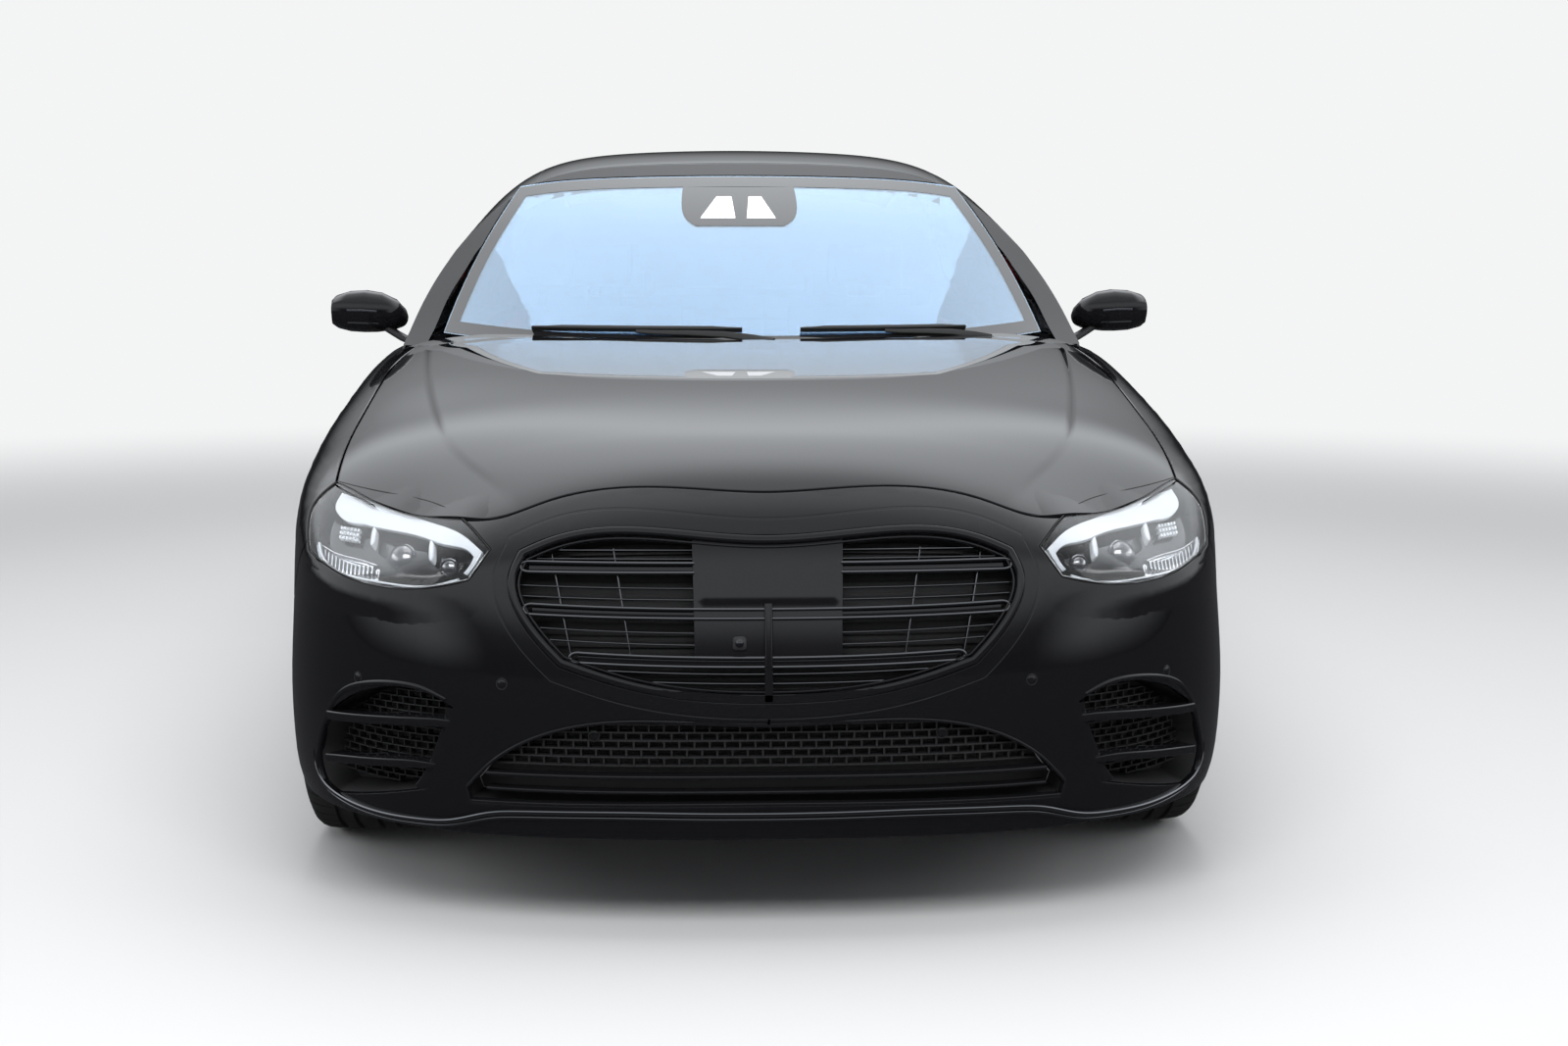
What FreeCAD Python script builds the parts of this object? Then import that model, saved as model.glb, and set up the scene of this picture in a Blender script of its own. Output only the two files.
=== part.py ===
"""A large saloon car in millimetres: body panels, glass, cabin, running gear and its opening doors and lids.

Lengths along the car are stations measured back from the nose. save() shifts everything so that the origin lies
on the ground under the middle of the car, with +Z up, the nose towards -Y and the car's left side at +X.
"""

import FreeCAD
import Part
import math
import os

V = FreeCAD.Vector

LENGTH = 5289.0
HEIGHT = 1503.0
WHEELBASE = 3216.0
FRONT_OVERHANG = 880.0
TRACK = 1604.0
HALF_WIDTH = 960.0

FRONT_AXLE = FRONT_OVERHANG
REAR_AXLE = FRONT_OVERHANG + WHEELBASE

WHEEL_RADIUS = 356.0
TYRE_WIDTH = 245.0
RIM_RADIUS = 254.0
ARCH_RADIUS = 394.0
LINER_RADIUS = 404.0

SHUT_GAP = 6.0
SEAT_GAP = 0.3
SKIN = 6.0
DOOR_DEPTH = 108.0
DOOR_MARGIN = 26.0
SASH_MARGIN = 18.2
FRAME_LIP = 12.0
LIP_DEPTH = 22.0
POCKET_DEPTH = 84.0
PILLAR_DEPTH = DOOR_DEPTH + 24
POST_DEPTH = DOOR_DEPTH + 18
PILLAR_INNER = 742.0
DOOR_INNER = 752.0
SASH_DEPTH = 34.0
SASH_WIDTH = 42.0
RAIL_DEPTH = 58.0
GLASS = 4.5
GLASS_DEPTH = 14.0
GLASS_HOLD = 12.0
GLASS_SUNK = 8.0

HINGE_BACK = 70.0
HINGE_INSET = 20.0
HINGE_PIN = 4.0
HINGE_KNUCKLE = 7.0
HINGE_HEIGHTS = (470.0, 830.0)


class Line:
    """One driving line of the body: a natural cubic spline through (t, value) points, straight beyond its ends."""

    def __init__(self, *points):
        self.t = [p[0] for p in points]
        self.v = [p[1] for p in points]
        n = len(points)
        low, mid, high, rhs = [0.0] * n, [1.0] * n, [0.0] * n, [0.0] * n
        for i in range(1, n - 1):
            before, after = self.t[i] - self.t[i - 1], self.t[i + 1] - self.t[i]
            low[i], mid[i], high[i] = before, 2 * (before + after), after
            rise, run = (self.v[i + 1] - self.v[i]) / after, (self.v[i] - self.v[i - 1]) / before
            rhs[i] = 6 * (rise - run)
        for i in range(1, n):
            share = low[i] / mid[i - 1]
            mid[i] -= share * high[i - 1]
            rhs[i] -= share * rhs[i - 1]
        self.bend = [0.0] * n
        for i in range(n - 2, 0, -1):
            self.bend[i] = (rhs[i] - high[i] * self.bend[i + 1]) / mid[i]

    def __call__(self, t):
        last = len(self.t) - 2
        i = 0
        while i < last and self.t[i + 1] < t:
            i += 1
        step = self.t[i + 1] - self.t[i]
        if t < self.t[0]:
            slope = (self.v[1] - self.v[0]) / step - step * self.bend[1] / 6
            return self.v[0] + slope * (t - self.t[0])
        if t > self.t[-1]:
            slope = (self.v[-1] - self.v[-2]) / step + step * self.bend[-2] / 6
            return self.v[-1] + slope * (t - self.t[-1])
        p, q = (self.t[i + 1] - t) / step, (t - self.t[i]) / step
        curve = (p**3 - p) * self.bend[i] + (q**3 - q) * self.bend[i + 1]
        return p * self.v[i] + q * self.v[i + 1] + curve * step * step / 6


# The driving lines of the lower body: height or station in, station, half-width or height out
NOSE = Line((180, 45), (220, 22), (300, 8), (400, 0), (480, 2), (560, 14), (650, 38), (730, 66), (800, 100),
            (860, 150))
TAIL = Line((180, 5170), (260, 5225), (400, 5278), (520, LENGTH), (640, 5283), (760, 5262), (900, 5238),
            (1000, 5226), (1080, 5218), (1150, 5205))
SIDE = Line((700, 952), (880, HALF_WIDTH), (1300, 948), (1800, 942), (2600, 944), (3400, 948),
            (4096, HALF_WIDTH), (4600, 948), (5000, 925))
TUCK = Line((150, 34), (200, 17), (260, 7), (330, 2), (400, 0), (480, 0), (600, 0), (900, 0))
NARROW = Line((150, 0), (300, 0), (400, 2), (480, 7), (560, 13), (640, 17), (720, 22), (800, 22), (900, 22))
NARROW_FROM, NARROW_LENGTH = 1600.0, 900.0
DECK = Line((0, 755), (92, 800), (250, 846), (500, 893), (800, 936), (1100, 971), (1450, 1004), (1800, 1028),
            (2400, 1030), (3400, 1060), (4200, 1120), (4520, 1148), (4800, 1134), (5080, 1104), (5200, 1085))
CROWN = Line((0, 300), (200, 250), (480, 125), (800, 75), (1100, 50), (1600, 22), (2600, 20), (3600, 28),
             (4520, 34), (5200, 50))
WAIST = 600.0
CROWN_WIDTH, CROWN_POWER = 830.0, 2.6
FRONT_CORNER, REAR_CORNER = 820.0, 4420.0
PLAN_POWER, NOSE_POWER, TAIL_POWER = 2.8, 3.0, 3.0
SIDE_ROUND, TOP_ROUND = 3.0, 7.0

# The driving lines of the cabin above the belt
BELT_HALF = Line((1500, 800), (1750, 850), (2300, 868), (3000, 870), (3600, 862), (4000, 840), (4400, 790),
                 (4700, 730))
ROOF = Line((2000, HEIGHT - 173), (2300, HEIGHT - 85), (2500, HEIGHT - 41), (2700, HEIGHT - 16),
            (2950, HEIGHT - 2), (3150, HEIGHT), (3400, HEIGHT - 6), (3700, HEIGHT - 31), (3900, HEIGHT - 60),
            (4100, HEIGHT - 98), (4500, HEIGHT - 183))
LEAN = 0.42
ROOF_CROWN = 8.3e-5
CABIN_FOOT = 900.0
CABIN_SIDE_ROUND, CABIN_TOP_ROUND = 7.0, 6.0
SCREEN = Line((900, 1300), (1000, 1490), (1100, 1683), (1200, 1885), (1300, 2095), (1412, 2345), (1500, 2550))
SCREEN_SWEEP_FOOT, SCREEN_SWEEP_HEAD, SWEEP_HALF = 230.0, 110.0, 700.0
BACK = Line((1050, 4740), (1150, 4540), (1250, 4330), (1350, 4105), (1440, 3880), (1520, 3660))
BACK_SWEEP = 140.0


def belt(s):
    """Height of the door's top edge at station s."""
    return 962 + 0.02 * (s - 1800)


def deck_height(x, s):
    return DECK(s) - CROWN(s) * (abs(x) / CROWN_WIDTH) ** CROWN_POWER


def body_half(s, z):
    """Half the body's width: it tucks in at the sills, and the front wings lean in above the wheels."""
    share = min(1.0, max(0.0, (NARROW_FROM - s) / NARROW_LENGTH))
    return SIDE(s) - TUCK(z) - NARROW(z) * share * share * (3 - 2 * share)


def lower_body(x, s, z):
    """Under 1 inside the lower body and 1 on its skin: a rounded plan outline under a crowned deck."""
    plan = (abs(x) / body_half(s, z)) ** PLAN_POWER
    if s < FRONT_CORNER:
        plan += ((FRONT_CORNER - s) / (FRONT_CORNER - NOSE(z))) ** NOSE_POWER
    if s > REAR_CORNER:
        plan += ((s - REAR_CORNER) / (TAIL(z) - REAR_CORNER)) ** TAIL_POWER
    top = deck_height(x, s)
    rise = max(0.0, (z - WAIST) / (top - WAIST)) if top > WAIST else 9.0
    return plan**SIDE_ROUND + rise**TOP_ROUND


def cabin(x, s, z):
    """Under 1 inside the roof and side windows, which lean in from the belt, and 1 on their skin."""
    half = BELT_HALF(s) - LEAN * (z - belt(s))
    top = ROOF(s) - ROOF_CROWN * x * x
    rise = max(0.0, (z - CABIN_FOOT) / (top - CABIN_FOOT))
    return (abs(x) / half) ** CABIN_SIDE_ROUND + rise**CABIN_TOP_ROUND


def screen_station(x, z):
    sweep = SCREEN_SWEEP_FOOT + (SCREEN_SWEEP_HEAD - SCREEN_SWEEP_FOOT) * (z - 1000) / 412
    return SCREEN(z) + sweep * (x / SWEEP_HALF) ** 2


def back_station(x, z):
    return BACK(z) - BACK_SWEEP * (x / SWEEP_HALF) ** 2


def cast(skin, start, way, reach=1600.0):
    """The point where a ray from inside the body leaves its skin."""
    near, far = 0.0, reach
    for _ in range(30):
        mid = (near + far) / 2
        if skin(start.x + way.x * mid, start.y + way.y * mid, start.z + way.z * mid) < 1:
            near = mid
        else:
            far = mid
    return start + way * near


def steps(low, high, count):
    return [low + (high - low) * i / (count - 1) for i in range(count)]


# Girth fans take a place along the side, or an angle round a corner, and a height, or an angle over the shoulder
CORNER_TURN = 900.0
SHOULDER_HEIGHT, SHOULDER_TURN, FAN_REACH = 700.0, 400.0, 350.0
CABIN_SHOULDER, CABIN_TURN, CABIN_REACH = 1250.0, 300.0, 300.0


def girth_fan(along, up):
    """Round the lower body's left side: level rays to the shoulder, then rays that turn up over it."""
    station = min(max(along, FRONT_CORNER), REAR_CORNER)
    turn = (along - station) / CORNER_TURN
    level = V(math.cos(turn), math.sin(turn), 0)
    rise = max(0.0, up - SHOULDER_HEIGHT) / SHOULDER_TURN
    way = level * math.cos(rise) + V(0, 0, math.sin(rise))
    start = V(0, station, min(up, SHOULDER_HEIGHT)) + level * FAN_REACH
    return cast(lower_body, start, way), way * -1


def nose_fan(across, up):
    """Over the front of the car: level rays ahead that turn up over the bonnet's edge. across is a width."""
    rise = max(0.0, up - 640.0) / 300.0
    way = V(0, -math.cos(rise), math.sin(rise))
    return cast(lower_body, V(across, 700, min(up, 640.0)), way), way * -1


def tail_fan(across, up):
    """Up the tail and forward over the boot: level rays, then rays that turn up, then upright rays."""
    turned = min(max(0.0, up - 950.0) / 200.0, math.pi / 2)
    ahead = max(0.0, up - 950.0 - 100 * math.pi)
    way = V(0, math.cos(turned), math.sin(turned))
    return cast(lower_body, V(across, 4980 - ahead, min(up, 950.0)), way), way * -1


def deck_fan(across, station):
    return cast(lower_body, V(across, station, WAIST), V(0, 0, 1)), V(0, 0, -1)


def cabin_fan(station, up):
    """Round the cabin's left side: level rays up the windows, then rays that turn up over the roof rail."""
    rise = max(0.0, up - CABIN_SHOULDER) / CABIN_TURN
    way = V(math.cos(rise), 0, math.sin(rise))
    return cast(cabin, V(CABIN_REACH, station, min(up, CABIN_SHOULDER)), way), way * -1


def roof_fan(across, station):
    return cast(cabin, V(across, station, 1000), V(0, 0, 1)), V(0, 0, -1)


def screen_fan(across, height):
    return V(across, screen_station(across, height), height), V(0, 1, 0)


def back_fan(across, height):
    return V(across, back_station(across, height), height), V(0, -1, 0)


def surface(rows):
    made = Part.BSplineSurface()
    made.interpolate(rows)
    return made


def slab(outer, inner):
    """A closed solid between two surfaces, given as rows of points, with ruled edges."""
    top, bottom = surface(outer), surface(inner)
    u0, u1, v0, v1 = top.bounds()
    p0, p1, q0, q1 = bottom.bounds()
    pairs = [(top.uIso(u0), bottom.uIso(p0)), (top.uIso(u1), bottom.uIso(p1))]
    pairs += [(top.vIso(v0), bottom.vIso(q0)), (top.vIso(v1), bottom.vIso(q1))]
    faces = [top.toShape(), bottom.toShape()]
    faces += [Part.makeRuledSurface(a.toShape(), b.toShape()) for a, b in pairs]
    shell = Part.makeShell(faces)
    shell.sewShape()
    solid = Part.makeSolid(shell)
    if solid.Volume < 0:
        solid.reverse()
    return solid


CELLS = {}
LAYERS = {}


def layer(fan, rows, columns, low, high):
    """A slab of a skin between two depths below it. fan(u, v) gives a point on the skin and the way inwards."""
    key = (fan.__name__, tuple(rows), tuple(columns))
    if key not in CELLS:
        CELLS[key] = [[fan(u, v) for v in columns] for u in rows]
    if key + (low, high) not in LAYERS:
        outer = [[point + inward * low for point, inward in row] for row in CELLS[key]]
        inner = [[point + inward * high for point, inward in row] for row in CELLS[key]]
        LAYERS[key + (low, high)] = slab(outer, inner)
    return LAYERS[key + (low, high)]


def turned_normal(a, b):
    run = math.hypot(b[0] - a[0], b[1] - a[1])
    return ((b[1] - a[1]) / run, -(b[0] - a[0]) / run)


def grown(runs, by):
    """An outline moved outwards by a distance: every point along its normal, corners along their mitre."""
    area = sum(p[0] * q[1] - q[0] * p[1] for run in runs for p, q in zip(run, run[1:]))
    out = by if area > 0 else -by
    made = []
    for i, run in enumerate(runs):
        before, after = runs[i - 1], runs[(i + 1) % len(runs)]
        moved = []
        for j, point in enumerate(run):
            a = turned_normal(run[j - 1], point) if j else turned_normal(before[-2], before[-1])
            b = turned_normal(point, run[j + 1]) if j < len(run) - 1 else turned_normal(after[0], after[1])
            share = out / (1 + a[0] * b[0] + a[1] * b[1])
            moved.append((point[0] + (a[0] + b[0]) * share, point[1] + (a[1] + b[1]) * share))
        made.append(moved)
    return made


PLACE = {
    "side": lambda a, b, depth: V(depth, a, b),
    "top": lambda a, b, depth: V(a, b, depth),
    "front": lambda a, b, depth: V(a, depth, b),
}
THROUGH = {"side": V(1, 0, 0), "top": V(0, 0, 1), "front": V(0, 1, 0)}


def prism(plane, low, high, runs, grow=0.0, corner=0.0):
    """An outline, moved out or in, as a solid along the plane's normal: two points are an edge, more a curve."""
    edges = []
    for run in grown(runs, grow) if grow else runs:
        points = [PLACE[plane](a, b, low) for a, b in run]
        if len(points) == 2:
            edges.append(Part.LineSegment(*points).toShape())
        else:
            curve = Part.BSplineCurve()
            curve.interpolate(points)
            edges.append(curve.toShape())
    solid = Part.Face(Part.Wire(Part.sortEdges(edges)[0])).extrude(THROUGH[plane] * (high - low))
    if corner:
        upright = [e for e in solid.Edges if abs(e.BoundBox.DiagonalLength - (high - low)) < 0.01]
        solid = solid.makeFillet(corner, upright)
    return solid


def loop(*points):
    """A closed outline of straight edges through its corners."""
    return [[points[i], points[(i + 1) % len(points)]] for i in range(len(points))]


def box(x0, x1, s0, s1, z0, z1):
    return Part.makeBox(x1 - x0, s1 - s0, z1 - z0, V(x0, s0, z0))


def sided(side, near, far, *rest):
    """A box between two distances from the centreline, on one side of the car."""
    return box(min(side * near, side * far), max(side * near, side * far), *rest)


def rod(start, end, radius):
    start, end = V(*start), V(*end)
    return Part.makeCylinder(radius, start.distanceToPoint(end), start, end - start)


def tube(start, end, outer, inner):
    return rod(start, end, outer).cut(rod(start, end, inner))


def ring_of(profile, start, axis):
    """A closed profile of (along the axis, radius) corners turned about the axis."""
    start, axis = V(*start), V(*axis)
    side = V(0, 0, 1) if abs(axis.z) < 0.5 else V(1, 0, 0)
    points = [start + axis * a + side * r for a, r in profile]
    return Part.Face(Part.makePolygon(points + points[:1])).revolve(start, axis, 360)


def mirrored(shape):
    return shape.mirror(V(0, 0, 0), V(1, 0, 0))


def both(shape):
    return [shape, mirrored(shape)]


def joined(first, *others):
    return first.fuse(list(others)).removeSplitter() if others else first


def save(name, *solids):
    whole = [s for solid in solids for s in solid.Solids if s.Volume > 1]
    made = Part.makeCompound(whole) if len(whole) > 1 else whole[0]
    made = made.copy()
    made.translate(V(0, -LENGTH / 2, 0))
    made.exportStep("parts/%s.step" % name)
    state = "ok" if all(s.isValid() for s in made.Solids) else "BAD"
    print("%-24s %2d solids %9.1f cm3 %s" % (name, len(made.Solids), made.Volume / 1000, state))


LEFT = (500.0, 1100.0)
ALONG_SIDE = steps(1660, 4420, 20) + steps(4560, 5300, 6)
GIRTH = [150, 190, 240, 300, 380, 480, 600, 700, 780, 840, 890, 930, 980, 1030]
CABIN_UP = [900, 960, 1020, 1100, 1180, 1250, 1310, 1370, 1430, 1490, 1550, 1620]
ALONG_CABIN = steps(1560, 4720, 26)

DOOR_FOOT = 232.0
SILL_FOOT = 165.0
FRONT_EDGE = 1750.0
SPLIT = 2951.0
SASH_SLANT = 7.0

FRONT_SASH = [(1800, 962), (2010, 1078), (2240, 1200), (2450, 1298), (2640, 1358), (2790, 1385),
              (SPLIT - SHUT_GAP - SASH_SLANT, 1396)]
FRONT_DOOR = [
    [(1765, DOOR_FOOT), (FRONT_EDGE, 450), (FRONT_EDGE, 640), (1768, 820), (1800, 962)],
    FRONT_SASH,
    [(SPLIT - SHUT_GAP - SASH_SLANT, 1396), (SPLIT - SHUT_GAP, 980)],
    [(SPLIT - SHUT_GAP, 980), (SPLIT - SHUT_GAP, DOOR_FOOT)],
    [(SPLIT - SHUT_GAP, DOOR_FOOT), (1765, DOOR_FOOT)],
]
REAR_DOOR = [
    [(SPLIT, DOOR_FOOT), (SPLIT, 1397)],
    [(SPLIT, 1397), (3120, 1404), (3300, 1402), (3600, 1372), (3850, 1292), (3990, 1190), (4040, 1100)],
    [(4040, 1100), (4008, 1010), (3950, 900), (3880, 790), (3790, 680), (3703, 560), (3658, 420),
     (3650, DOOR_FOOT)],
    [(3650, DOOR_FOOT), (SPLIT, DOOR_FOOT)],
]


def above_belt(offset):
    """Everything higher than the door's belt line, moved up by an offset."""
    a, b = 1000.0, 4800.0
    return prism("side", *LEFT, loop((a, belt(a) + offset), (b, belt(b) + offset), (b, 2000), (a, 2000)))


def below_belt(offset):
    a, b = 1000.0, 4800.0
    return prism("side", *LEFT, loop((a, belt(a) + offset), (b, belt(b) + offset), (b, 0), (a, 0)))


def side_layer(low, high):
    return layer(girth_fan, ALONG_SIDE, GIRTH, low, high)


def cabin_layer(low, high):
    return layer(cabin_fan, ALONG_CABIN, CABIN_UP, low, high)


def hinge_axis(edge):
    """Where a door's upright hinge axis stands: (x, station)."""
    station = edge + HINGE_BACK
    return SIDE(station) - HINGE_INSET, station


def hinge_on_door(edge, height):
    """The door's knuckle, bored for the pin, and its plate back to the door's frame."""
    x, s = hinge_axis(edge)
    half = 11.5
    plate = box(x - 4, x + 4, s, s + 34, height - half, height + half)
    knuckle = rod((x, s, height - half), (x, s, height + half), HINGE_KNUCKLE)
    bore = rod((x, s, height - half), (x, s, height + half), HINGE_PIN + SEAT_GAP)
    return knuckle.fuse(plate).cut(bore)


def hinge_on_pillar(edge, height):
    """Two ears and the pin between them, on an arm that runs in to the pillar."""
    x, s = hinge_axis(edge)
    made = [rod((x, s, height - 22), (x, s, height + 22), HINGE_PIN)]
    for low in (height - 22, height + 12):
        made.append(rod((x, s, low), (x, s, low + 10), HINGE_KNUCKLE))
        made.append(box(x - POCKET_DEPTH + 8, x, s - 6, s + 6, low, low + 10))
    foot = x + HINGE_INSET - POCKET_DEPTH
    made.append(box(foot - 30, foot + 3, edge - 6, s + 6, height - 22, height + 22))
    return made


def hinge_notch(edge, height):
    x, s = hinge_axis(edge)
    return box(x - DOOR_DEPTH, x + HINGE_INSET - SKIN, edge, s + 16, height - 30, height + 30)


def door(outline, edge):
    """One door: outer skin to its shut lines, a thick frame set in from them, and a sash round its window."""
    whole = prism("side", *LEFT, outline)
    low = below_belt(0)
    skin = side_layer(0, SKIN).common(whole).common(low)
    frame = side_layer(SKIN, DOOR_DEPTH).common(prism("side", *LEFT, outline, grow=-DOOR_MARGIN)).common(low)
    frame = frame.common(box(DOOR_INNER, 1100, 1600, 4200, 0, 1200))
    for height in HINGE_HEIGHTS:
        frame = frame.cut(hinge_notch(edge, height))
    high = above_belt(-14)
    sash = cabin_layer(0, SKIN).common(whole).common(high)
    sash_inner = cabin_layer(SKIN, SASH_DEPTH).common(prism("side", *LEFT, outline, grow=-SASH_MARGIN))
    sash_inner = sash_inner.common(high)
    opening = prism("side", *LEFT, outline, grow=-SASH_WIDTH).common(above_belt(6))
    groove = prism("side", *LEFT, outline, grow=-(SASH_WIDTH - GLASS_HOLD - SEAT_GAP))
    groove = groove.common(above_belt(-GLASS_SUNK - SEAT_GAP))
    groove = groove.common(cabin_layer(GLASS_DEPTH - SEAT_GAP, GLASS_DEPTH + GLASS + SEAT_GAP))
    corner = box(780, 856, 3984, 4012, 980, 1008)
    made = skin.fuse([frame, sash, sash_inner]).cut([opening, groove, corner])
    made = made.fuse([hinge_on_door(edge, height) for height in HINGE_HEIGHTS])
    return max(made.Solids, key=lambda s: s.Volume)


def door_glass(outline):
    pane = cabin_layer(GLASS_DEPTH, GLASS_DEPTH + GLASS)
    return pane.common(prism("side", *LEFT, outline, grow=-(SASH_WIDTH - GLASS_HOLD))).common(above_belt(-GLASS_SUNK))


# Panels seen from above: bonnet and boot
BONNET = [
    [(0, 149), (392, 185), (470, 178), (560, 225), (700, 360), (825, 537)],
    [(825, 537), (831, 800), (827, 1100), (800, 1600), (780, 1690)],
    [(780, 1690), (600, 1600), (300, 1480), (0, 1440)],
]
BOOT_HALF = 700.0
BOOT_FRAME_HALF = 676.0
BOOT_FRONT = 4566.0
BOOT_FOOT = 770.0


def mirror_runs(runs):
    """A full outline from its right half, which starts and ends on the centreline."""
    other = [[(-a, b) for a, b in reversed(run)] for run in reversed(runs)]
    first, last = runs[0], runs[-1]
    middle = runs[1:-1]
    rear = last + [(-a, b) for a, b in reversed(last)][1:]
    front = [(-a, b) for a, b in reversed(first)][:-1] + first
    return [front] + middle + [rear] + other[1:-1]


HINGE_SET = 14.0
BONNET_DEPTH = 34.0
BONNET_ROWS = [-860, -800, -720, -620, -500, -350, -180, 0, 180, 350, 500, 620, 720, 800, 860]
BONNET_COLUMNS = [120, 200, 300, 420, 560, 720, 900, 1100, 1300, 1500, 1720]
BONNET_HINGE = (715.0, 1655.0)
BOOT_HINGE = (640.0, 4666.0)
BOOT_GAP = 10.0
HOUSING_GAP = 11.5
BOOT_WALL = TRACK / 2 - TYRE_WIDTH / 2 - HOUSING_GAP
DECK_HALF = 705.0


def bonnet_hinge():
    """Where the bonnet's level hinge axis crosses its left bracket."""
    x, s = BONNET_HINGE
    return x, s, deck_fan(x, s)[0].z - HINGE_SET


def boot_hinge():
    x, s = BOOT_HINGE
    return x, s, deck_fan(x, s)[0].z - HINGE_SET


def bonnet_bracket():
    """A plate from the bulkhead back to the bonnet's hinge pin."""
    x, s, z = bonnet_hinge()
    runs = loop((1500, 820), (1560, 820), (s + 5, z - 4), (s + 5, z + 5), (s - 12, z + 5), (1500, 890))
    plate = prism("side", x - 4, x + 4, runs)
    return plate.fuse(rod((x - 14, s, z), (x + 4, s, z), HINGE_PIN))


def boot_bracket():
    """A plate on top of the boot's side wall that holds the boot lid's hinge pin."""
    x, s, z = boot_hinge()
    runs = loop((s + 6, 900), (s + 60, 900), (s + 60, z - 50), (s + 7, z + 4.5), (s - 4.5, z + 4.5), (s - 4.5, z - 8),
                (s + 6, z - 30))
    plate = prism("side", BOOT_WALL - 8, BOOT_WALL, runs)
    return plate.fuse(rod((x - 4, s, z), (BOOT_WALL - 4, s, z), HINGE_PIN))


def bonnet():
    outline = mirror_runs(BONNET)
    rows, columns = BONNET_ROWS, BONNET_COLUMNS
    skin = layer(deck_fan, rows, columns, 0, 5).common(prism("top", 300, 1300, outline))
    frame = layer(deck_fan, rows, columns, 5, BONNET_DEPTH).common(prism("top", 300, 1300, outline, grow=-34))
    ribs = prism("top", 300, 1300, loop((-560, 520), (560, 520), (640, 1380), (-640, 1380)))
    spine = box(-45, 45, 0, 2000, 300, 1300)
    cross = box(-900, 900, 930, 1010, 300, 1300)
    pocket = layer(deck_fan, rows, columns, 9, 60).common(ribs.cut([spine, cross]))
    x, s, z = bonnet_hinge()
    ears, notches = [], []
    for side in (-1, 1):
        notches.append(sided(side, x - 16, x + 16, s - 60, s + 60, z - 60, z + HINGE_SET - 5))
        near, far = side * (x - 12), side * (x - 6)
        ear = sided(side, x - 12, x - 6, s - 90, s + 6, z - 6, z + HINGE_SET - 3)
        ear = ear.fuse(rod((near, s, z), (far, s, z), HINGE_KNUCKLE))
        ears.append(ear.cut(rod((near, s, z), (far, s, z), HINGE_PIN + SEAT_GAP)))
    made = skin.fuse(frame).cut([pocket] + notches).fuse(ears)
    return max(made.Solids, key=lambda s: s.Volume)


def boot_lid():
    rows = steps(-BOOT_HALF, BOOT_HALF, 13)
    columns = [740, 800, 860, 920, 980, 1040, 1100, 1150, 1200, 1264, 1330, 1420, 1520, 1620, 1700]
    skin = layer(tail_fan, rows, columns, 0, 5)
    room = box(-BOOT_FRAME_HALF, BOOT_FRAME_HALF, BOOT_FRONT + 24, 5400, 800, 1300)
    frame = layer(tail_fan, rows, columns, 5, 36).common(room)
    made = skin.fuse(frame).common(box(-900, 900, BOOT_FRONT, 5400, BOOT_FOOT, 1300))
    x, s, z = boot_hinge()
    ears, notches = [], []
    for side in (-1, 1):
        notches.append(sided(side, x - 8, BOOT_FRAME_HALF, s - 110, s + 70, z - 60, z + HINGE_SET - 7))
        near, far = side * x, side * (x + 8)
        ear = sided(side, x, x + 8, s - 6, s + 90, z - 6, z + HINGE_SET - 7)
        ear = ear.fuse(rod((near, s, z), (far, s, z), HINGE_KNUCKLE))
        ears.append(ear.cut(rod((near, s, z), (far, s, z), HINGE_PIN + SEAT_GAP)))
    lamp = layer(tail_fan, steps(100, BOOT_HALF + 6, 9), [800, 860, 920, 980, 1040], -5, 20 + SEAT_GAP)
    lamp = lamp.common(prism("front", 4600, 5400, BOOT_LAMP, grow=SEAT_GAP))
    made = made.cut(notches + both(lamp)).fuse(ears)
    return max(made.Solids, key=lambda s: s.Volume)


def rear_deck():
    """The strip between the rear window's foot and the boot lid."""
    rows, columns = steps(-760, 760, 11), steps(4180, 4600, 6)
    strip = box(-DECK_HALF, DECK_HALF, 4200, BOOT_FRONT - BOOT_GAP, 1000, 1300)
    made = layer(deck_fan, rows, columns, 0, SKIN).common(strip)
    behind = back_layer(-1600, 30)
    wall = box(-660, 660, 4538, 4544, 1060 + SEAT_GAP, 1300).common(layer(deck_fan, rows, columns, 2, 160))
    pillars = cabin_layer(-SEAT_GAP, RAIL_DEPTH + SEAT_GAP)
    return max(made.common(behind).fuse(wall).cut(both(pillars)).Solids, key=lambda s: s.Volume)


APRON_TOP = 830.0
WING_FOOT = 228.0
BUMPER_FOOT = 185.0

HEADLIGHT = [[(494, 700), (540, 735), (699, 766), (825, 775)], [(825, 775), (871, 726), (862, 661)],
             [(862, 661), (759, 631), (620, 629), (532, 648)], [(532, 648), (494, 700)]]


def front_wheel_void(grow=0.0):
    return rod((300, FRONT_AXLE, WHEEL_RADIUS), (1200, FRONT_AXLE, WHEEL_RADIUS), ARCH_RADIUS + grow)


def rear_wheel_void(grow=0.0):
    return rod((300, REAR_AXLE, WHEEL_RADIUS), (1200, REAR_AXLE, WHEEL_RADIUS), ARCH_RADIUS + grow)


def front_side_layer(low, high):
    rows = [-700, -590, -420, -250, -80, 90, 260, 420, 570, 700, 820, 960, 1100, 1300, 1500, 1700, 1840]
    columns = [150, 190, 240, 300, 380, 480, 560, 640, 700, 745, 790, 840, 890, 940]
    return layer(girth_fan, rows, columns, low, high)


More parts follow.
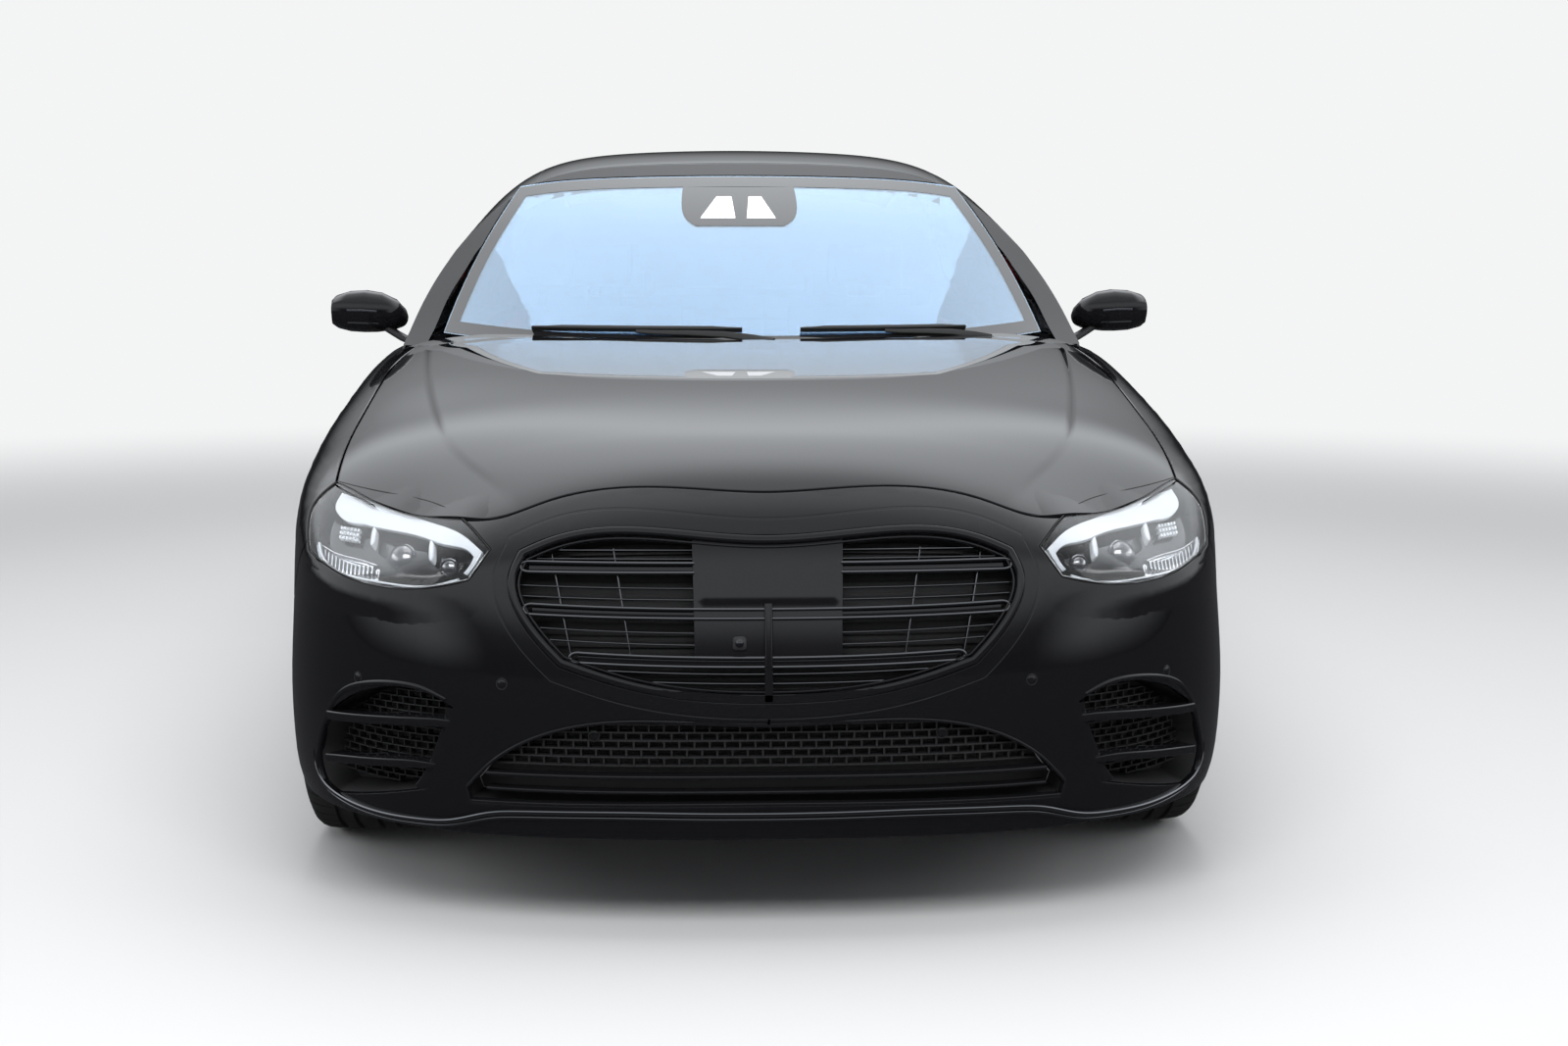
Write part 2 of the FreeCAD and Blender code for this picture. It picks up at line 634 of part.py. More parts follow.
def fender():
    """From the headlight over the wheel to the front door, with its upper edge along the bonnet."""
    rear = prism("side", *LEFT, FRONT_DOOR, grow=SHUT_GAP)
    side = prism("side", 400, 1100, loop((330, 640), (430, 672), (540, 549), (600, WHEEL_RADIUS), (600, WING_FOOT),
                                         (1800, WING_FOOT), (1815, 1100), (330, 1100)))
    made = front_side_layer(0, SKIN).common(side)
    top = prism("top", 300, 1300, mirror_runs(BONNET), grow=SHUT_GAP)
    lamp = prism("front", -50, 560, HEADLIGHT, grow=3)
    cabin_side = box(0, 1100, 1700, 2000, 955, 1400)
    made = made.cut([rear, top, lamp, front_wheel_void(), cabin_side])
    flange = box(700, SIDE(1400) - 4, 1300, 1500, APRON_TOP + SEAT_GAP, APRON_TOP + 4)
    return max(made.fuse(flange).Solids, key=lambda s: s.Volume)


GRILLE = [[(0, 730), (388, 724), (440, 702)], [(440, 702), (460, 652), (430, 570), (369, 503)],
          [(369, 503), (248, 466), (0, 440)]]
LOWER_INTAKE = [[(0, 404), (388, 388), (496, 327), (543, 276)], [(543, 276), (535, 249)],
                [(535, 249), (0, 253)]]
SIDE_INTAKE = [[(798, 389), (740, 430), (621, 448), (560, 423)], [(560, 423), (612, 267)],
               [(612, 267), (817, 215)], [(817, 215), (836, 261), (798, 389)]]


def full(runs):
    """Both halves of an opening across the centreline, as one outline."""
    half = [[(a, b) for a, b in run] for run in runs]
    other = [[(-a, b) for a, b in reversed(run)] for run in reversed(half)]
    joined_top = [(-a, b) for a, b in reversed(half[0])][:-1] + half[0]
    joined_foot = half[-1] + [(-a, b) for a, b in reversed(half[-1])][1:]
    return [joined_top] + half[1:-1] + [joined_foot] + other[1:-1]


BUMPER_SKIN = 8.0
NOSE_BEAM = 130.0
REAR_BEAM = 5150.0


def front_bumper():
    """The painted nose: one skin wrapped round the front between the bonnet, headlights and wheel arches."""
    side = prism("side", 0, 1100, loop((-300, BUMPER_FOOT), (-300, 900), (430, 900), (430, 666), (535, 545),
                                       (600, WHEEL_RADIUS), (600, BUMPER_FOOT)))
    half = front_side_layer(0, BUMPER_SKIN).common(side).cut(box(-400, 0, -100, 1000, 0, 1200))
    half = half.cut([front_wheel_void(), prism("front", -50, 560, HEADLIGHT, grow=3)])
    half = half.cut(prism("front", -50, 600, SIDE_INTAKE))
    half = half.cut(prism("top", 300, 1300, mirror_runs(BONNET), grow=SHUT_GAP))
    nose = half.fuse(mirrored(half))
    nose = nose.cut([prism("front", -50, 700, full(GRILLE)), prism("front", -50, 700, full(LOWER_INTAKE))])
    shelf = box(-200, 200, BUMPER_SKIN - 1, NOSE_BEAM - SEAT_GAP, 412, 428)
    return nose.fuse(shelf)


def screen_edge():
    """The windscreen's outline seen from the front."""
    half = [[(0, 1412), (300, 1408), (500, 1397), (596, 1384)], [(596, 1384), (690, 1190), (748, 1012)],
            [(748, 1012), (500, 992), (0, 984)]]
    return full(half)


def screen_layer(low, high):
    rows, columns = steps(-900, 900, 15), [900, 960, 1020, 1100, 1180, 1260, 1340, 1420, 1500]
    return layer(screen_fan, rows, columns, low, high)


def back_edge():
    half = [[(0, 1418), (300, 1412), (480, 1398), (560, 1380)], [(560, 1380), (610, 1290), (640, 1176)],
            [(640, 1176), (400, 1168), (0, 1160)]]
    return full(half)


def back_layer(low, high):
    rows, columns = steps(-900, 900, 13), [1050, 1100, 1160, 1220, 1280, 1340, 1400, 1460, 1540]
    return layer(back_fan, rows, columns, low, high)


SCREEN_THICK = 12.0
ROOF_HALF = 550.0
ROOF_DEPTH = 36.0


def windscreen():
    return screen_layer(0, SCREEN_THICK).common(prism("front", 1200, 2800, screen_edge()))


def rear_window():
    return back_layer(0, SCREEN_THICK).common(prism("front", 3400, 4900, back_edge()))


def glass_pockets():
    """What the two big panes and the air in front of them take out of the body round them."""
    ahead = screen_layer(-1600, 0)
    behind = back_layer(-1600, 0)
    room = prism("front", 1200, 2800, screen_edge(), grow=3)
    pane = screen_layer(-60, SCREEN_THICK + SEAT_GAP).common(room)
    room = prism("front", 3400, 4900, back_edge(), grow=3)
    rear = back_layer(-60, SCREEN_THICK + SEAT_GAP).common(room)
    return [ahead, behind, pane, rear]


def roof_panel(pockets):
    rows, columns = steps(-640, 640, 11), steps(2200, 4140, 16)
    made = layer(roof_fan, rows, columns, 0, ROOF_DEPTH)
    made = made.common(box(-ROOF_HALF, ROOF_HALF, 2200, 4200, 1200, HEIGHT + 100)).cut(pockets)
    return max(made.Solids, key=lambda s: s.Volume)


TAIL_LAMP = [[(640, 950), (760, 955), (880, 950)], [(880, 950), (940, 900), (940, 870)],
             [(940, 870), (800, 850), (640, 842)], [(640, 842), (640, 950)]]
BOOT_LAMP = [[(300, 945), (500, 948), (694, 950)], [(694, 950), (694, 843)],
             [(694, 843), (500, 842), (300, 850)], [(300, 850), (300, 945)]]
REAR_SPLIT = 768.0
TAIL_SPLIT = 300.0
FRAME_SEAM = 4060.0
QUARTER_LAP = 10.0
OUTER_TOP = 1030.0


def side_frame(pockets):
    """Sill, pillars, roof rail and rear quarter as one pressing, with lips that the doors shut against."""
    doors = [FRONT_DOOR, REAR_DOOR]
    shut = [prism("side", *LEFT, runs, grow=SHUT_GAP) for runs in doors]
    mouth = [prism("side", *LEFT, runs, grow=-FRAME_LIP) for runs in doors]
    low, high = below_belt(0), above_belt(-16)
    edges = (FRONT_EDGE, SPLIT)
    strips = [box(400, 1100, edge - 8, edge + HINGE_BACK + 22, DOOR_FOOT - 4, 990) for edge in edges]
    reach = box(PILLAR_INNER, 1100, 1700, FRAME_SEAM, SILL_FOOT, 1100)
    wheel_lip = rear_wheel_void(LINER_RADIUS + 7 - ARCH_RADIUS)
    outer = side_layer(0, LIP_DEPTH).common(box(0, 1100, 1690, FRAME_SEAM, SILL_FOOT, OUTER_TOP))
    outer = outer.cut(shut + [wheel_lip, box(0, 1100, 1600, 1830, DOOR_FOOT - 8, 1100)])
    lip = side_layer(LIP_DEPTH, POCKET_DEPTH).common(low).common(reach).cut(mouth + strips + [wheel_lip])
    deep = side_layer(POCKET_DEPTH, PILLAR_DEPTH).common(low).common(reach).cut(mouth + [wheel_lip])
    sill = side_layer(0, PILLAR_DEPTH).common(box(0, 1100, 1296, 3700, SILL_FOOT, DOOR_FOOT - SHUT_GAP))
    post = box(PILLAR_INNER, 1100, SPLIT - 90, SPLIT + 28, SILL_FOOT, 960)
    post = side_layer(POST_DEPTH, PILLAR_DEPTH + 20).common(post)
    arch = side_layer(0, SKIN).common(box(0, 1100, 3600, FRAME_SEAM, SILL_FOOT, 900)).cut(shut[1])
    arch = arch.common(rear_wheel_void(LINER_RADIUS + 12 - ARCH_RADIUS)).cut(rear_wheel_void())
    quarter = side_layer(0, SKIN).common(box(0, 1100, FRAME_SEAM - QUARTER_LAP, 5400, SILL_FOOT, 1400))
    quarter = quarter.cut(shut + [rear_wheel_void()])
    quarter = quarter.cut([box(0, 1100, REAR_AXLE + TAIL_SPLIT, 5400, 0, REAR_SPLIT)])
    quarter = quarter.cut([box(-10, BOOT_HALF + SHUT_GAP, BOOT_FRONT - SHUT_GAP, 5400, 0, 1400)])
    quarter = quarter.cut(box(0, DECK_HALF + SEAT_GAP, 4100, 4600, 900, 1300))
    quarter = quarter.cut([prism("front", 4600, 5400, TAIL_LAMP, grow=0.5)])
    rail = cabin_layer(0, LIP_DEPTH).common(high).cut(shut)
    a, b = 1000.0, 4800.0
    strip = loop((a, belt(a) - 17), (b, belt(b) - 17), (b, belt(b) + 2), (a, belt(a) + 2))
    waist = prism("side", 826, 1100, strip)
    rail_lip = cabin_layer(LIP_DEPTH, RAIL_DEPTH).common(high).cut(mouth + [waist])
    inside = box(0, ROOF_HALF, 1500, 4540, 1000, 1600)
    ends = [box(0, 1100, 4540, 4900, 900, 1300), box(0, 1100, 1500, 1830, 900, 980)]
    made = rail.fuse(rail_lip).cut([inside] + ends).cut(pockets)
    for piece in (outer, lip, deep, sill, post, arch, quarter):
        made = made.fuse(piece)
    flange = box(700, 800, 1530, 3620, FLOOR + FLOOR_THICK + SEAT_GAP, FLOOR + FLOOR_THICK + 4)
    made = made.fuse(flange)
    hinges = [piece for edge in edges for height in HINGE_HEIGHTS for piece in hinge_on_pillar(edge, height)]
    return max(made.fuse(hinges).Solids, key=lambda s: s.Volume)


def rear_bumper():
    """The painted tail below the boot, from wheel arch to wheel arch."""
    rows = steps(4380, 5940, 15)
    columns = [150, 190, 240, 300, 380, 480, 600, 700, 780, 830]
    half = layer(girth_fan, rows, columns, 0, BUMPER_SKIN).cut(box(-400, 0, 4000, 5400, 0, 1200))
    lower, upper = SILL_FOOT + 35, REAR_SPLIT - SHUT_GAP / 2
    half = half.common(box(0, 1100, REAR_AXLE + TAIL_SPLIT + SEAT_GAP, 5400, lower, upper)).cut(rear_wheel_void())
    shelf = box(-300, 300, REAR_BEAM + SEAT_GAP, LENGTH - BUMPER_SKIN + 2, 560, 580)
    return half.fuse(mirrored(half)).fuse(shelf)


BAR_HEIGHTS = (512.0, 596.0, 675.0)
BAR_SPREAD = 8.0
SLAT_HEIGHTS = (474.0, 491.0, 542.0, 563.0, 621.0, 641.0, 692.0, 708.0)
STRUTS = (((385.0, 735.0), (350.0, 440.0)), ((274.0, 735.0), (243.0, 440.0)))
RADAR_PANEL = (134.0, 521.0, 724.0)
GRILLE_RIM = 26.0
INTAKE_BLADES = (292.0, 326.0, 360.0)


def grille():
    """The main grille: a frame round the opening, three double bars, thin bars between and four struts."""
    outline = full(GRILLE)
    whole = prism("front", -50, 700, outline, grow=-SEAT_GAP)
    rows = steps(-520, 520, 13)
    columns = [420, 470, 520, 570, 620, 670, 720, 760]
    shell = layer(nose_fan, rows, columns, 3, 46)
    frame = shell.common(whole.cut(prism("front", -50, 700, outline, grow=-GRILLE_RIM)))
    inner = prism("front", -50, 700, outline, grow=-GRILLE_RIM + 4)
    face = layer(nose_fan, rows, columns, 8, 34)
    thin = layer(nose_fan, rows, columns, 20, 40)
    bars = []
    for height in BAR_HEIGHTS:
        for middle in (height - BAR_SPREAD, height + BAR_SPREAD):
            bars.append(face.common(box(-520, 520, -50, 400, middle - 5, middle + 5)).common(inner))
    for height in SLAT_HEIGHTS:
        bars.append(thin.common(box(-520, 520, -50, 400, height - 2, height + 2)).common(inner))
    for (x0, z0), (x1, z1) in STRUTS:
        for side in (-1, 1):
            lean = loop((side * (x0 - 4), z0), (side * (x0 + 4), z0), (side * (x1 + 4), z1), (side * (x1 - 4), z1))
            bars.append(thin.common(prism("front", -50, 400, lean)).common(inner))
    made = frame
    for bar in bars:
        made = made.fuse(bar)
    half, low, high = RADAR_PANEL
    panel = layer(nose_fan, rows, columns, 6, 30).common(box(-half, half, -50, 400, low, high))
    return max(made.fuse(panel).Solids, key=lambda s: s.Volume)


def intake(runs, depth=4.0):
    """A lower intake's insert: a rim that fits the opening and blades across it."""
    shell = front_side_layer(depth, depth + 26)
    outline = prism("front", -50, 700, runs, grow=-SEAT_GAP)
    rim = shell.common(outline.cut(prism("front", -50, 700, runs, grow=-12)))
    made = rim
    for height in INTAKE_BLADES:
        made = made.fuse(shell.common(box(0, 900, -50, 700, height - 3, height + 3)).common(outline))
    return max(made.Solids, key=lambda s: s.Volume)


def centre_intake():
    shell = layer(nose_fan, steps(-600, 600, 13), [200, 240, 290, 340, 390, 440], 4, 30)
    outline = prism("front", -50, 700, full(LOWER_INTAKE), grow=-SEAT_GAP)
    made = shell.common(outline.cut(prism("front", -50, 700, full(LOWER_INTAKE), grow=-12)))
    for height in INTAKE_BLADES + (275.0, 309.0, 343.0, 377.0):
        made = made.fuse(shell.common(box(-700, 700, -50, 700, height - 3, height + 3)).common(outline))
    return max(made.Solids, key=lambda s: s.Volume)


RAIL_TOP = 530.0


def headlight():
    rows, columns = [-250, -80, 90, 260, 420, 570, 700], [560, 600, 640, 680, 710, 740, 770, 800]
    lamp = layer(girth_fan, rows, columns, 1, 90).common(prism("front", -50, 545, HEADLIGHT, grow=0))
    post = box(560, 600, 170, 200, RAIL_TOP + SEAT_GAP, 680)
    foot = box(440, 600, 170, 200, RAIL_TOP + SEAT_GAP, RAIL_TOP + 16)
    lid = layer(deck_fan, BONNET_ROWS, BONNET_COLUMNS, -20, BONNET_DEPTH + SHUT_GAP)
    lid = lid.common(prism("top", 300, 1300, mirror_runs(BONNET), grow=SHUT_GAP))
    return max(lamp.fuse([post, foot]).cut(lid).Solids, key=lambda s: s.Volume)


def tail_lamp():
    rows = steps(4900, 5500, 7)
    made = layer(girth_fan, rows, [780, 820, 860, 900, 940, 980], 1, 50)
    made = made.common(prism("front", 4600, 5400, TAIL_LAMP))
    return made.common(box(BOOT_HALF + SHUT_GAP, 1000, 4600, 5400, 700, 1100))


def boot_lamp():
    made = layer(tail_fan, steps(100, BOOT_HALF, 9), [800, 860, 920, 980, 1040], 0.5, 20)
    return made.common(prism("front", 4600, 5400, BOOT_LAMP))


WHEEL_HUB_BORE = 32.0
SPINDLE = 31.94
WHEEL_MIDDLE = TRACK / 2
WHEEL_FACE = WHEEL_MIDDLE + 38
RIM_WIDTH = 236.0
SPOKES = 10
DISC_RADIUS = 186.0


def rim():
    """Barrel with bead seats, spoked face, hub and the brake disc that turns with it, for the left side."""
    a, b = WHEEL_MIDDLE - RIM_WIDTH / 2, WHEEL_MIDDLE + RIM_WIDTH / 2
    r = RIM_RADIUS - 0.5
    barrel = [(a, r + 14), (a + 5, r + 14), (a + 8, r), (a + 40, r - 2), (a + 60, r - 20), (b - 60, r - 20)]
    barrel += [(b - 40, r - 2), (b - 8, r), (b - 5, r + 14), (b, r + 14), (b, r - 2), (b - 14, r - 12)]
    barrel += [(b - 58, r - 30), (a + 58, r - 30), (a + 38, r - 12), (a, r - 8)]
    hub = [(WHEEL_FACE, WHEEL_HUB_BORE), (WHEEL_FACE, 78), (WHEEL_FACE + 30, 72), (WHEEL_FACE + 46, 56)]
    hub += [(WHEEL_FACE + 46, WHEEL_HUB_BORE)]
    m = WHEEL_MIDDLE
    disc = [(m - 30, 120), (m - 30, DISC_RADIUS), (m + 2, DISC_RADIUS), (m + 2, 96), (WHEEL_FACE + 0.5, 90)]
    disc += [(WHEEL_FACE + 0.5, WHEEL_HUB_BORE), (WHEEL_FACE - 8, WHEEL_HUB_BORE), (WHEEL_FACE - 8, 82)]
    disc += [(m - 8, 86), (m - 8, 120)]
    made = ring_of(barrel, (0, 0, 0), (1, 0, 0))
    made = made.fuse([ring_of(hub, (0, 0, 0), (1, 0, 0)), ring_of(disc, (0, 0, 0), (1, 0, 0))])
    face = loop((50, -19), (50, 19), (r - 16, 13), (r - 16, -13))
    spokes = []
    for i in range(SPOKES):
        spoke = prism("side", WHEEL_FACE + 16, WHEEL_FACE + 44, face)
        spoke.rotate(V(0, 0, 0), V(1, 0, 0), 360.0 * i / SPOKES)
        spokes.append(spoke)
    made = made.fuse(spokes)
    return max(made.Solids, key=lambda s: s.Volume)


def tyre():
    a, b = WHEEL_MIDDLE - TYRE_WIDTH / 2, WHEEL_MIDDLE + TYRE_WIDTH / 2
    m, n = WHEEL_MIDDLE - RIM_WIDTH / 2, WHEEL_MIDDLE + RIM_WIDTH / 2
    r, top = RIM_RADIUS, WHEEL_RADIUS
    profile = [(m + 9, r), (m + 9, r + 15), (m - 4, r + 17), (a, r + 45), (a + 3, top - 32), (a + 12, top - 14)]
    profile += [(a + 28, top - 4), (WHEEL_MIDDLE, top), (b - 28, top - 4), (b - 12, top - 14), (b - 3, top - 32)]
    profile += [(b, r + 45), (n + 4, r + 17), (n - 9, r + 15), (n - 9, r), (n - 30, r), (n - 30, r + 12)]
    profile += [(b - 24, top - 30), (b - 40, top - 16), (a + 40, top - 16), (a + 24, top - 30), (m + 30, r + 12)]
    profile.append((m + 30, r))
    return ring_of(profile, (0, 0, 0), (1, 0, 0))


def at_axle(shape, station):
    placed = shape.copy()
    placed.translate(V(0, station, WHEEL_RADIUS))
    return placed


KINGPIN = WHEEL_MIDDLE - 60
UPRIGHT_GAP = 6.0
REAR_RAIL = 330.0
BALL = 13.0


def brake_slot(side, s, z):
    """The room that the turning disc takes in a caliper."""
    a, b = side * (WHEEL_MIDDLE - 33), side * (WHEEL_MIDDLE + 5)
    return ring_of([(a, 90), (a, DISC_RADIUS + 6), (b, DISC_RADIUS + 6), (b, 90)], (0, s, z), (1, 0, 0))


def knuckle():
    """Upright, spindle and brake caliper of the left front wheel."""
    s, z = FRONT_AXLE, WHEEL_RADIUS
    post = box(KINGPIN - 16, KINGPIN + 16, s - 24, s + 24, z - 118, z + 128)
    spindle = rod((KINGPIN, s, z), (WHEEL_FACE + 40, s, z), SPINDLE)
    hub = rod((KINGPIN - 10, s, z), (KINGPIN + 26, s, z), 62)
    bracket = box(KINGPIN - 16, KINGPIN + 20, s + 20, s + 190, z - 38, z + 38)
    pads = box(KINGPIN + 20, KINGPIN + 76, s + 128, s + 206, z - 74, z + 74)
    slot = brake_slot(1, s, z)
    arm = box(KINGPIN - 12, KINGPIN + 8, s - 150, s - 20, z - 60, z - 36)
    return post.fuse([spindle, hub, bracket, arm, pads.cut(slot)])


def front_subframe():
    """Cradle under the engine with the lower and upper arms that carry the knuckles."""
    s, z = FRONT_AXLE, WHEEL_RADIUS
    made = box(-420, 420, s - 60, s + 60, z - 151, z - 101)
    low, high = z - 141, z - 91
    pieces = [box(-420, -360, s - 300, s + 380, low, high), box(360, 420, s - 300, s + 380, low, high)]
    pieces.append(box(-420, 420, s + 330, s + 380, low, high))
    for side in (-1, 1):
        for at in (s - 180, s + 300):
            pieces.append(sided(side, 385, 440, at, at + 50, z - 116, RAIL_TOP - 100 - SEAT_GAP))
        tip = side * (KINGPIN + 16)
        arm = loop((side * 400, s - 120), (side * 400, s + 120), (side * 700, s + 26), (tip, s + 20),
                   (tip, s - 20), (side * 700, s - 26))
        pieces.append(prism("top", z - 140, z - 118 - SEAT_GAP, arm))
    return made.fuse(pieces)


def rear_subframe():
    """Cradle, arms, uprights and half-shafts of the rear axle."""
    s, z, m = REAR_AXLE, WHEEL_RADIUS, WHEEL_MIDDLE
    low, high = z - 106, z - 46
    made = box(-430, 430, s - 200, s - 140, low, high)
    pieces = [box(-430, 430, s + 140, s + 200, low, high), box(-430, -370, s - 200, s + 200, low, high)]
    pieces += [box(370, 430, s - 200, s + 200, low, high), box(-120, 120, s - 150, s + 150, z - 116, z + 64)]
    pieces.append(rod((20 - m, s, z), (m - 20, s, z), 24))
    for side in (-1, 1):
        pieces.append(sided(side, 402, 428, s - 195, s + 195, high - 10, REAR_RAIL - SEAT_GAP))
        pieces.append(sided(side, 400, m - 90, s - 90, s - 50, z - 131, z - 94))
        pieces.append(sided(side, 400, m - 90, s + 50, s + 90, z - 131, z - 94))
        pieces.append(sided(side, BOOT_WALL + UPRIGHT_GAP, m - 70, s - 95, s + 95, z - 134, z + 110))
        pieces.append(rod((side * (m - 130), s, z), (side * (WHEEL_FACE + 40), s, z), SPINDLE))
        pieces.append(rod((side * (m - 90), s, z), (side * (m - 34), s, z), 62))
        pads = sided(side, m - 80, m + 16, s + 104, s + 206, z - 70, z + 70)
        pieces.append(pads.cut(brake_slot(side, s, z)))
        pieces.append(sided(side, m - 90, m - 40, s + 80, s + 150, z - 38, z + 38))
    return made.fuse(pieces)


FLOOR = 172.0
FLOOR_THICK = 10.0
SILL_INNER = 738.0
TUNNEL = 330.0
BOOT_FLOOR = 430.0


def floor_pan():
    """Floor, tunnel, bulkhead, rails, strut towers, boot floor and rear wheel housings, welded as one."""
    top = FLOOR + FLOOR_THICK
    pieces = [box(-SILL_INNER, SILL_INNER, 1510, 3640, FLOOR, top)]
    tunnel = box(-125, 125, 1500, 3640, FLOOR, TUNNEL).cut(box(-113, 113, 1400, 3800, 0, TUNNEL - 10))
    pieces[0] = pieces[0].cut(box(-113, 113, 1400, 3800, 0, TUNNEL - 10))
    pieces.append(tunnel)
    pieces.append(box(-SILL_INNER, SILL_INNER, 1500, 1512, FLOOR, 900))
    pieces.append(box(-SILL_INNER, SILL_INNER, 1380, 1512, 890, 900))
    for side in (-1, 1):
        pieces.append(sided(side, 380, 460, 150, 1504, 430, RAIL_TOP))
        pieces.append(sided(side, 440, 490, 640, 1504, 500, APRON_TOP))
        pieces.append(sided(side, 486, 640, 790, 970, 770, APRON_TOP))
        pieces.append(sided(side, 560, 760, 1290, 1504, 700, APRON_TOP))
        pieces.append(sided(side, BOOT_WALL - 8, BOOT_WALL, 3640, 4560, 330, 1060))
        pieces.append(sided(side, BOOT_WALL - 8, BOOT_WALL, 4550, 4800, 330, 1000))
        pieces.append(sided(side, 400, 470, 3600, 5150, REAR_RAIL, 420))
    pieces.append(box(-470, 470, NOSE_BEAM, 170, 330, RAIL_TOP))
    pieces.append(box(-SILL_INNER + 100, SILL_INNER - 100, 3630, 3642, FLOOR, BOOT_FLOOR))
    pieces.append(box(-BOOT_WALL, BOOT_WALL, 3630, 5000, BOOT_FLOOR - 10, BOOT_FLOOR))
    pieces.append(box(-BOOT_WALL, BOOT_WALL, 4000, 4012, BOOT_FLOOR - 10, 1060))
    pieces.append(box(-BOOT_WALL, BOOT_WALL, 4000, 4550, 1050, 1060))
    pieces.append(box(-540, 540, 5120, REAR_BEAM, 330, 700))
    pieces += both(bonnet_bracket()) + both(boot_bracket())
    pieces.append(box(-540, 540, 4990, 5130, BOOT_FLOOR - 10, BOOT_FLOOR))
    made = pieces[0]
    for piece in pieces[1:]:
        made = made.fuse(piece)
    shaft = rod((-700, REAR_AXLE, WHEEL_RADIUS), (700, REAR_AXLE, WHEEL_RADIUS), 34)
    mouths = [box(-113, 113, 1490, 1520, 0, TUNNEL - 10), box(-113, 113, 3620, 3650, 0, TUNNEL - 10)]
    return made.cut(mouths + [shaft])


def wheel_liner(station, inner):
    """The dark hoop over a wheel, out to just behind the painted skin."""
    hoop = [(inner, LINER_RADIUS), (inner, LINER_RADIUS + 5), (960, LINER_RADIUS + 5), (960, LINER_RADIUS)]
    made = ring_of(hoop, (0, station, WHEEL_RADIUS), (1, 0, 0))
    rows = steps(station - 520, station + 520, 11)
    columns = [150, 190, 240, 300, 380, 480, 560, 640, 700, 745, 790]
    inside = layer(girth_fan, rows, columns, BUMPER_SKIN + SEAT_GAP, 520)
    made = made.common(inside).common(box(inner, 1000, station - 500, station + 500, 262, 900))
    made = made.cut(box(700, 1000, FRONT_AXLE - 500, FRONT_AXLE - 385, 200, 330))
    return max(made.Solids, key=lambda s: s.Volume)


def front_seat(middle):
    cushion = [(2290, 300), (2290, 400), (2420, 440), (2600, 430), (2760, 440)]
    seat = [cushion, [(2760, 440), (2830, 700), (2900, 1010)], [(2900, 1010), (2960, 1060), (3010, 1010)],
            [(3010, 1010), (2960, 700), (2900, 330)], [(2900, 330), (2290, 300)]]
    made = prism("side", middle - 265, middle + 265, seat)
    rest = [[(2925, 1080), (2940, 1240), (2990, 1250), (3010, 1080)], [(3010, 1080), (2925, 1080)]]
    head = prism("side", middle - 130, middle + 130, rest)
    stalk = box(middle - 60, middle + 60, 2955, 2975, 1000, 1100)
    base = box(middle - 220, middle + 220, 2360, 2860, FLOOR + FLOOR_THICK + SEAT_GAP, 330)
    return made.fuse([head, stalk, base])


def rear_seat():
    foot = BOOT_FLOOR + SEAT_GAP
    seat = [[(3420, foot), (3400, 520), (3450, 560), (3620, 540), (3800, 530)],
            [(3800, 530), (3860, 800), (3920, 1040)], [(3920, 1040), (3985, 1040)], [(3985, 1040), (3985, foot)],
            [(3985, foot), (3420, foot)]]
    made = prism("side", -640, 640, seat)
    rest = [[(3915, 1030), (3920, 1120), (3945, 1150), (3970, 1120), (3978, 1030)], [(3978, 1030), (3915, 1030)]]
    heads = [prism("side", middle - 120, middle + 120, rest) for middle in (-370, 370)]
    return made.fuse(heads)


STEER_AT = (370.0, 2138.0, 808.0)
STEER_AXIS = (0.0, 0.9615, 0.2747)
STEER_RADIUS = 184.0


def dashboard():
    runs = [[(1560, 905), (1800, 965), (1960, 950), (2030, 900)], [(2030, 900), (2060, 800), (2000, 690)],
            [(2000, 690), (1900, 600)], [(1900, 600), (1560, 620)], [(1560, 620), (1560, 905)]]
    made = prism("side", -700, 700, runs)
    end = V(*STEER_AT) - V(*STEER_AXIS) * (20 + SEAT_GAP)
    start = end - V(*STEER_AXIS) * 230
    column = rod(tuple(start), tuple(end), 34)
    leg = box(-110, 110, 1700, 1900, TUNNEL + SEAT_GAP, 640)
    return made.fuse([column, leg])


def steering_wheel():
    at, way = V(*STEER_AT), V(*STEER_AXIS)
    rim_ring = Part.makeTorus(STEER_RADIUS - 15, 15, at, way)
    hub = Part.makeCylinder(72, 34, at - way * 20, way)
    side = V(1, 0, 0)
    down = way.cross(side)
    pieces = [hub]
    for a, b in ((side, 1), (side, -1), (down, 1)):
        out = a * b
        spoke = Part.makeBox(STEER_RADIUS - 40, 36, 16)
        turn = FreeCAD.Rotation(out, way.cross(out), way, "XYZ")
        spoke.Placement = FreeCAD.Placement(at - way * 8 - way.cross(out) * 18 + out * 20, turn)
        pieces.append(spoke)
    return rim_ring.fuse(pieces)


def engine():
    s0, s1 = 640, 1380
    block = loop((-150, 330), (150, 330), (300, 620), (300, 780), (-300, 780), (-300, 620))
    made = prism("front", s0, s1, block)
    mounts = [sided(side, 200, 380 - SEAT_GAP, 950, 1010, 460, 500) for side in (-1, 1)]
    return made.fuse(mounts)


def exhaust():
    pieces = [tube((0, 1395, 240), (0, 3700, 240), 32, 29), rod((0, 3690, 240), (0, 3900, 200), 31)]
    pieces += [rod((0, 3890, 200), (0, 4400, 200), 31), box(-420, 420, 4390, 4780, 190, 330 - SEAT_GAP)]
    for side in (-1, 1):
        pieces.append(rod((side * 360, 4770, 250), (side * 455, 5140, 260), 30))
    made = pieces[0]
    for piece in pieces[1:]:
        made = made.fuse(piece)
    return made


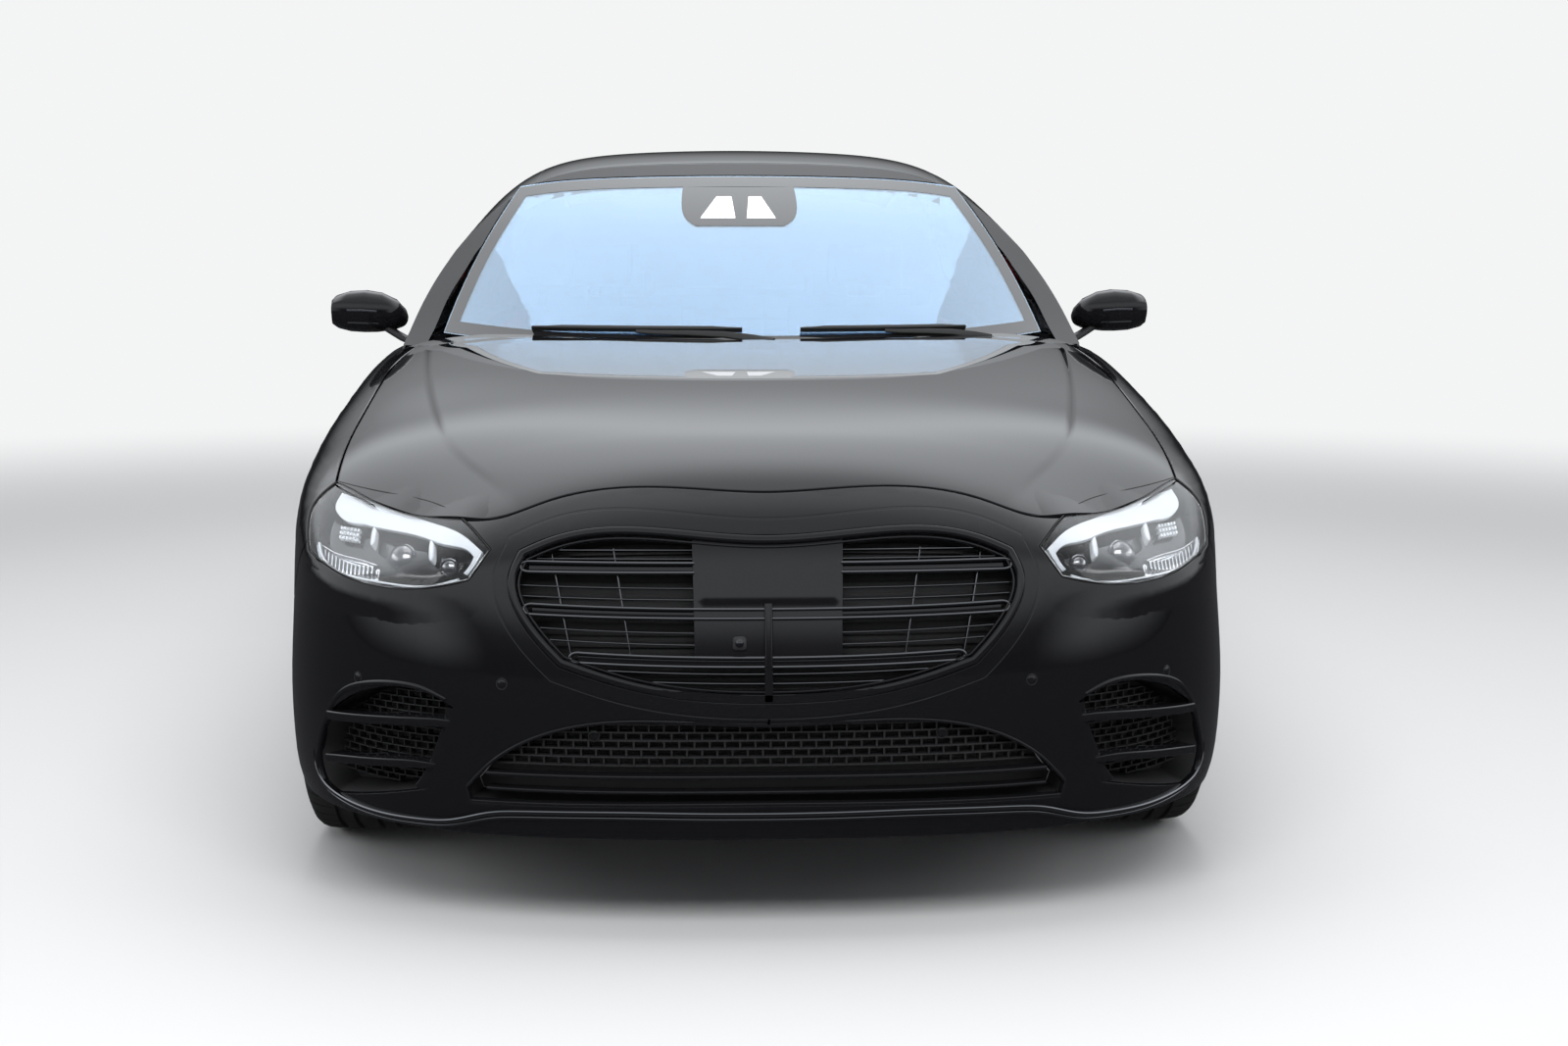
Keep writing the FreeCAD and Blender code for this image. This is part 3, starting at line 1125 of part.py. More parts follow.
def console():
    foot = TUNNEL + SEAT_GAP
    runs = [[(1905, foot), (1905, 560)], [(1905, 560), (2150, 590), (2500, 560), (2900, 580)],
            [(2900, 580), (2900, foot)], [(2900, foot), (1905, foot)]]
    return prism("side", -105, 105, runs)


COWL_DEPTH = 46.0


def cowl():
    """The dark tray between bonnet and windscreen that the wiper spindles come through."""
    rows, columns = steps(-740, 740, 9), steps(1340, 1900, 9)
    tray = layer(deck_fan, rows, columns, COWL_DEPTH, COWL_DEPTH + 6)
    tray = tray.common(screen_layer(-1600, 60)).common(box(-704, 704, 1380, 1800, 800, 1000))
    below = layer(deck_fan, rows, columns, COWL_DEPTH + 2, COWL_DEPTH + 160)
    wall = box(-700, 700, 1384, 1392, 900 + SEAT_GAP, 1000).common(below)
    return max(tray.fuse(wall).Solids, key=lambda s: s.Volume)


def wiper(pivot, tip):
    """One parked wiper: spindle on the cowl, arm up and along the foot of the windscreen."""
    foot_s = screen_fan(pivot, 984)[0].y - 16
    foot_z = deck_fan(pivot, foot_s)[0].z - COWL_DEPTH + 0.9
    points = [V(pivot, foot_s, 992)]
    for t in (0.08, 0.3, 0.55, 0.8, 1):
        points.append(screen_fan(pivot + (tip - pivot) * t, 1014)[0] + V(0, -24, 0))
    made = rod((pivot, foot_s, foot_z), (pivot, foot_s, 992), 7)
    for a, b in zip(points, points[1:]):
        made = made.fuse([Part.makeCylinder(5, a.distanceToPoint(b), a, b - a), Part.makeSphere(5, b)])
    return made


def mirror_housing():
    outline = [[(890, 1010), (885, 1075), (930, 1112), (1010, 1110)],
               [(1010, 1110), (1052, 1085), (1046, 1030)],
               [(1046, 1030), (1000, 1000), (930, 998), (890, 1010)]]
    shell = prism("front", 1925, 2045, outline)
    arm = box(800, 930, 1930, 1990, 985, 1015).cut(cabin_layer(-SEAT_GAP, 160))
    return shell.fuse(arm)


def main():
    os.makedirs("parts", exist_ok=True)
    pockets = glass_pockets()
    frame = side_frame(pockets)
    save("side_frame_left", frame)
    save("side_frame_right", mirrored(frame))
    save("roof_panel", roof_panel(pockets))
    save("windscreen", windscreen())
    save("rear_window", rear_window())
    save("rear_deck", rear_deck())
    for name, outline, edge in (("front", FRONT_DOOR, FRONT_EDGE), ("rear", REAR_DOOR, SPLIT)):
        panel = door(outline, edge)
        glass = door_glass(outline)
        save("%s_door_left" % name, panel)
        save("%s_door_right" % name, mirrored(panel))
        save("%s_door_glass_left" % name, glass)
        save("%s_door_glass_right" % name, mirrored(glass))
    housing = mirror_housing()
    save("mirror_left", housing)
    save("mirror_right", mirrored(housing))
    save("bonnet", bonnet())
    save("boot_lid", boot_lid())
    save("boot_lights", *both(boot_lamp()))
    wing = fender()
    save("front_fender_left", wing)
    save("front_fender_right", mirrored(wing))
    save("front_bumper", front_bumper())
    save("grille", grille())
    side_intake = intake(SIDE_INTAKE)
    save("lower_grilles", centre_intake(), *both(side_intake))
    save("rear_bumper", rear_bumper())
    save("headlights", *both(headlight()))
    save("tail_lights", *both(tail_lamp()))
    save("cowl", cowl())
    save("wipers", wiper(60, -520), wiper(600, 130))
    save("floor_pan", floor_pan())
    front_liner, rear_liner = wheel_liner(FRONT_AXLE, 560), wheel_liner(REAR_AXLE, BOOT_WALL + SEAT_GAP)
    save("wheel_arch_liners", *both(front_liner), *both(rear_liner))
    save("engine", engine())
    save("exhaust", exhaust())
    save("front_subframe", front_subframe())
    save("rear_subframe", rear_subframe())
    save("dashboard", dashboard())
    save("centre_console", console())
    save("front_seats", front_seat(395), front_seat(-395))
    save("rear_seat", rear_seat())
    save("steering_wheel", steering_wheel())
    upright = knuckle()
    save("knuckle_left", upright)
    save("knuckle_right", mirrored(upright))
    wheel, rubber = rim(), tyre()
    for name, station in (("front", FRONT_AXLE), ("rear", REAR_AXLE)):
        save("%s_rim_left" % name, at_axle(wheel, station))
        save("%s_rim_right" % name, mirrored(at_axle(wheel, station)))
        save("%s_tyre_left" % name, at_axle(rubber, station))
        save("%s_tyre_right" % name, mirrored(at_axle(rubber, station)))


if __name__ == "__main__":
    main()
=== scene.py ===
# %% [markdown]
# # A large black saloon
# The looks of a four-door saloon car, built round its fixed CAD frame. The frame gives every part's place
# and how it moves; this script adds smooth painted panels, glass, lamps, wheels, trim and the cabin's soft
# seats. Stations are distances back from the nose in millimetres, as in the CAD, and are turned into metres
# at the end.

import math

import bmesh
import bpy
import numpy as np
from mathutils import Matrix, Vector, geometry


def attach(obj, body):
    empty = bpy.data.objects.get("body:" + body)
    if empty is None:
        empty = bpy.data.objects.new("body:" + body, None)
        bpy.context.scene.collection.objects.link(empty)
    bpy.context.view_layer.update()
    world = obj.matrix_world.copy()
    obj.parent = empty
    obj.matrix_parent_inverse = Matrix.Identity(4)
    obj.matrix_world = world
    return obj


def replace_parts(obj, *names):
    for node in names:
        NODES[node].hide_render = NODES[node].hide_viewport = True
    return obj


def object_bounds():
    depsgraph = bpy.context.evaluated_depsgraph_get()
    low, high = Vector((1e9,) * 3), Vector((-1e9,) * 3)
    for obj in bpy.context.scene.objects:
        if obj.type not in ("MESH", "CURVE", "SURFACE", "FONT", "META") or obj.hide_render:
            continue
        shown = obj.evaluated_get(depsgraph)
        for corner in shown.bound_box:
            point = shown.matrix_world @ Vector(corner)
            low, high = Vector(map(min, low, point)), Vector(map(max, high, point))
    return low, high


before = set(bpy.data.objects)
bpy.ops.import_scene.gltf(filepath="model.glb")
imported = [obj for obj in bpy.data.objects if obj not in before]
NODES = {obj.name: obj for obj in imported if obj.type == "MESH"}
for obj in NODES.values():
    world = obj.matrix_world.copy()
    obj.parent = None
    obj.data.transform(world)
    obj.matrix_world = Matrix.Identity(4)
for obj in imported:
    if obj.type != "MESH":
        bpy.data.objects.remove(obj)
CAD_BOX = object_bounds()

# %% [markdown]
# The body is one closed formula. Driving lines give its nose, tail, sides and deck along the car, and a
# point is on the skin where the formula reaches 1. The same lines shape the CAD panels, so every panel here
# lies on them.

# %% Driving lines of the body
LENGTH = 5289.0
FRONT_AXLE = 880.0
REAR_AXLE = 4096.0
WHEEL_RADIUS = 356.0


class Line:
    """A natural cubic spline through (t, value) points, straight beyond its ends."""

    def __init__(self, *points):
        self.t = np.array([p[0] for p in points], float)
        self.v = np.array([p[1] for p in points], float)
        n = len(points)
        system, rhs = np.eye(n), np.zeros(n)
        for i in range(1, n - 1):
            before, after = self.t[i] - self.t[i - 1], self.t[i + 1] - self.t[i]
            system[i, i - 1:i + 2] = before, 2 * (before + after), after
            rhs[i] = 6 * ((self.v[i + 1] - self.v[i]) / after - (self.v[i] - self.v[i - 1]) / before)
        self.bend = np.linalg.solve(system, rhs)

    def __call__(self, t):
        t = np.asarray(t, float)
        i = np.clip(np.searchsorted(self.t, t) - 1, 0, len(self.t) - 2)
        step = self.t[i + 1] - self.t[i]
        inner = np.clip(t, self.t[0], self.t[-1])
        p, q = (self.t[i + 1] - inner) / step, (inner - self.t[i]) / step
        curve = (p**3 - p) * self.bend[i] + (q**3 - q) * self.bend[i + 1]
        value = p * self.v[i] + q * self.v[i + 1] + curve * step * step / 6
        first, last = self.t[1] - self.t[0], self.t[-1] - self.t[-2]
        slope_low = (self.v[1] - self.v[0]) / first - first * self.bend[1] / 6
        slope_high = (self.v[-1] - self.v[-2]) / last + last * self.bend[-2] / 6
        return value + np.minimum(t - self.t[0], 0) * slope_low + np.maximum(t - self.t[-1], 0) * slope_high


print("a line between its points", float(Line((0, 0), (1, 1), (2, 0))(0.5)))

# %% [markdown]
# The lines' values are the car's own: where nose and tail lie at each height, how wide the body is and how
# high its deck and roof are at each station. Change one number and every panel follows.

# %% Lines of this car
NOSE = Line((180, 45), (220, 22), (300, 8), (400, 0), (480, 2), (560, 14), (650, 38), (730, 66), (800, 100),
            (860, 150))
TAIL = Line((180, 5170), (260, 5225), (400, 5278), (520, LENGTH), (640, 5283), (760, 5262), (900, 5238),
            (1000, 5226), (1080, 5218), (1150, 5205))
SIDE = Line((700, 952), (880, 960), (1300, 948), (1800, 942), (2600, 944), (3400, 948), (4096, 960),
            (4600, 948), (5000, 925))
TUCK = Line((150, 34), (200, 17), (260, 7), (330, 2), (400, 0), (480, 0), (600, 0), (900, 0))
NARROW = Line((150, 0), (300, 0), (400, 2), (480, 7), (560, 13), (640, 17), (720, 22), (800, 22), (900, 22))
NARROW_FROM, NARROW_LENGTH = 1600.0, 900.0
DECK = Line((0, 755), (92, 800), (250, 846), (500, 893), (800, 936), (1100, 971), (1450, 1004), (1800, 1028),
            (2400, 1030), (3400, 1060), (4200, 1120), (4520, 1148), (4800, 1134), (5080, 1104), (5200, 1085))
CROWN = Line((0, 300), (200, 250), (480, 125), (800, 75), (1100, 50), (1600, 22), (2600, 20), (3600, 28),
             (4520, 34), (5200, 50))
WAIST = 600.0
CROWN_WIDTH, CROWN_POWER = 830.0, 2.6
FRONT_CORNER, REAR_CORNER = 820.0, 4420.0
PLAN_POWER, NOSE_POWER, TAIL_POWER = 2.8, 3.0, 3.0
SIDE_ROUND, TOP_ROUND = 3.0, 7.0
BELT_HALF = Line((1500, 800), (1750, 850), (2300, 868), (3000, 870), (3600, 862), (4000, 840), (4400, 790),
                 (4700, 730))
ROOF = Line((2000, 1330), (2300, 1418), (2500, 1462), (2700, 1487), (2950, 1501), (3150, 1503), (3400, 1497),
            (3700, 1472), (3900, 1443), (4100, 1405), (4500, 1320))
LEAN = 0.42
ROOF_CROWN = 8.3e-5
CABIN_FOOT = 900.0
CABIN_SIDE_ROUND, CABIN_TOP_ROUND = 7.0, 6.0
SCREEN = Line((900, 1300), (1000, 1490), (1100, 1683), (1200, 1885), (1300, 2095), (1412, 2345), (1500, 2550))
SCREEN_SWEEP_FOOT, SCREEN_SWEEP_HEAD, SWEEP_HALF = 230.0, 110.0, 700.0
BACK = Line((1050, 4740), (1150, 4540), (1250, 4330), (1350, 4105), (1440, 3880), (1520, 3660))
BACK_SWEEP = 140.0
print("length", LENGTH, "half width", float(SIDE(FRONT_AXLE)), "roof", float(ROOF(3150)))

# %% [markdown]
# A skin could be a NURBS patchwork with joints to match. Here one inequality says whether a point is
# inside, so body and cabin have no patches, no joints and exact normals.

# %% Skins of body and cabin
BELT_HEIGHT, BELT_RISE, BELT_FROM = 962, 0.02, 1800
SCREEN_FOOT, SCREEN_RISE = 1000, 412


def belt(s):
    """Height of the windows' lower edge at a station."""
    return BELT_HEIGHT + BELT_RISE * (s - BELT_FROM)


def lower_body(x, s, z):
    """Under 1 inside the lower body and 1 on its skin."""
    share = np.clip((NARROW_FROM - s) / NARROW_LENGTH, 0, 1)
    half = SIDE(s) - TUCK(z) - NARROW(z) * share * share * (3 - 2 * share)
    plan = (np.abs(x) / half) ** PLAN_POWER
    ahead = np.maximum(FRONT_CORNER - s, 0) / np.maximum(FRONT_CORNER - NOSE(z), 1)
    behind = np.maximum(s - REAR_CORNER, 0) / np.maximum(TAIL(z) - REAR_CORNER, 1)
    plan = plan + ahead**NOSE_POWER + behind**TAIL_POWER
    top = DECK(s) - CROWN(s) * (np.abs(x) / CROWN_WIDTH) ** CROWN_POWER
    rise = np.where(top > WAIST, np.maximum(z - WAIST, 0) / np.maximum(top - WAIST, 1), 9.0)
    return plan**SIDE_ROUND + rise**TOP_ROUND


def cabin(x, s, z):
    """Under 1 inside the roof and side windows and 1 on their skin."""
    half = BELT_HALF(s) - LEAN * (z - belt(s))
    top = ROOF(s) - ROOF_CROWN * x * x
    rise = np.maximum(z - CABIN_FOOT, 0) / (top - CABIN_FOOT)
    return (np.abs(x) / half) ** CABIN_SIDE_ROUND + rise**CABIN_TOP_ROUND


def screen_station(x, z):
    """Where the windscreen lies at a width and height; its sides are swept back."""
    sweep = SCREEN_SWEEP_FOOT + (SCREEN_SWEEP_HEAD - SCREEN_SWEEP_FOOT) * (z - SCREEN_FOOT) / SCREEN_RISE
    return SCREEN(z) + sweep * (x / SWEEP_HALF) ** 2


def back_station(x, z):
    """Where the rear window lies at a width and height."""
    return BACK(z) - BACK_SWEEP * (x / SWEEP_HALF) ** 2

# %% [markdown]
# To put a point on the skin, a ray starts inside and is halved again and again until it sits on the border.
# That is slower than a formula for the surface, but works for every direction a chart asks for.

# %% Rays and normals
def cast(skin, start, way, reach=1600.0):
    """Where rays from inside the body leave its skin. start and way are rows of (x, station, z)."""
    near, far = np.zeros(len(start)), np.full(len(start), reach)
    for _ in range(34):
        mid = (near + far) / 2
        at = start + way * mid[:, None]
        inside = skin(at[:, 0], at[:, 1], at[:, 2]) < 1
        near, far = np.where(inside, mid, near), np.where(inside, far, mid)
    return start + way * near[:, None]


def rows_of(*columns):
    """Rows of points from their columns, any of which may be one number."""
    columns = np.broadcast_arrays(*[np.asarray(c, float) for c in columns])
    return np.stack(columns, axis=-1).reshape(-1, len(columns))


def skin_normals(skin, points, step=0.4):
    """Outward unit normals of an implicit skin, from its slope."""
    slope = []
    for axis in range(3):
        shift = np.zeros(3)
        shift[axis] = step
        ahead, behind = points + shift, points - shift
        slope.append(skin(*ahead.T) - skin(*behind.T))
    normals = np.stack(slope, axis=1)
    return normals / np.maximum(np.linalg.norm(normals, axis=1), 1e-12)[:, None]


print("nose at 500 mm height", cast(lower_body, rows_of(0, 1200, 500), rows_of(0, -1, 0)).round(1))

# %% [markdown]
# Each panel is laid out flat on a chart of the skin. A chart has two coordinates and knows the way to the
# skin and back: the girth chart runs along the side and over the shoulder, a plan looks down on the bonnet
# or roof, the tail chart runs up the boot, the cabin chart up the windows and over the roof rail, and a
# pane is seen from the front.

# %% Charts of the skin
CORNER_TURN = 900.0
SHOULDER_HEIGHT, SHOULDER_TURN, FAN_REACH = 700.0, 400.0, 350.0
CABIN_SHOULDER, CABIN_TURN, CABIN_REACH = 1250.0, 300.0, 300.0


class Girth:
    """Along the lower body's left side and round its corners, and up over the shoulder."""

    skin = staticmethod(lower_body)

    @staticmethod
    def to_skin(uv):
        along, up = uv[:, 0], uv[:, 1]
        station = np.clip(along, FRONT_CORNER, REAR_CORNER)
        turn = (along - station) / CORNER_TURN
        rise = np.maximum(up - SHOULDER_HEIGHT, 0) / SHOULDER_TURN
        level = rows_of(np.cos(turn), np.sin(turn), 0)
        start = rows_of(0, station, np.minimum(up, SHOULDER_HEIGHT)) + level * FAN_REACH
        return cast(lower_body, start, level * np.cos(rise)[:, None] + rows_of(0, 0, np.sin(rise)))

    @staticmethod
    def to_chart(points):
        station = np.clip(points[:, 1], FRONT_CORNER, REAR_CORNER)
        aside = points[:, 1] - station
        turn = np.arctan2(aside, points[:, 0])
        out = np.hypot(points[:, 0], aside) - FAN_REACH
        over = points[:, 2] - SHOULDER_HEIGHT
        up = np.where(over > 0, SHOULDER_HEIGHT + SHOULDER_TURN * np.arctan2(over, out), points[:, 2])
        return rows_of(station + turn * CORNER_TURN, up)


class Plan:
    """Down on the bonnet, the rear deck or the roof from a level inside it: (x, station)."""

    def __init__(self, skin, level):
        self.skin, self.level = skin, level

    def to_skin(self, uv):
        return cast(self.skin, rows_of(uv[:, 0], uv[:, 1], self.level), rows_of(0, 0, np.ones(len(uv))))

    @staticmethod
    def to_chart(points):
        return points[:, :2]


class Tail:
    """Up the tail and forward over the boot lid: (x, distance)."""

    skin = staticmethod(lower_body)
    LEVEL, TURN, STATION = 950.0, 200.0, 4980.0

    @classmethod
    def to_skin(cls, uv):
        across, up = uv[:, 0], uv[:, 1]
        turned = np.minimum(np.maximum(up - cls.LEVEL, 0) / cls.TURN, math.pi / 2)
        ahead = np.maximum(up - cls.LEVEL - cls.TURN * math.pi / 2, 0)
        start = rows_of(across, cls.STATION - ahead, np.minimum(up, cls.LEVEL))
        return cast(lower_body, start, rows_of(0, np.cos(turned), np.sin(turned)))

    @classmethod
    def to_chart(cls, points):
        over, out = points[:, 2] - cls.LEVEL, points[:, 1] - cls.STATION
        turned = cls.LEVEL + cls.TURN * np.arctan2(over, np.maximum(out, 0))
        flat = cls.LEVEL + cls.TURN * math.pi / 2 - out
        up = np.where(over <= 0, points[:, 2], np.where(out >= 0, turned, flat))
        return rows_of(points[:, 0], up)


class Cabin:
    """Up the side windows and over the roof rail: (station, up)."""

    skin = staticmethod(cabin)

    @staticmethod
    def to_skin(uv):
        station, up = uv[:, 0], uv[:, 1]
        rise = np.maximum(up - CABIN_SHOULDER, 0) / CABIN_TURN
        start = rows_of(CABIN_REACH, station, np.minimum(up, CABIN_SHOULDER))
        return cast(cabin, start, rows_of(np.cos(rise), 0, np.sin(rise)))

    @staticmethod
    def to_chart(points):
        over = points[:, 2] - CABIN_SHOULDER
        turned = CABIN_SHOULDER + CABIN_TURN * np.arctan2(over, points[:, 0] - CABIN_REACH)
        return rows_of(points[:, 1], np.where(over > 0, turned, points[:, 2]))


class Pane:
    """A big pane seen from the front: (x, height)."""

    def __init__(self, station, facing):
        self.station, self.facing = station, facing
        self.skin = lambda x, s, z: 1 + facing * (s - station(x, z)) / 1000

    def to_skin(self, uv):
        return rows_of(uv[:, 0], self.station(uv[:, 0], uv[:, 1]), uv[:, 1])

    @staticmethod
    def to_chart(points):
        return points[:, [0, 2]]


Deck, Roof = Plan(lower_body, WAIST), Plan(cabin, 1000)
SCREEN_PANE, BACK_PANE = Pane(screen_station, -1), Pane(back_station, 1)
trial = Girth.to_skin(np.array([[0.0, 600], [2000, 500], [5000, 800]]))
print("chart error", float(np.abs(Girth.to_chart(trial) - [[0, 600], [2000, 500], [5000, 800]]).max()))

# %% [markdown]
# A panel is cut from a chart like sheet metal. Its outlines become fixed edges of a triangle mesh, a test
# on each triangle's middle says what stays, and every open edge gets a small rounded hem that turns in
# towards the frame.

# %% Meshes, outlines and panels
MM = 0.001
LIFT = 0.4


def to_metres(points):
    """From stations in millimetres to the scene's metres."""
    return np.asarray(points, float) * MM + np.array([0, -LENGTH / 2 * MM, 0])


def mesh_object(name, points, faces, normals=None, materials=(), face_slots=None, smooth=True):
    """An object from points in metres and faces, with the skin's own normals where they are known."""
    mesh = bpy.data.meshes.new(name)
    if not name.startswith("floor"):
        points = np.clip(points, CAD_BOX[0], CAD_BOX[1])
    mesh.from_pydata([tuple(p) for p in np.asarray(points, float)], [],
                     [tuple(int(i) for i in f) for f in faces])
    mesh.update()
    mesh.polygons.foreach_set("use_smooth", [smooth] * len(mesh.polygons))
    if face_slots is not None:
        mesh.polygons.foreach_set("material_index", [int(i) for i in face_slots])
    if normals is not None:
        mesh.normals_split_custom_set_from_vertices([tuple(n) for n in normals])
    made = bpy.data.objects.new(name, mesh)
    bpy.context.scene.collection.objects.link(made)
    for material in materials:
        mesh.materials.append(material)
    return made

# %% [markdown]
# A shut line on a car is a smooth run between corners. It could be a Bézier curve object; here it is a row
# of points, because the same row then cuts the panel, its neighbour and the gap between them.

# %% Outlines
def inside(outline, a, b):
    """Which points (a, b) lie inside a closed outline."""
    corners = np.asarray(outline, float)
    result = np.zeros(len(a), bool)
    for (a0, b0), (a1, b1) in zip(corners, np.roll(corners, -1, axis=0)):
        if b0 == b1:
            continue
        crosses = (b0 > b) != (b1 > b)
        result ^= crosses & (a < (a1 - a0) * (b - b0) / (b1 - b0) + a0)
    return result


def curve(points, spacing=12.0):
    """Points along a smooth run through the given points, or along a straight edge when there are two."""
    points = np.asarray(points, float)
    length = np.concatenate([[0], np.cumsum(np.linalg.norm(np.diff(points, axis=0), axis=1))])
    count = max(2, int(length[-1] / spacing) + 1)
    at = np.linspace(0, length[-1], count)
    if len(points) == 2:
        return points[0] + (points[1] - points[0]) * (at / length[-1])[:, None]
    return np.stack([Line(*zip(length, points[:, k]))(at) for k in range(points.shape[1])], axis=1)


def outline_of(runs, grow=0.0, spacing=12.0):
    """A closed outline from runs of points, moved outwards by grow."""
    points = np.concatenate([curve(run, spacing)[:-1] for run in runs])
    return offset(points, grow) if grow else points


def offset(points, grow):
    """A closed outline moved outwards by grow, or inwards when it is negative."""
    area = np.sum(points[:, 0] * np.roll(points[:, 1], -1) - np.roll(points[:, 0], -1) * points[:, 1])
    ahead = np.roll(points, -1, axis=0) - points
    ahead /= np.linalg.norm(ahead, axis=1)[:, None]
    normal = rows_of(ahead[:, 1], -ahead[:, 0]) * (1 if area > 0 else -1)
    before = np.roll(normal, 1, axis=0)
    share = grow / np.maximum(1 + np.sum(before * normal, axis=1), 0.3)
    return points + (before + normal) * share[:, None]


def mirror_runs(runs):
    """A full outline from its right half, which starts and ends on the centreline."""
    flipped = [[(-a, b) for a, b in reversed(run)] for run in reversed(runs)]
    front = [(-a, b) for a, b in reversed(runs[0])][:-1] + list(runs[0])
    rear = list(runs[-1]) + [(-a, b) for a, b in reversed(runs[-1])][1:]
    return [front] + list(runs[1:-1]) + [rear] + flipped[1:-1]


def straight(*corners):
    """The straight runs round a closed polygon."""
    return list(zip(corners, corners[1:] + corners[:1]))


def swelled(value, power):
    """A cosine or sine pushed outwards, so that an oval swells towards a rectangle as the power falls."""
    return np.sign(value) * np.abs(value) ** power


def circle(station, height, radius, count=72):
    """Points round a circle, such as a wheel arch."""
    turn = np.linspace(0, 2 * math.pi, count, endpoint=False)
    return rows_of(station + radius * np.cos(turn), height + radius * np.sin(turn))

# %% [markdown]
# A panel's sheet could be modelled with a grid and boolean cuts, which leave ragged edges. Instead a
# Delaunay triangulation keeps every outline as an edge and fills the room between with even triangles.

# %% Triangles between outlines
def skin_of(plane, points, chart):
    """Points on a chart's skin from an outline seen from the side, the top or the front."""
    a, b = np.asarray(points, float).T
    if plane == "side":
        start, way = rows_of(0, a, b), rows_of(1, 0, np.zeros(len(a)))
    elif plane == "top":
        start, way = rows_of(a, b, WAIST if chart.skin is lower_body else 1000), rows_of(0, 0, np.ones(len(a)))
    elif plane == "front":
        start, way = rows_of(a, 1200, b), rows_of(0, -1, np.zeros(len(a)))
    elif plane == "rear":
        start, way = rows_of(a, 4300, b), rows_of(0, 1, np.zeros(len(a)))
    valid = chart.skin(start[:, 0], start[:, 1], start[:, 2]) < 1
    made = cast(chart.skin, start, way)
    made[~valid] = np.nan
    return made


def close_edges(points, closed):
    count = len(points)
    return [(i, (i + 1) % count) for i in range(count if closed else count - 1)]


def lay_out(chart, lines, keep, spacing, window=None):
    """Triangles of a chart between fixed lines, as (points on the chart, faces), where keep(x, s, z) holds."""
    chart_lines, edges, total = [], [], 0
    for plane, points, closed in lines:
        if plane == "chart":
            mapped = np.asarray(points, float)
        elif isinstance(chart, Pane):
            mapped = np.asarray(points, float)
        else:
            on_skin = skin_of(plane, points, chart)
            mapped = np.full((len(on_skin), 2), np.nan)
            good = ~np.isnan(on_skin[:, 0])
            mapped[good] = chart.to_chart(on_skin[good])
        for i, j in close_edges(mapped, closed):
            if not (np.isnan(mapped[i, 0]) or np.isnan(mapped[j, 0])):
                edges.append((total + i, total + j))
        chart_lines.append(mapped)
        total += len(mapped)
    fixed = np.concatenate(chart_lines)
    good = ~np.isnan(fixed[:, 0])
    renumber = np.cumsum(good) - 1
    edges = [(int(renumber[i]), int(renumber[j])) for i, j in edges]
    fixed = fixed[good]
    low, high = window if window else (fixed.min(0), fixed.max(0))
    us, vs = np.arange(low[0], high[0] + spacing, spacing), np.arange(low[1], high[1] + spacing, spacing * 0.87)
    grid = np.stack(np.meshgrid(us, vs), axis=-1)
    grid[1::2, :, 0] += spacing / 2
    grid = grid.reshape(-1, 2)
    cell = spacing * 0.5
    taken = set(map(tuple, np.round(fixed / cell).astype(int)))
    near = [any((i + di, j + dj) in taken for di in (-1, 0, 1) for dj in (-1, 0, 1))
            for i, j in np.round(grid / cell).astype(int)]
    points = np.concatenate([fixed, grid[~np.array(near)]])
    made = geometry.delaunay_2d_cdt([Vector(p) for p in points], edges, [], 0, 1e-3)
    flat = np.array([tuple(v) for v in made[0]])
    faces = np.array([f for f in made[2] if len(f) == 3])
    middle = chart.to_skin(flat[faces].mean(axis=1))
    held = keep(middle[:, 0], middle[:, 1], middle[:, 2])
    return flat, faces[held]

# %% [markdown]
# Real sheet metal is folded over at its edge, so light catches a small radius there. A bevel modifier would
# also round the inner edges; following only the open rim gives the fold and leaves the skin's normals
# exact.

# %% Rims and hems
def compact(points, faces):
    """Drops the points that no face uses."""
    used = np.unique(faces)
    renumber = np.full(len(points), -1)
    renumber[used] = np.arange(len(used))
    return points[used], renumber[faces]


def rim_edges(faces):
    """Directed edges that only one face has."""
    edges = np.concatenate([faces[:, [0, 1]], faces[:, [1, 2]], faces[:, [2, 0]]])
    key = {(int(a), int(b)) for a, b in edges}
    return [(a, b) for a, b in key if (b, a) not in key]


def hemmed(points, normals, faces, radius, depth, turns=3):
    """Adds a rounded hem to a sheet's open edges: it turns over by radius and runs in to depth."""
    rim = rim_edges(faces)
    along = {}
    for a, b in rim:
        way = points[b] - points[a]
        way = way / max(np.linalg.norm(way), 1e-9)
        for i in (a, b):
            along[i] = along.get(i, 0) + way
    order = {i: k for k, i in enumerate(sorted(along))}
    ids = np.array(sorted(along), int)
    way = np.array([along[i] for i in ids])
    way /= np.maximum(np.linalg.norm(way, axis=1), 1e-9)[:, None]
    out = np.cross(way, normals[ids])
    out /= np.maximum(np.linalg.norm(out, axis=1), 1e-9)[:, None]
    edge, up = points[ids].copy(), normals[ids]
    points, normals = points.copy(), normals.copy()
    points[ids] = edge - out * radius
    all_points, all_normals, all_faces = [points], [normals], [tuple(f) for f in faces]
    last = ids
    total = len(points)
    for k in range(1, turns + 2):
        angle = min(k / turns, 1) * math.pi / 2
        ring = edge - out * radius * (1 - math.sin(angle)) - up * radius * (1 - math.cos(angle))
        if k > turns:
            ring = edge - up * depth
        facing = up * math.cos(angle) + out * math.sin(angle)
        new = np.arange(total, total + len(ids))
        for a, b in rim:
            i, j = order[a], order[b]
            all_faces.append((last[j], last[i], new[i], new[j]))
        all_points.append(ring)
        all_normals.append(facing)
        last, total = new, total + len(ids)
    return np.concatenate(all_points), np.concatenate(all_normals), all_faces

# %% [markdown]
# One function turns an outline into a finished panel: laid out, lifted by a relief such as a crease,
# hemmed, mirrored and put on its body. All painted sheets of the body come from it, so they match.

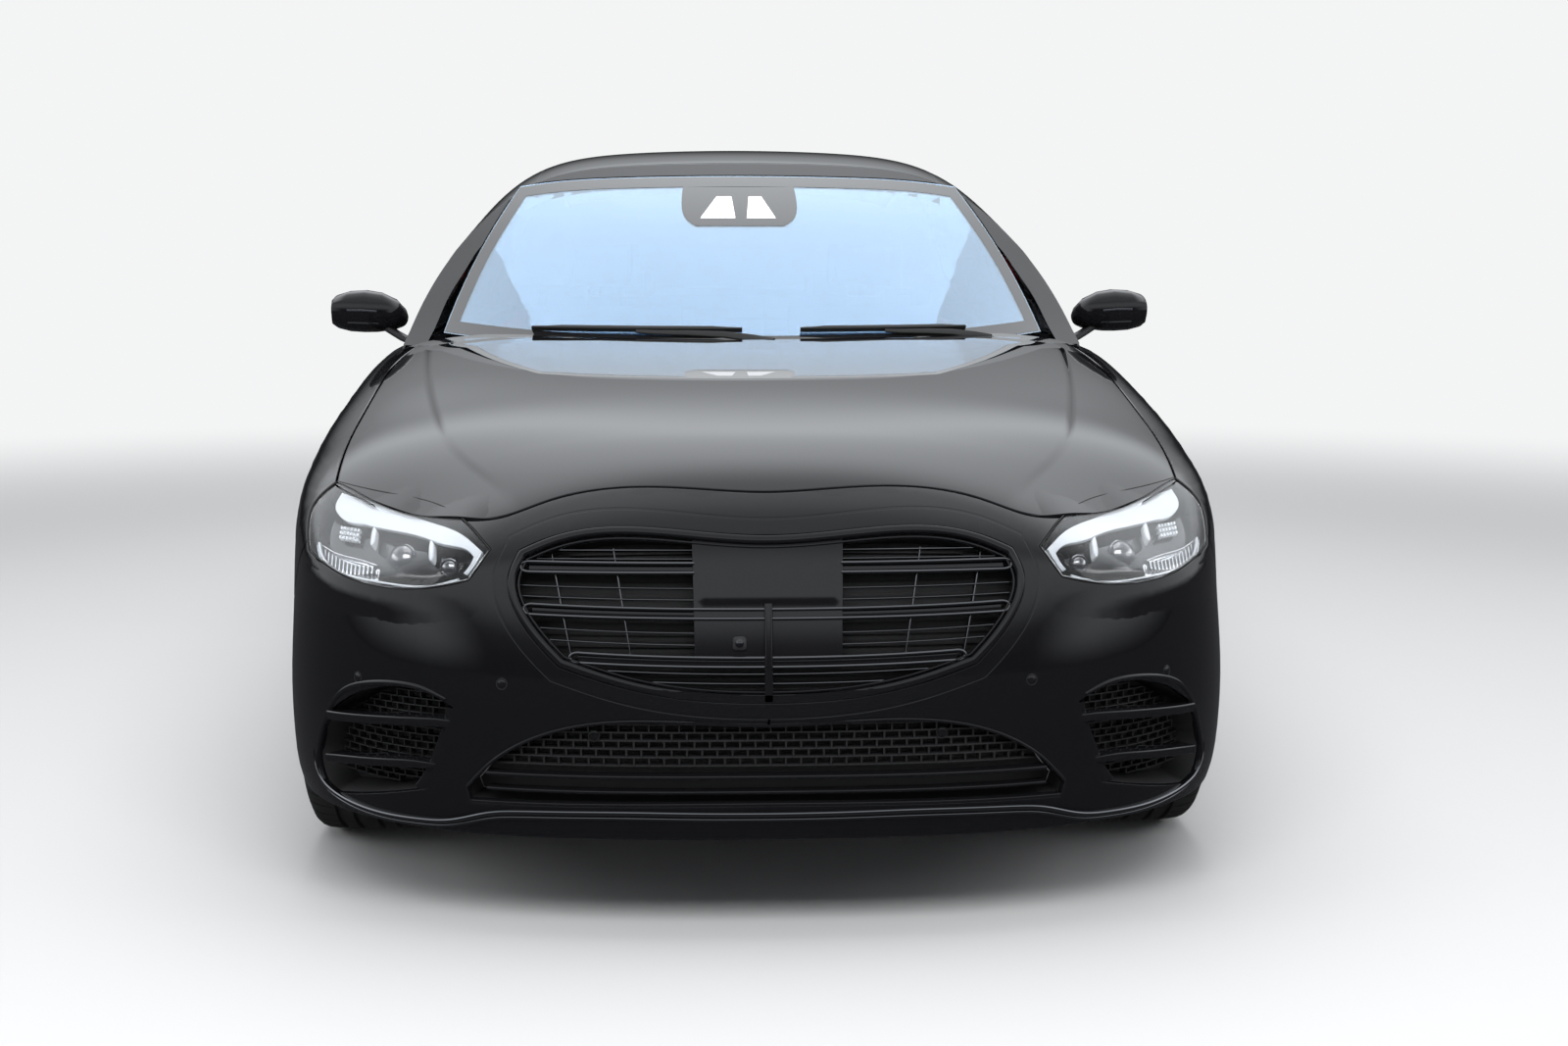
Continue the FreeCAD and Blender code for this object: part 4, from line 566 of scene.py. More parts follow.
# %% Panels
def shaped(points, normals, relief):
    """Moves a sheet's points along their normals by relief(x, s, z) and turns the normals to match."""
    step = 1.0
    side = np.cross(normals, [0.0, 0.0, 1.0])
    weak = np.linalg.norm(side, axis=1) < 0.05
    side[weak] = np.cross(normals[weak], [0.0, 1.0, 0.0])
    side /= np.linalg.norm(side, axis=1)[:, None]
    over = np.cross(normals, side)
    here = relief(*points.T)
    slope_a = (relief(*(points + side * step).T) - relief(*(points - side * step).T)) / (2 * step)
    slope_b = (relief(*(points + over * step).T) - relief(*(points - over * step).T)) / (2 * step)
    turned = normals - side * slope_a[:, None] - over * slope_b[:, None]
    return points + normals * here[:, None], turned / np.linalg.norm(turned, axis=1)[:, None]


def sides_of(name):
    """A name's left and right form."""
    return name + "_left", name + "_right"


def panel(name, chart, lines, keep, material, spacing=22.0, radius=2.2, depth=9.0, mirror="", relief=None,
          lift=LIFT, window=None, body="body", slot="body_paint", backed=False):
    """A panel on the skin. mirror="both" joins its other half to it, "pair" makes that a second object."""
    flat, faces = lay_out(chart, lines, keep, spacing, window)
    flat, faces = compact(flat, faces)
    points = chart.to_skin(flat)
    normals = skin_normals(chart.skin, points)
    facing = np.cross(points[faces[:, 1]] - points[faces[:, 0]], points[faces[:, 2]] - points[faces[:, 0]])
    if np.sum(facing * normals[faces[:, 0]]) < 0:
        faces = faces[:, ::-1]
    if relief:
        points, normals = shaped(points, normals, relief)
    points = points + normals * lift
    if mirror == "both":
        points, normals, faces = with_mirror(points, normals, faces)
    if backed:
        points, normals, faces = thick(points, normals, faces, radius, depth)
    else:
        points, normals, faces = hemmed(points, normals, faces, radius, depth)
    made = [(name, points, normals, faces)]
    if mirror == "pair":
        left, right = sides_of(name)
        made = [(left, points, normals, faces),
                (right, points * [-1, 1, 1], normals * [-1, 1, 1], [tuple(f)[::-1] for f in faces])]
    objects = []
    for label, at, turned, sides in made:
        item = mesh_object(label, to_metres(at), sides, turned, [material])
        where = body if isinstance(body, str) else body[label.endswith("_right")]
        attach(item, where)
        objects.append(item)
    print(name, "triangles", sum(len(f) - 2 for f in faces) * len(objects))
    return objects if len(objects) > 1 else objects[0]


def with_mirror(points, normals, faces, merge=0.6):
    """Joins a sheet with its mirror image, sharing the points on the centreline."""
    middle = np.abs(points[:, 0]) < merge
    points, normals = points.copy(), normals.copy()
    points[middle, 0], normals[middle, 0] = 0, 0
    normals /= np.linalg.norm(normals, axis=1)[:, None]
    renumber = np.where(middle, np.arange(len(points)), 0)
    renumber[~middle] = len(points) + np.arange(int((~middle).sum()))
    other = renumber[faces][:, ::-1]
    return (np.concatenate([points, points[~middle] * [-1, 1, 1]]),
            np.concatenate([normals, normals[~middle] * [-1, 1, 1]]), np.concatenate([faces, other]))


def thick(points, normals, faces, radius, depth):
    """A sheet with rounded edges and a back, for glass and other pieces seen from both sides."""
    sheet, turned, sides = hemmed(points, normals, faces, radius, depth)
    back_points, back_normals = points - normals * depth, -normals
    base = len(sheet)
    sides += [tuple(base + i for i in face[::-1]) for face in faces]
    return np.concatenate([sheet, back_points]), np.concatenate([turned, back_normals]), sides

# %% [markdown]
# Materials are node trees. Most take fine noise into their roughness and bump, so that a surface keeps a
# grain, an orange-peel wave or a little wear when it is seen close.

# %% Materials
MATERIALS = {}


def material(name, colour, roughness=0.4, metallic=0.0, grain=None, bump=0.0, tone=0.0, spread=0.0, coat=0.0,
             coat_roughness=0.03, transmission=0.0, ior=1.5, sheen=0.0, emission=None, strength=0.0,
             kind="noise", specular=0.5, alpha=1.0, coat_tint=None):
    """A principled material; grain is its pattern's size in metres, tone and spread vary colour and gloss."""
    made = bpy.data.materials.new(name)
    made.use_nodes = True
    nodes, links = made.node_tree.nodes, made.node_tree.links
    shader = nodes["Principled BSDF"]
    values = {"Base Color": (*colour, 1), "Roughness": roughness, "Metallic": metallic, "Coat Weight": coat,
              "Coat Roughness": coat_roughness, "Transmission Weight": transmission, "IOR": ior,
              "Sheen Weight": sheen, "Specular IOR Level": specular, "Alpha": alpha}
    if coat_tint:
        values["Coat Tint"] = (*coat_tint, 1)
    for key, value in values.items():
        shader.inputs[key].default_value = value
    if emission:
        shader.inputs["Emission Color"].default_value = (*emission, 1)
        shader.inputs["Emission Strength"].default_value = strength
    if grain:
        place = nodes.new("ShaderNodeTexCoord")
        kinds = {"noise": "ShaderNodeTexNoise", "cells": "ShaderNodeTexVoronoi", "wave": "ShaderNodeTexWave"}
        pattern = nodes.new(kinds[kind])
        pattern.inputs["Scale"].default_value = 1.0 / grain
        links.new(place.outputs["Object"], pattern.inputs["Vector"])
        if kind == "noise":
            pattern.inputs["Detail"].default_value = 3.0
        out = pattern.outputs["Distance"] if kind == "cells" else pattern.outputs[0 if kind != "wave" else 1]
        if tone:
            ramp = nodes.new("ShaderNodeMapRange")
            ramp.inputs["To Min"].default_value = 1 - tone
            ramp.inputs["To Max"].default_value = 1 + tone
            links.new(out, ramp.inputs["Value"])
            mix = nodes.new("ShaderNodeMix")
            mix.data_type, mix.blend_type = "RGBA", "MULTIPLY"
            mix.inputs["Factor"].default_value = 1.0
            mix.inputs["A"].default_value = (*colour, 1)
            mix.inputs[6].default_value = (*colour, 1)
            links.new(ramp.outputs["Result"], mix.inputs[7])
            links.new(mix.outputs[2], shader.inputs["Base Color"])
        if spread:
            gloss = nodes.new("ShaderNodeMapRange")
            gloss.inputs["To Min"].default_value = max(0.0, roughness - spread)
            gloss.inputs["To Max"].default_value = min(1.0, roughness + spread)
            links.new(out, gloss.inputs["Value"])
            links.new(gloss.outputs["Result"], shader.inputs["Roughness"])
        if bump:
            height = nodes.new("ShaderNodeBump")
            height.inputs["Strength"].default_value = 0.6
            height.inputs["Distance"].default_value = bump
            links.new(out, height.inputs["Height"])
            links.new(height.outputs["Normal"], shader.inputs["Normal"])
            if coat:
                links.new(height.outputs["Normal"], shader.inputs["Coat Normal"])
    MATERIALS[name] = made
    return made

# %% [markdown]
# Black paint is dark pigment under a clear coat, gloss trim is one hard layer, leather has cells, felt a
# deep grain. Each could be a picture texture; procedural noise needs no file and holds at every distance.

# %% Finishes of the car
PAINT = material("paint_black", (0.005, 0.005, 0.006), 0.5, coat=1.0, coat_roughness=0.012, grain=0.6,
                 spread=0.03, specular=0.0)
GLOSS = material("gloss_black", (0.006, 0.006, 0.007), 0.07, grain=0.2, spread=0.03, specular=0.45)
SATIN = material("plastic_satin", (0.016, 0.016, 0.017), 0.42, grain=0.0015, bump=0.0001, spread=0.06)
GRAINED = material("plastic_grained", (0.02, 0.02, 0.021), 0.6, grain=0.0022, bump=0.0003, tone=0.15,
                   kind="cells")
RUBBER = material("tyre_rubber", (0.017, 0.017, 0.017), 0.72, grain=0.006, bump=0.0003, tone=0.25, spread=0.1)
SEAL = material("rubber_seal", (0.012, 0.012, 0.012), 0.65, grain=0.003, bump=0.0001, spread=0.08)
CHROME = material("bright_metal", (0.62, 0.63, 0.65), 0.07, 1.0, grain=0.05, spread=0.03)
SMOKED = material("smoked_chrome", (0.2, 0.205, 0.215), 0.09, 1.0, grain=0.05, spread=0.03)
ALLOY = material("wheel_alloy", (0.3, 0.305, 0.315), 0.28, 1.0, grain=0.02, spread=0.05, tone=0.05, coat=0.4)
DARK_ALLOY = material("wheel_dark", (0.03, 0.03, 0.033), 0.3, 0.6, grain=0.02, spread=0.05, coat=0.8)
STEEL = material("chassis_steel", (0.14, 0.14, 0.145), 0.5, 0.9, grain=0.03, bump=0.0002, tone=0.25,
                 spread=0.12)
CAST = material("cast_aluminium", (0.36, 0.37, 0.38), 0.45, 0.9, grain=0.004, bump=0.0003, tone=0.12,
                spread=0.1)
DISC = material("brake_disc", (0.35, 0.35, 0.36), 0.25, 1.0, grain=0.0012, bump=0.00005, spread=0.08,
                kind="wave")
UNDERCOAT = material("underbody_coat", (0.022, 0.022, 0.023), 0.8, grain=0.008, bump=0.0006, tone=0.2)
FELT = material("arch_felt", (0.02, 0.02, 0.02), 0.95, grain=0.0012, bump=0.0006, tone=0.3)
SCREEN_GLASS = material("screen_glass", (0.6, 0.76, 0.93), 0.0, 0.42, grain=1.5, tone=0.05, transmission=1.0,
                        ior=1.45)
SIDE_GLASS = material("side_glass", (0.36, 0.39, 0.42), 0.0, 0.08, grain=1.5, tone=0.04, transmission=1.0,
                      ior=1.45)
CERAMIC = material("ceramic_border", (0.01, 0.01, 0.011), 0.06, grain=0.1, spread=0.02, coat=1.0)
LENS = material("clear_lens", (0.97, 0.98, 0.99), 0.0, grain=0.4, tone=0.01, transmission=1.0, ior=1.3)
BLACK_CHROME = material("black_chrome", (0.16, 0.163, 0.172), 0.07, 1.0, grain=0.05, spread=0.03, coat=0.5)
LAMP_BLACK = material("lamp_black", (0.012, 0.012, 0.013), 0.25, grain=0.02, spread=0.08, tone=0.1)
LENS_DARK = material("projector_glass", (0.03, 0.032, 0.04), 0.02, grain=0.05, spread=0.01, coat=1.0,
                     specular=1.0)
PILL = material("pill_light", (0.5, 0.52, 0.55), 0.2, grain=0.003, tone=0.15, kind="cells", coat=0.6,
                emission=(0.8, 0.85, 0.9), strength=0.12)
RED_LENS = material("red_lens", (0.5, 0.006, 0.008), 0.05, grain=0.004, bump=0.0002, kind="cells", coat=0.8,
                    emission=(0.6, 0.01, 0.01), strength=0.12)
DARK_RED = material("red_smoked", (0.13, 0.004, 0.006), 0.05, grain=0.15, spread=0.03, coat=1.0)
# A white glow for the windscreen's sensor windows, which are no lamp: a painted reflection.
SENSOR_WINDOW_GLOW = material("sensor_window_painted_glow", (0.9, 0.92, 0.95), 0.15, grain=0.004, tone=0.05,
                       emission=(0.9, 0.95, 1.0), strength=0.55)
DAY_GUIDE = material("day_light_guide", (0.6, 0.63, 0.67), 0.16, grain=0.004, tone=0.06, spread=0.05, coat=0.6)
LEATHER = material("leather_black", (0.022, 0.021, 0.021), 0.42, grain=0.0035, bump=0.0004, tone=0.18,
                   spread=0.08, kind="cells", specular=0.45)
STITCH = material("stitch_thread", (0.09, 0.085, 0.08), 0.8, grain=0.0008, bump=0.0003, tone=0.2)
DASH = material("dash_leather", (0.018, 0.018, 0.018), 0.55, grain=0.003, bump=0.0003, tone=0.15, kind="cells")
WOOD = material("wood_trim", (0.055, 0.04, 0.032), 0.25, grain=0.012, tone=0.5, spread=0.05, kind="wave",
                coat=0.5)
DISPLAY = material("display_glass", (0.004, 0.004, 0.006), 0.04, grain=0.3, spread=0.02, coat=1.0)
CARPET = material("carpet", (0.018, 0.018, 0.019), 0.98, grain=0.0016, bump=0.001, tone=0.4, sheen=0.3)
HEADLINER = material("headliner", (0.3, 0.29, 0.275), 0.95, grain=0.0012, bump=0.0003, tone=0.08)
MIRROR = material("mirror_glass", (0.85, 0.87, 0.9), 0.01, 1.0, grain=0.3, spread=0.008)
BLADE = material("wiper_rubber", (0.012, 0.012, 0.012), 0.55, grain=0.004, spread=0.1)
print("materials", len(MATERIALS))

# %% [markdown]
# The car stands on a plain pale floor that fades into a pale background. The lamps light it without being
# mirrored. What black paint mirrors is a soft sky of its own: dark in front and near the ground, bright
# behind and overhead.

# %% Stage, lights and camera
FLOOR_HALF = 30.0
PALE = (0.90, 0.905, 0.91)
FADE = (3.6, 9.0)


def maths(tree, operation, first, second=None, clamp=False):
    """One math node; numbers are set on its sockets and outputs are linked."""
    made = tree.nodes.new("ShaderNodeMath")
    made.operation, made.use_clamp = operation, clamp
    for socket, value in zip(made.inputs, (first, second)):
        if isinstance(value, (int, float)):
            socket.default_value = value
        elif value is not None:
            tree.links.new(value, socket)
    return made.outputs[0]


def smooth_step(tree, value, low, high, start=0.0, end=1.0):
    """A smooth step from start to end as the value goes from low to high."""
    made = tree.nodes.new("ShaderNodeMapRange")
    made.interpolation_type = "SMOOTHSTEP"
    for key, number in (("From Min", low), ("From Max", high), ("To Min", start), ("To Max", end)):
        made.inputs[key].default_value = number
    tree.links.new(value, made.inputs["Value"])
    return made.outputs["Result"]

# %% [markdown]
# The floor could be a plain plane, but its far edge would show. Its shader fades to the background's colour
# with distance, and in reflections it shows a fixed dark colour, a painted shade like that under a big car.

# %% Floor
def mixed(tree, share, first, second):
    """A mix of two shaders by a share."""
    made = tree.nodes.new("ShaderNodeMixShader")
    for socket, value in zip(made.inputs, (share, first, second)):
        tree.links.new(value, socket)
    return made.outputs[0]


def floor_material(name, colour, painted_shade_in_reflections):
    """A floor that is plain near the car, fades to the background colour, and shows a painted shade in
    reflections.
    """
    made = bpy.data.materials.new(name)
    made.use_nodes = True
    tree = made.node_tree
    nodes, links = tree.nodes, tree.links
    shader = nodes["Principled BSDF"]
    shader.inputs["Base Color"].default_value = (*colour, 1)
    shader.inputs["Roughness"].default_value = 0.75
    shader.inputs["Specular IOR Level"].default_value = 0.15
    place = nodes.new("ShaderNodeTexCoord")
    reach = nodes.new("ShaderNodeVectorMath")
    reach.operation = "LENGTH"
    links.new(place.outputs["Object"], reach.inputs[0])
    far = smooth_step(tree, reach.outputs["Value"], *FADE)
    glow, dim = nodes.new("ShaderNodeEmission"), nodes.new("ShaderNodeEmission")
    glow.inputs["Color"].default_value = (*PALE, 1)
    # The colour seen in reflections is a painted shade of the floor.
    dim.inputs["Color"].default_value = (*painted_shade_in_reflections, 1)
    path = nodes.new("ShaderNodeLightPath")
    faded = mixed(tree, maths(tree, "MULTIPLY", far, path.outputs["Is Camera Ray"]), shader.outputs[0],
                  glow.outputs[0])
    seen_all = mixed(tree, path.outputs["Is Glossy Ray"], faded, dim.outputs[0])
    links.new(seen_all, nodes["Material Output"].inputs["Surface"])
    return made


# Its dark second colour is the painted shade seen in reflections.
floor = mesh_object("floor", [(-FLOOR_HALF, -FLOOR_HALF, 0), (FLOOR_HALF, -FLOOR_HALF, 0),
                              (FLOOR_HALF, FLOOR_HALF, 0), (-FLOOR_HALF, FLOOR_HALF, 0)], [(0, 1, 2, 3)],
                    materials=[floor_material("floor_pale", (0.60, 0.605, 0.61), (0.055, 0.056, 0.06))])

# %% [markdown]
# A glossy black car is drawn by what it mirrors. A photographed sky isn't used, so the world is built from
# soft bands by direction: a low band ahead, a brighter one behind, and walls at both sides.

# %% Mirrored sky
world = bpy.data.worlds.new("studio")
bpy.context.scene.world = world
world.use_nodes = True
tree = world.node_tree
wn, wl = tree.nodes, tree.links
way = wn.new("ShaderNodeTexCoord")
split = wn.new("ShaderNodeSeparateXYZ")
wl.new(way.outputs["Generated"], split.inputs[0])


def times(first, second):
    return maths(tree, "MULTIPLY", first, second)


def plus(first, second):
    return maths(tree, "ADD", first, second)


def rising(low, high, start=0.0, end=1.0):
    """A soft step of brightness as the sky's height goes from low to high."""
    return smooth_step(tree, split.outputs["Z"], low, high, start, end)


behind = smooth_step(tree, split.outputs["Y"], -0.25, 0.35)
above, overhead = rising(0.05, 0.42, 0.02, 0.75), rising(0.50, 0.95, 0.0, 0.35)
front_band = times(rising(0.16, 0.32, 0.0, 0.6), rising(0.50, 0.75, 1.0, 0.0))
ahead = plus(plus(times(above, 0.5), overhead), front_band)
aft = plus(plus(above, overhead), times(rising(0.30, 0.46), rising(0.62, 0.86, 1.0, 0.0)))
height = plus(times(ahead, maths(tree, "SUBTRACT", 1.0, behind)), times(aft, behind))
aside = smooth_step(tree, maths(tree, "ABSOLUTE", split.outputs["X"]), 0.62, 0.88, 0.0, 0.95)
height = maths(tree, "MAXIMUM", height, times(aside, rising(-0.03, 0.12)))
mirror_sky, fill_sky, plain = (wn.new("ShaderNodeBackground") for _ in range(3))
wn.remove(wn["Background"])
mirror_sky.inputs["Color"].default_value = (0.93, 0.965, 1.0, 1)
wl.new(height, mirror_sky.inputs["Strength"])
fill_sky.inputs["Color"].default_value = (0.95, 0.97, 1.0, 1)
fill_sky.inputs["Strength"].default_value = 0.45
plain.inputs["Color"].default_value = (*PALE, 1)
seen = wn.new("ShaderNodeLightPath")
mirrored = maths(tree, "MAXIMUM", seen.outputs["Is Glossy Ray"], seen.outputs["Is Transmission Ray"])
glossy = mixed(tree, mirrored, fill_sky.outputs[0], mirror_sky.outputs[0])
chosen = mixed(tree, seen.outputs["Is Camera Ray"], glossy, plain.outputs[0])
wl.new(chosen, wn["World Output"].inputs["Surface"])

# %% [markdown]
# Large area lights stand for a hall's ceiling and walls. They are left out of reflections, so that no hard
# rectangle shows in the paint. The camera stands where the photographer stood.

# %% Lamps and camera
def area_light(name, place, target, size, power):
    data = bpy.data.lights.new(name, "AREA")
    data.shape, data.size, data.size_y, data.energy = "RECTANGLE", size[0], size[1], power
    lamp = bpy.data.objects.new(name, data)
    lamp.location = place
    lamp.rotation_euler = (Vector(target) - Vector(place)).to_track_quat("-Z", "Y").to_euler()
    lamp.visible_glossy = False
    bpy.context.scene.collection.objects.link(lamp)
    return lamp


area_light("ceiling", (0, 0.5, 4.2), (0, 0.5, 0), (3.4, 8.0), 190)
area_light("ceiling_front", (0, -6.0, 4.0), (0, -2.0, 0.4), (5.0, 2.0), 260)
area_light("side_left", (5.5, -2.0, 2.4), (0, -1, 0.5), (6.0, 1.4), 90)
area_light("side_right", (-5.5, -2.0, 2.4), (0, -1, 0.5), (6.0, 1.4), 90)

camera_data = bpy.data.cameras.new("camera")
camera_data.lens, camera_data.sensor_width = 51.4, 36.0
camera = bpy.data.objects.new("camera", camera_data)
camera.location = (-0.135, -6.4945, 1.26)
camera.rotation_euler = (math.radians(90 - 7.4), 0, math.radians(-2.4))
bpy.context.scene.collection.objects.link(camera)
bpy.context.scene.camera = camera
bpy.context.scene.view_settings.view_transform = "Standard"
print("lens", camera_data.lens)

# %% [markdown]
# Trims, bars and seals are sections swept along a path on the skin. Small parts are built in millimetres,
# joined into one mesh, and their edges stay sharp only where two faces meet at a clear angle.

# %% Sweeps and small solids
SHARP = 38.0


def unit(rows):
    """Rows scaled to length 1."""
    return rows / np.maximum(np.linalg.norm(rows, axis=-1, keepdims=True), 1e-12)


def rounded(width, height, radius, turns=3):
    """A rounded rectangle of (across, out) points round the origin."""
    points = []
    for cx, cy, start in ((1, 1, 0), (-1, 1, 90), (-1, -1, 180), (1, -1, 270)):
        for k in range(turns + 1):
            a = math.radians(start + 90 * k / turns)
            points.append((cx * (width / 2 - radius) + radius * math.cos(a),
                           cy * (height / 2 - radius) + radius * math.sin(a)))
    return np.array(points)


def ring_faces(rings, m, closed=False):
    """Quads between neighbouring rings of m points, with end caps unless the last ring meets the first."""
    faces = [(i * m + k, i * m + (k + 1) % m, (i + 1) % rings * m + (k + 1) % m, (i + 1) % rings * m + k)
             for i in range(rings if closed else rings - 1) for k in range(m)]
    return faces if closed else faces + [tuple(range(m))[::-1], tuple((rings - 1) * m + k for k in range(m))]


def sweep(path, out, section, scale=None, closed=False):
    """Points and faces of a section carried along a path; out is the way each path point faces."""
    path, out, section = np.asarray(path, float), np.asarray(out, float), np.asarray(section, float)
    if out.ndim == 1:
        out = np.tile(out, (len(path), 1))
    if closed:
        along = unit(np.roll(path, -1, axis=0) - np.roll(path, 1, axis=0))
    else:
        along = unit(np.gradient(path, axis=0))
    across = unit(np.cross(along, out))
    facing = unit(np.cross(across, along))
    scale = np.ones((len(path), 2)) if scale is None else np.asarray(scale, float).reshape(len(path), -1)
    if scale.shape[1] == 1:
        scale = np.repeat(scale, 2, axis=1)
    rings = path[:, None] + across[:, None] * (section[None, :, 0] * scale[:, :1])[..., None]
    rings = rings + facing[:, None] * (section[None, :, 1] * scale[:, 1:])[..., None]
    return rings.reshape(-1, 3), ring_faces(len(path), len(section), closed)


def lathe(profile, start, axis, turns=48, closed=False):
    """A profile of (along the axis, radius) points turned about an axis."""
    start, axis = np.asarray(start, float), unit(np.asarray(axis, float))
    side = unit(np.cross(axis, [0.0, 0.0, 1.0] if abs(axis[2]) < 0.9 else [1.0, 0.0, 0.0]))
    other = np.cross(axis, side)
    points, m = [], len(profile)
    for k in range(turns):
        a = 2 * math.pi * k / turns
        way = side * math.cos(a) + other * math.sin(a)
        points += [start + axis * along + way * radius for along, radius in profile]
    faces = []
    for k in range(turns):
        j = (k + 1) % turns
        for i in range(m if closed else m - 1):
            i1 = (i + 1) % m
            if profile[i][1] < 1e-6 and profile[i1][1] < 1e-6:
                continue
            faces.append((k * m + i, k * m + i1, j * m + i1, j * m + i))
    return np.array(points), faces


def block(corners):
    """A box from its eight corners: four below, four above, in the same turn."""
    sides = [(3, 2, 1, 0), (4, 5, 6, 7), (0, 1, 5, 4), (1, 2, 6, 5), (2, 3, 7, 6), (3, 0, 4, 7)]
    return np.asarray(corners, float), sides


def flipped(part):
    """The mirror image of a part."""
    points, faces = part
    return np.asarray(points) * [-1, 1, 1], [tuple(f)[::-1] for f in faces]

# %% [markdown]
# Small parts of one finish on one body are joined into one object, which keeps the scene light. The edges
# could be split by hand; an angle limit marks the sharp ones and leaves the curves smooth.

# %% Joining parts into a piece
def build(name, parts, finish_of_piece, body="body", slot="black_trim", sharp=SHARP, soft=0.0, both=False,
          smooth_faces=True):
    """Joins parts of (points in millimetres, faces) into one piece that rides on a body."""
    if both:
        parts = list(parts) + [flipped(part) for part in parts]
    points, faces, total = [], [], 0
    for at, sides in parts:
        points.append(np.asarray(at, float))
        faces += [tuple(int(i) + total for i in side) for side in sides]
        total += len(at)
    made = mesh_object(name, to_metres(np.concatenate(points)), faces, materials=[finish_of_piece],
                       smooth=smooth_faces)
    mesh = made.data
    mend = bmesh.new()
    mend.from_mesh(mesh)
    bmesh.ops.remove_doubles(mend, verts=mend.verts, dist=1e-6)
    bmesh.ops.dissolve_degenerate(mend, edges=mend.edges, dist=1e-7)
    bmesh.ops.recalc_face_normals(mend, faces=mend.faces)
    mend.to_mesh(mesh)
    mend.free()
    if soft:
        bevel = made.modifiers.new("edges", "BEVEL")
        bevel.width, bevel.segments, bevel.limit_method = soft * MM, 2, "ANGLE"
        bevel.angle_limit = math.radians(30)
        bevel.harden_normals = False
        apply_modifiers(made)
        mesh = made.data
    mesh.polygons.foreach_set("use_smooth", [smooth_faces] * len(mesh.polygons))
    mesh.set_sharp_from_angle(angle=math.radians(sharp))
    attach(made, body)
    print(name, "faces", len(mesh.polygons))
    return made


def apply_modifiers(item):
    """Bakes an object's modifiers into its own mesh."""
    depth = bpy.context.evaluated_depsgraph_get()
    depth.update()
    baked = bpy.data.meshes.new_from_object(item.evaluated_get(depth))
    old = item.data
    item.modifiers.clear()
    item.data = baked
    baked.name = old.name
    bpy.data.meshes.remove(old)


def pair(name, parts, finish_of_piece, bodies=("body", "body"), **rest):
    """The same piece on the left and, mirrored, on the right."""
    return [build(name + "_left", parts, finish_of_piece, bodies[0], **rest),
            build(name + "_right", [flipped(part) for part in parts], finish_of_piece, bodies[1], **rest)]

# %% [markdown]
# Lamps, grille and intakes are drawn as they are seen from the front, then dropped onto the curved nose.
# Shrinkwrap would do the same; the formula is exact and also tells how deep a part sinks.

# %% Pieces on the nose
def on_nose(xz, sink=0.0):
    """Points of the nose's skin under (x, height) points seen from ahead, and the way the skin faces there."""
    xz = np.asarray(xz, float)
    points = skin_of("front", xz, Girth)
    normals = skin_normals(lower_body, points)
    sink = np.asarray(sink, float)
    return points - normals * (sink[..., None] if sink.ndim else sink), normals


def tube_faces(n):
    """Quads between two rings of n points."""
    return [(i, (i + 1) % n, n + (i + 1) % n, n + i) for i in range(n)]


def nose_wall(outline, top, bottom):
    """The wall of a tub or duct that follows an outline, between two depths under the skin."""
    points, normals = on_nose(outline)
    return np.concatenate([points - normals * top, points - normals * bottom]), tube_faces(len(points))


def nose_block(x0, x1, z0, z1, top, bottom):
    """A small block that lies on the nose between two depths under its skin."""
    corners = [(x0, z0), (x1, z0), (x1, z1), (x0, z1)]
    points, normals = on_nose(corners)
    return block(np.concatenate([points - normals * bottom, points - normals * top]))


def nose_plate(name, outline, finish_of_piece, top, depth, mirror="", spacing=14.0, radius=1.5,
               slot="black_trim", relief=None, hole=None, backed=False):
    """A plate that follows the nose, cut to an outline seen from the front."""
    lines = [("front", outline, True)] + ([("front", hole, True)] if hole is not None else [])
    flat = np.array([Girth.to_chart(on_nose(outline)[0])]).reshape(-1, 2)

    def keep(x, s, z):
        held = inside(outline, x, z) & (s < 900)
        return held & ~inside(hole, x, z) if hole is not None else held

    return panel(name, Girth, lines, keep, finish_of_piece, spacing, radius, depth, mirror, relief, -top,
                 (flat.min(0) - spacing, flat.max(0) + spacing), slot=slot, backed=backed)

# %% [markdown]
# The painted panels follow. Their shut lines are the CAD's own outlines, so each skin covers its panel and
# moves with it. The bonnet has a raised middle between two creases that run from the screen's corners to
# the grille.

# %% Bonnet, wings and nose
SHUT_GAP = 6.0
DOOR_FOOT, SILL_FOOT = 232.0, 165.0
FRONT_EDGE, SPLIT = 1750.0, 2951.0
ARCH_RADIUS = 394.0
BONNET = [[(0, 149), (392, 185), (470, 178), (560, 225), (700, 360), (825, 537)],
          [(825, 537), (831, 800), (827, 1100), (800, 1600), (780, 1690)],
          [(780, 1690), (600, 1600), (300, 1480), (0, 1440)]]
HEADLIGHT = [[(494, 700), (540, 735), (699, 766), (825, 775)], [(825, 775), (871, 726), (862, 661)],
             [(862, 661), (759, 631), (620, 629), (532, 648)], [(532, 648), (494, 700)]]
GRILLE = [[(0, 730), (388, 724), (440, 702)], [(440, 702), (460, 652), (430, 570), (369, 503)],
          [(369, 503), (248, 466), (0, 440)]]
LOWER_INTAKE = [[(0, 404), (388, 388), (496, 327), (543, 276)], [(543, 276), (535, 249)],
                [(535, 249), (0, 253)]]
SIDE_INTAKE = [[(798, 389), (740, 430), (621, 448), (560, 423)], [(560, 423), (612, 267)],
               [(612, 267), (817, 215)], [(817, 215), (836, 261), (798, 389)]]
CREASE = Line((150, 440), (229, 466), (395, 547), (526, 603), (706, 645), (1095, 708), (1665, 770))

bonnet_line = outline_of(mirror_runs(BONNET))
bonnet_hole = offset(bonnet_line, SHUT_GAP)


def smooth(t):
    """A soft step from 0 to 1."""
    t = np.clip(t, 0, 1)
    return t * t * (3 - 2 * t)


def bonnet_relief(x, s, z):
    """The raised middle of the bonnet, between its two creases."""
    fade = smooth((s - 150) / 260) * smooth((1650 - s) / 200)
    return 5.0 * fade * smooth((CREASE(s) - np.abs(x)) / 26 + 0.5)


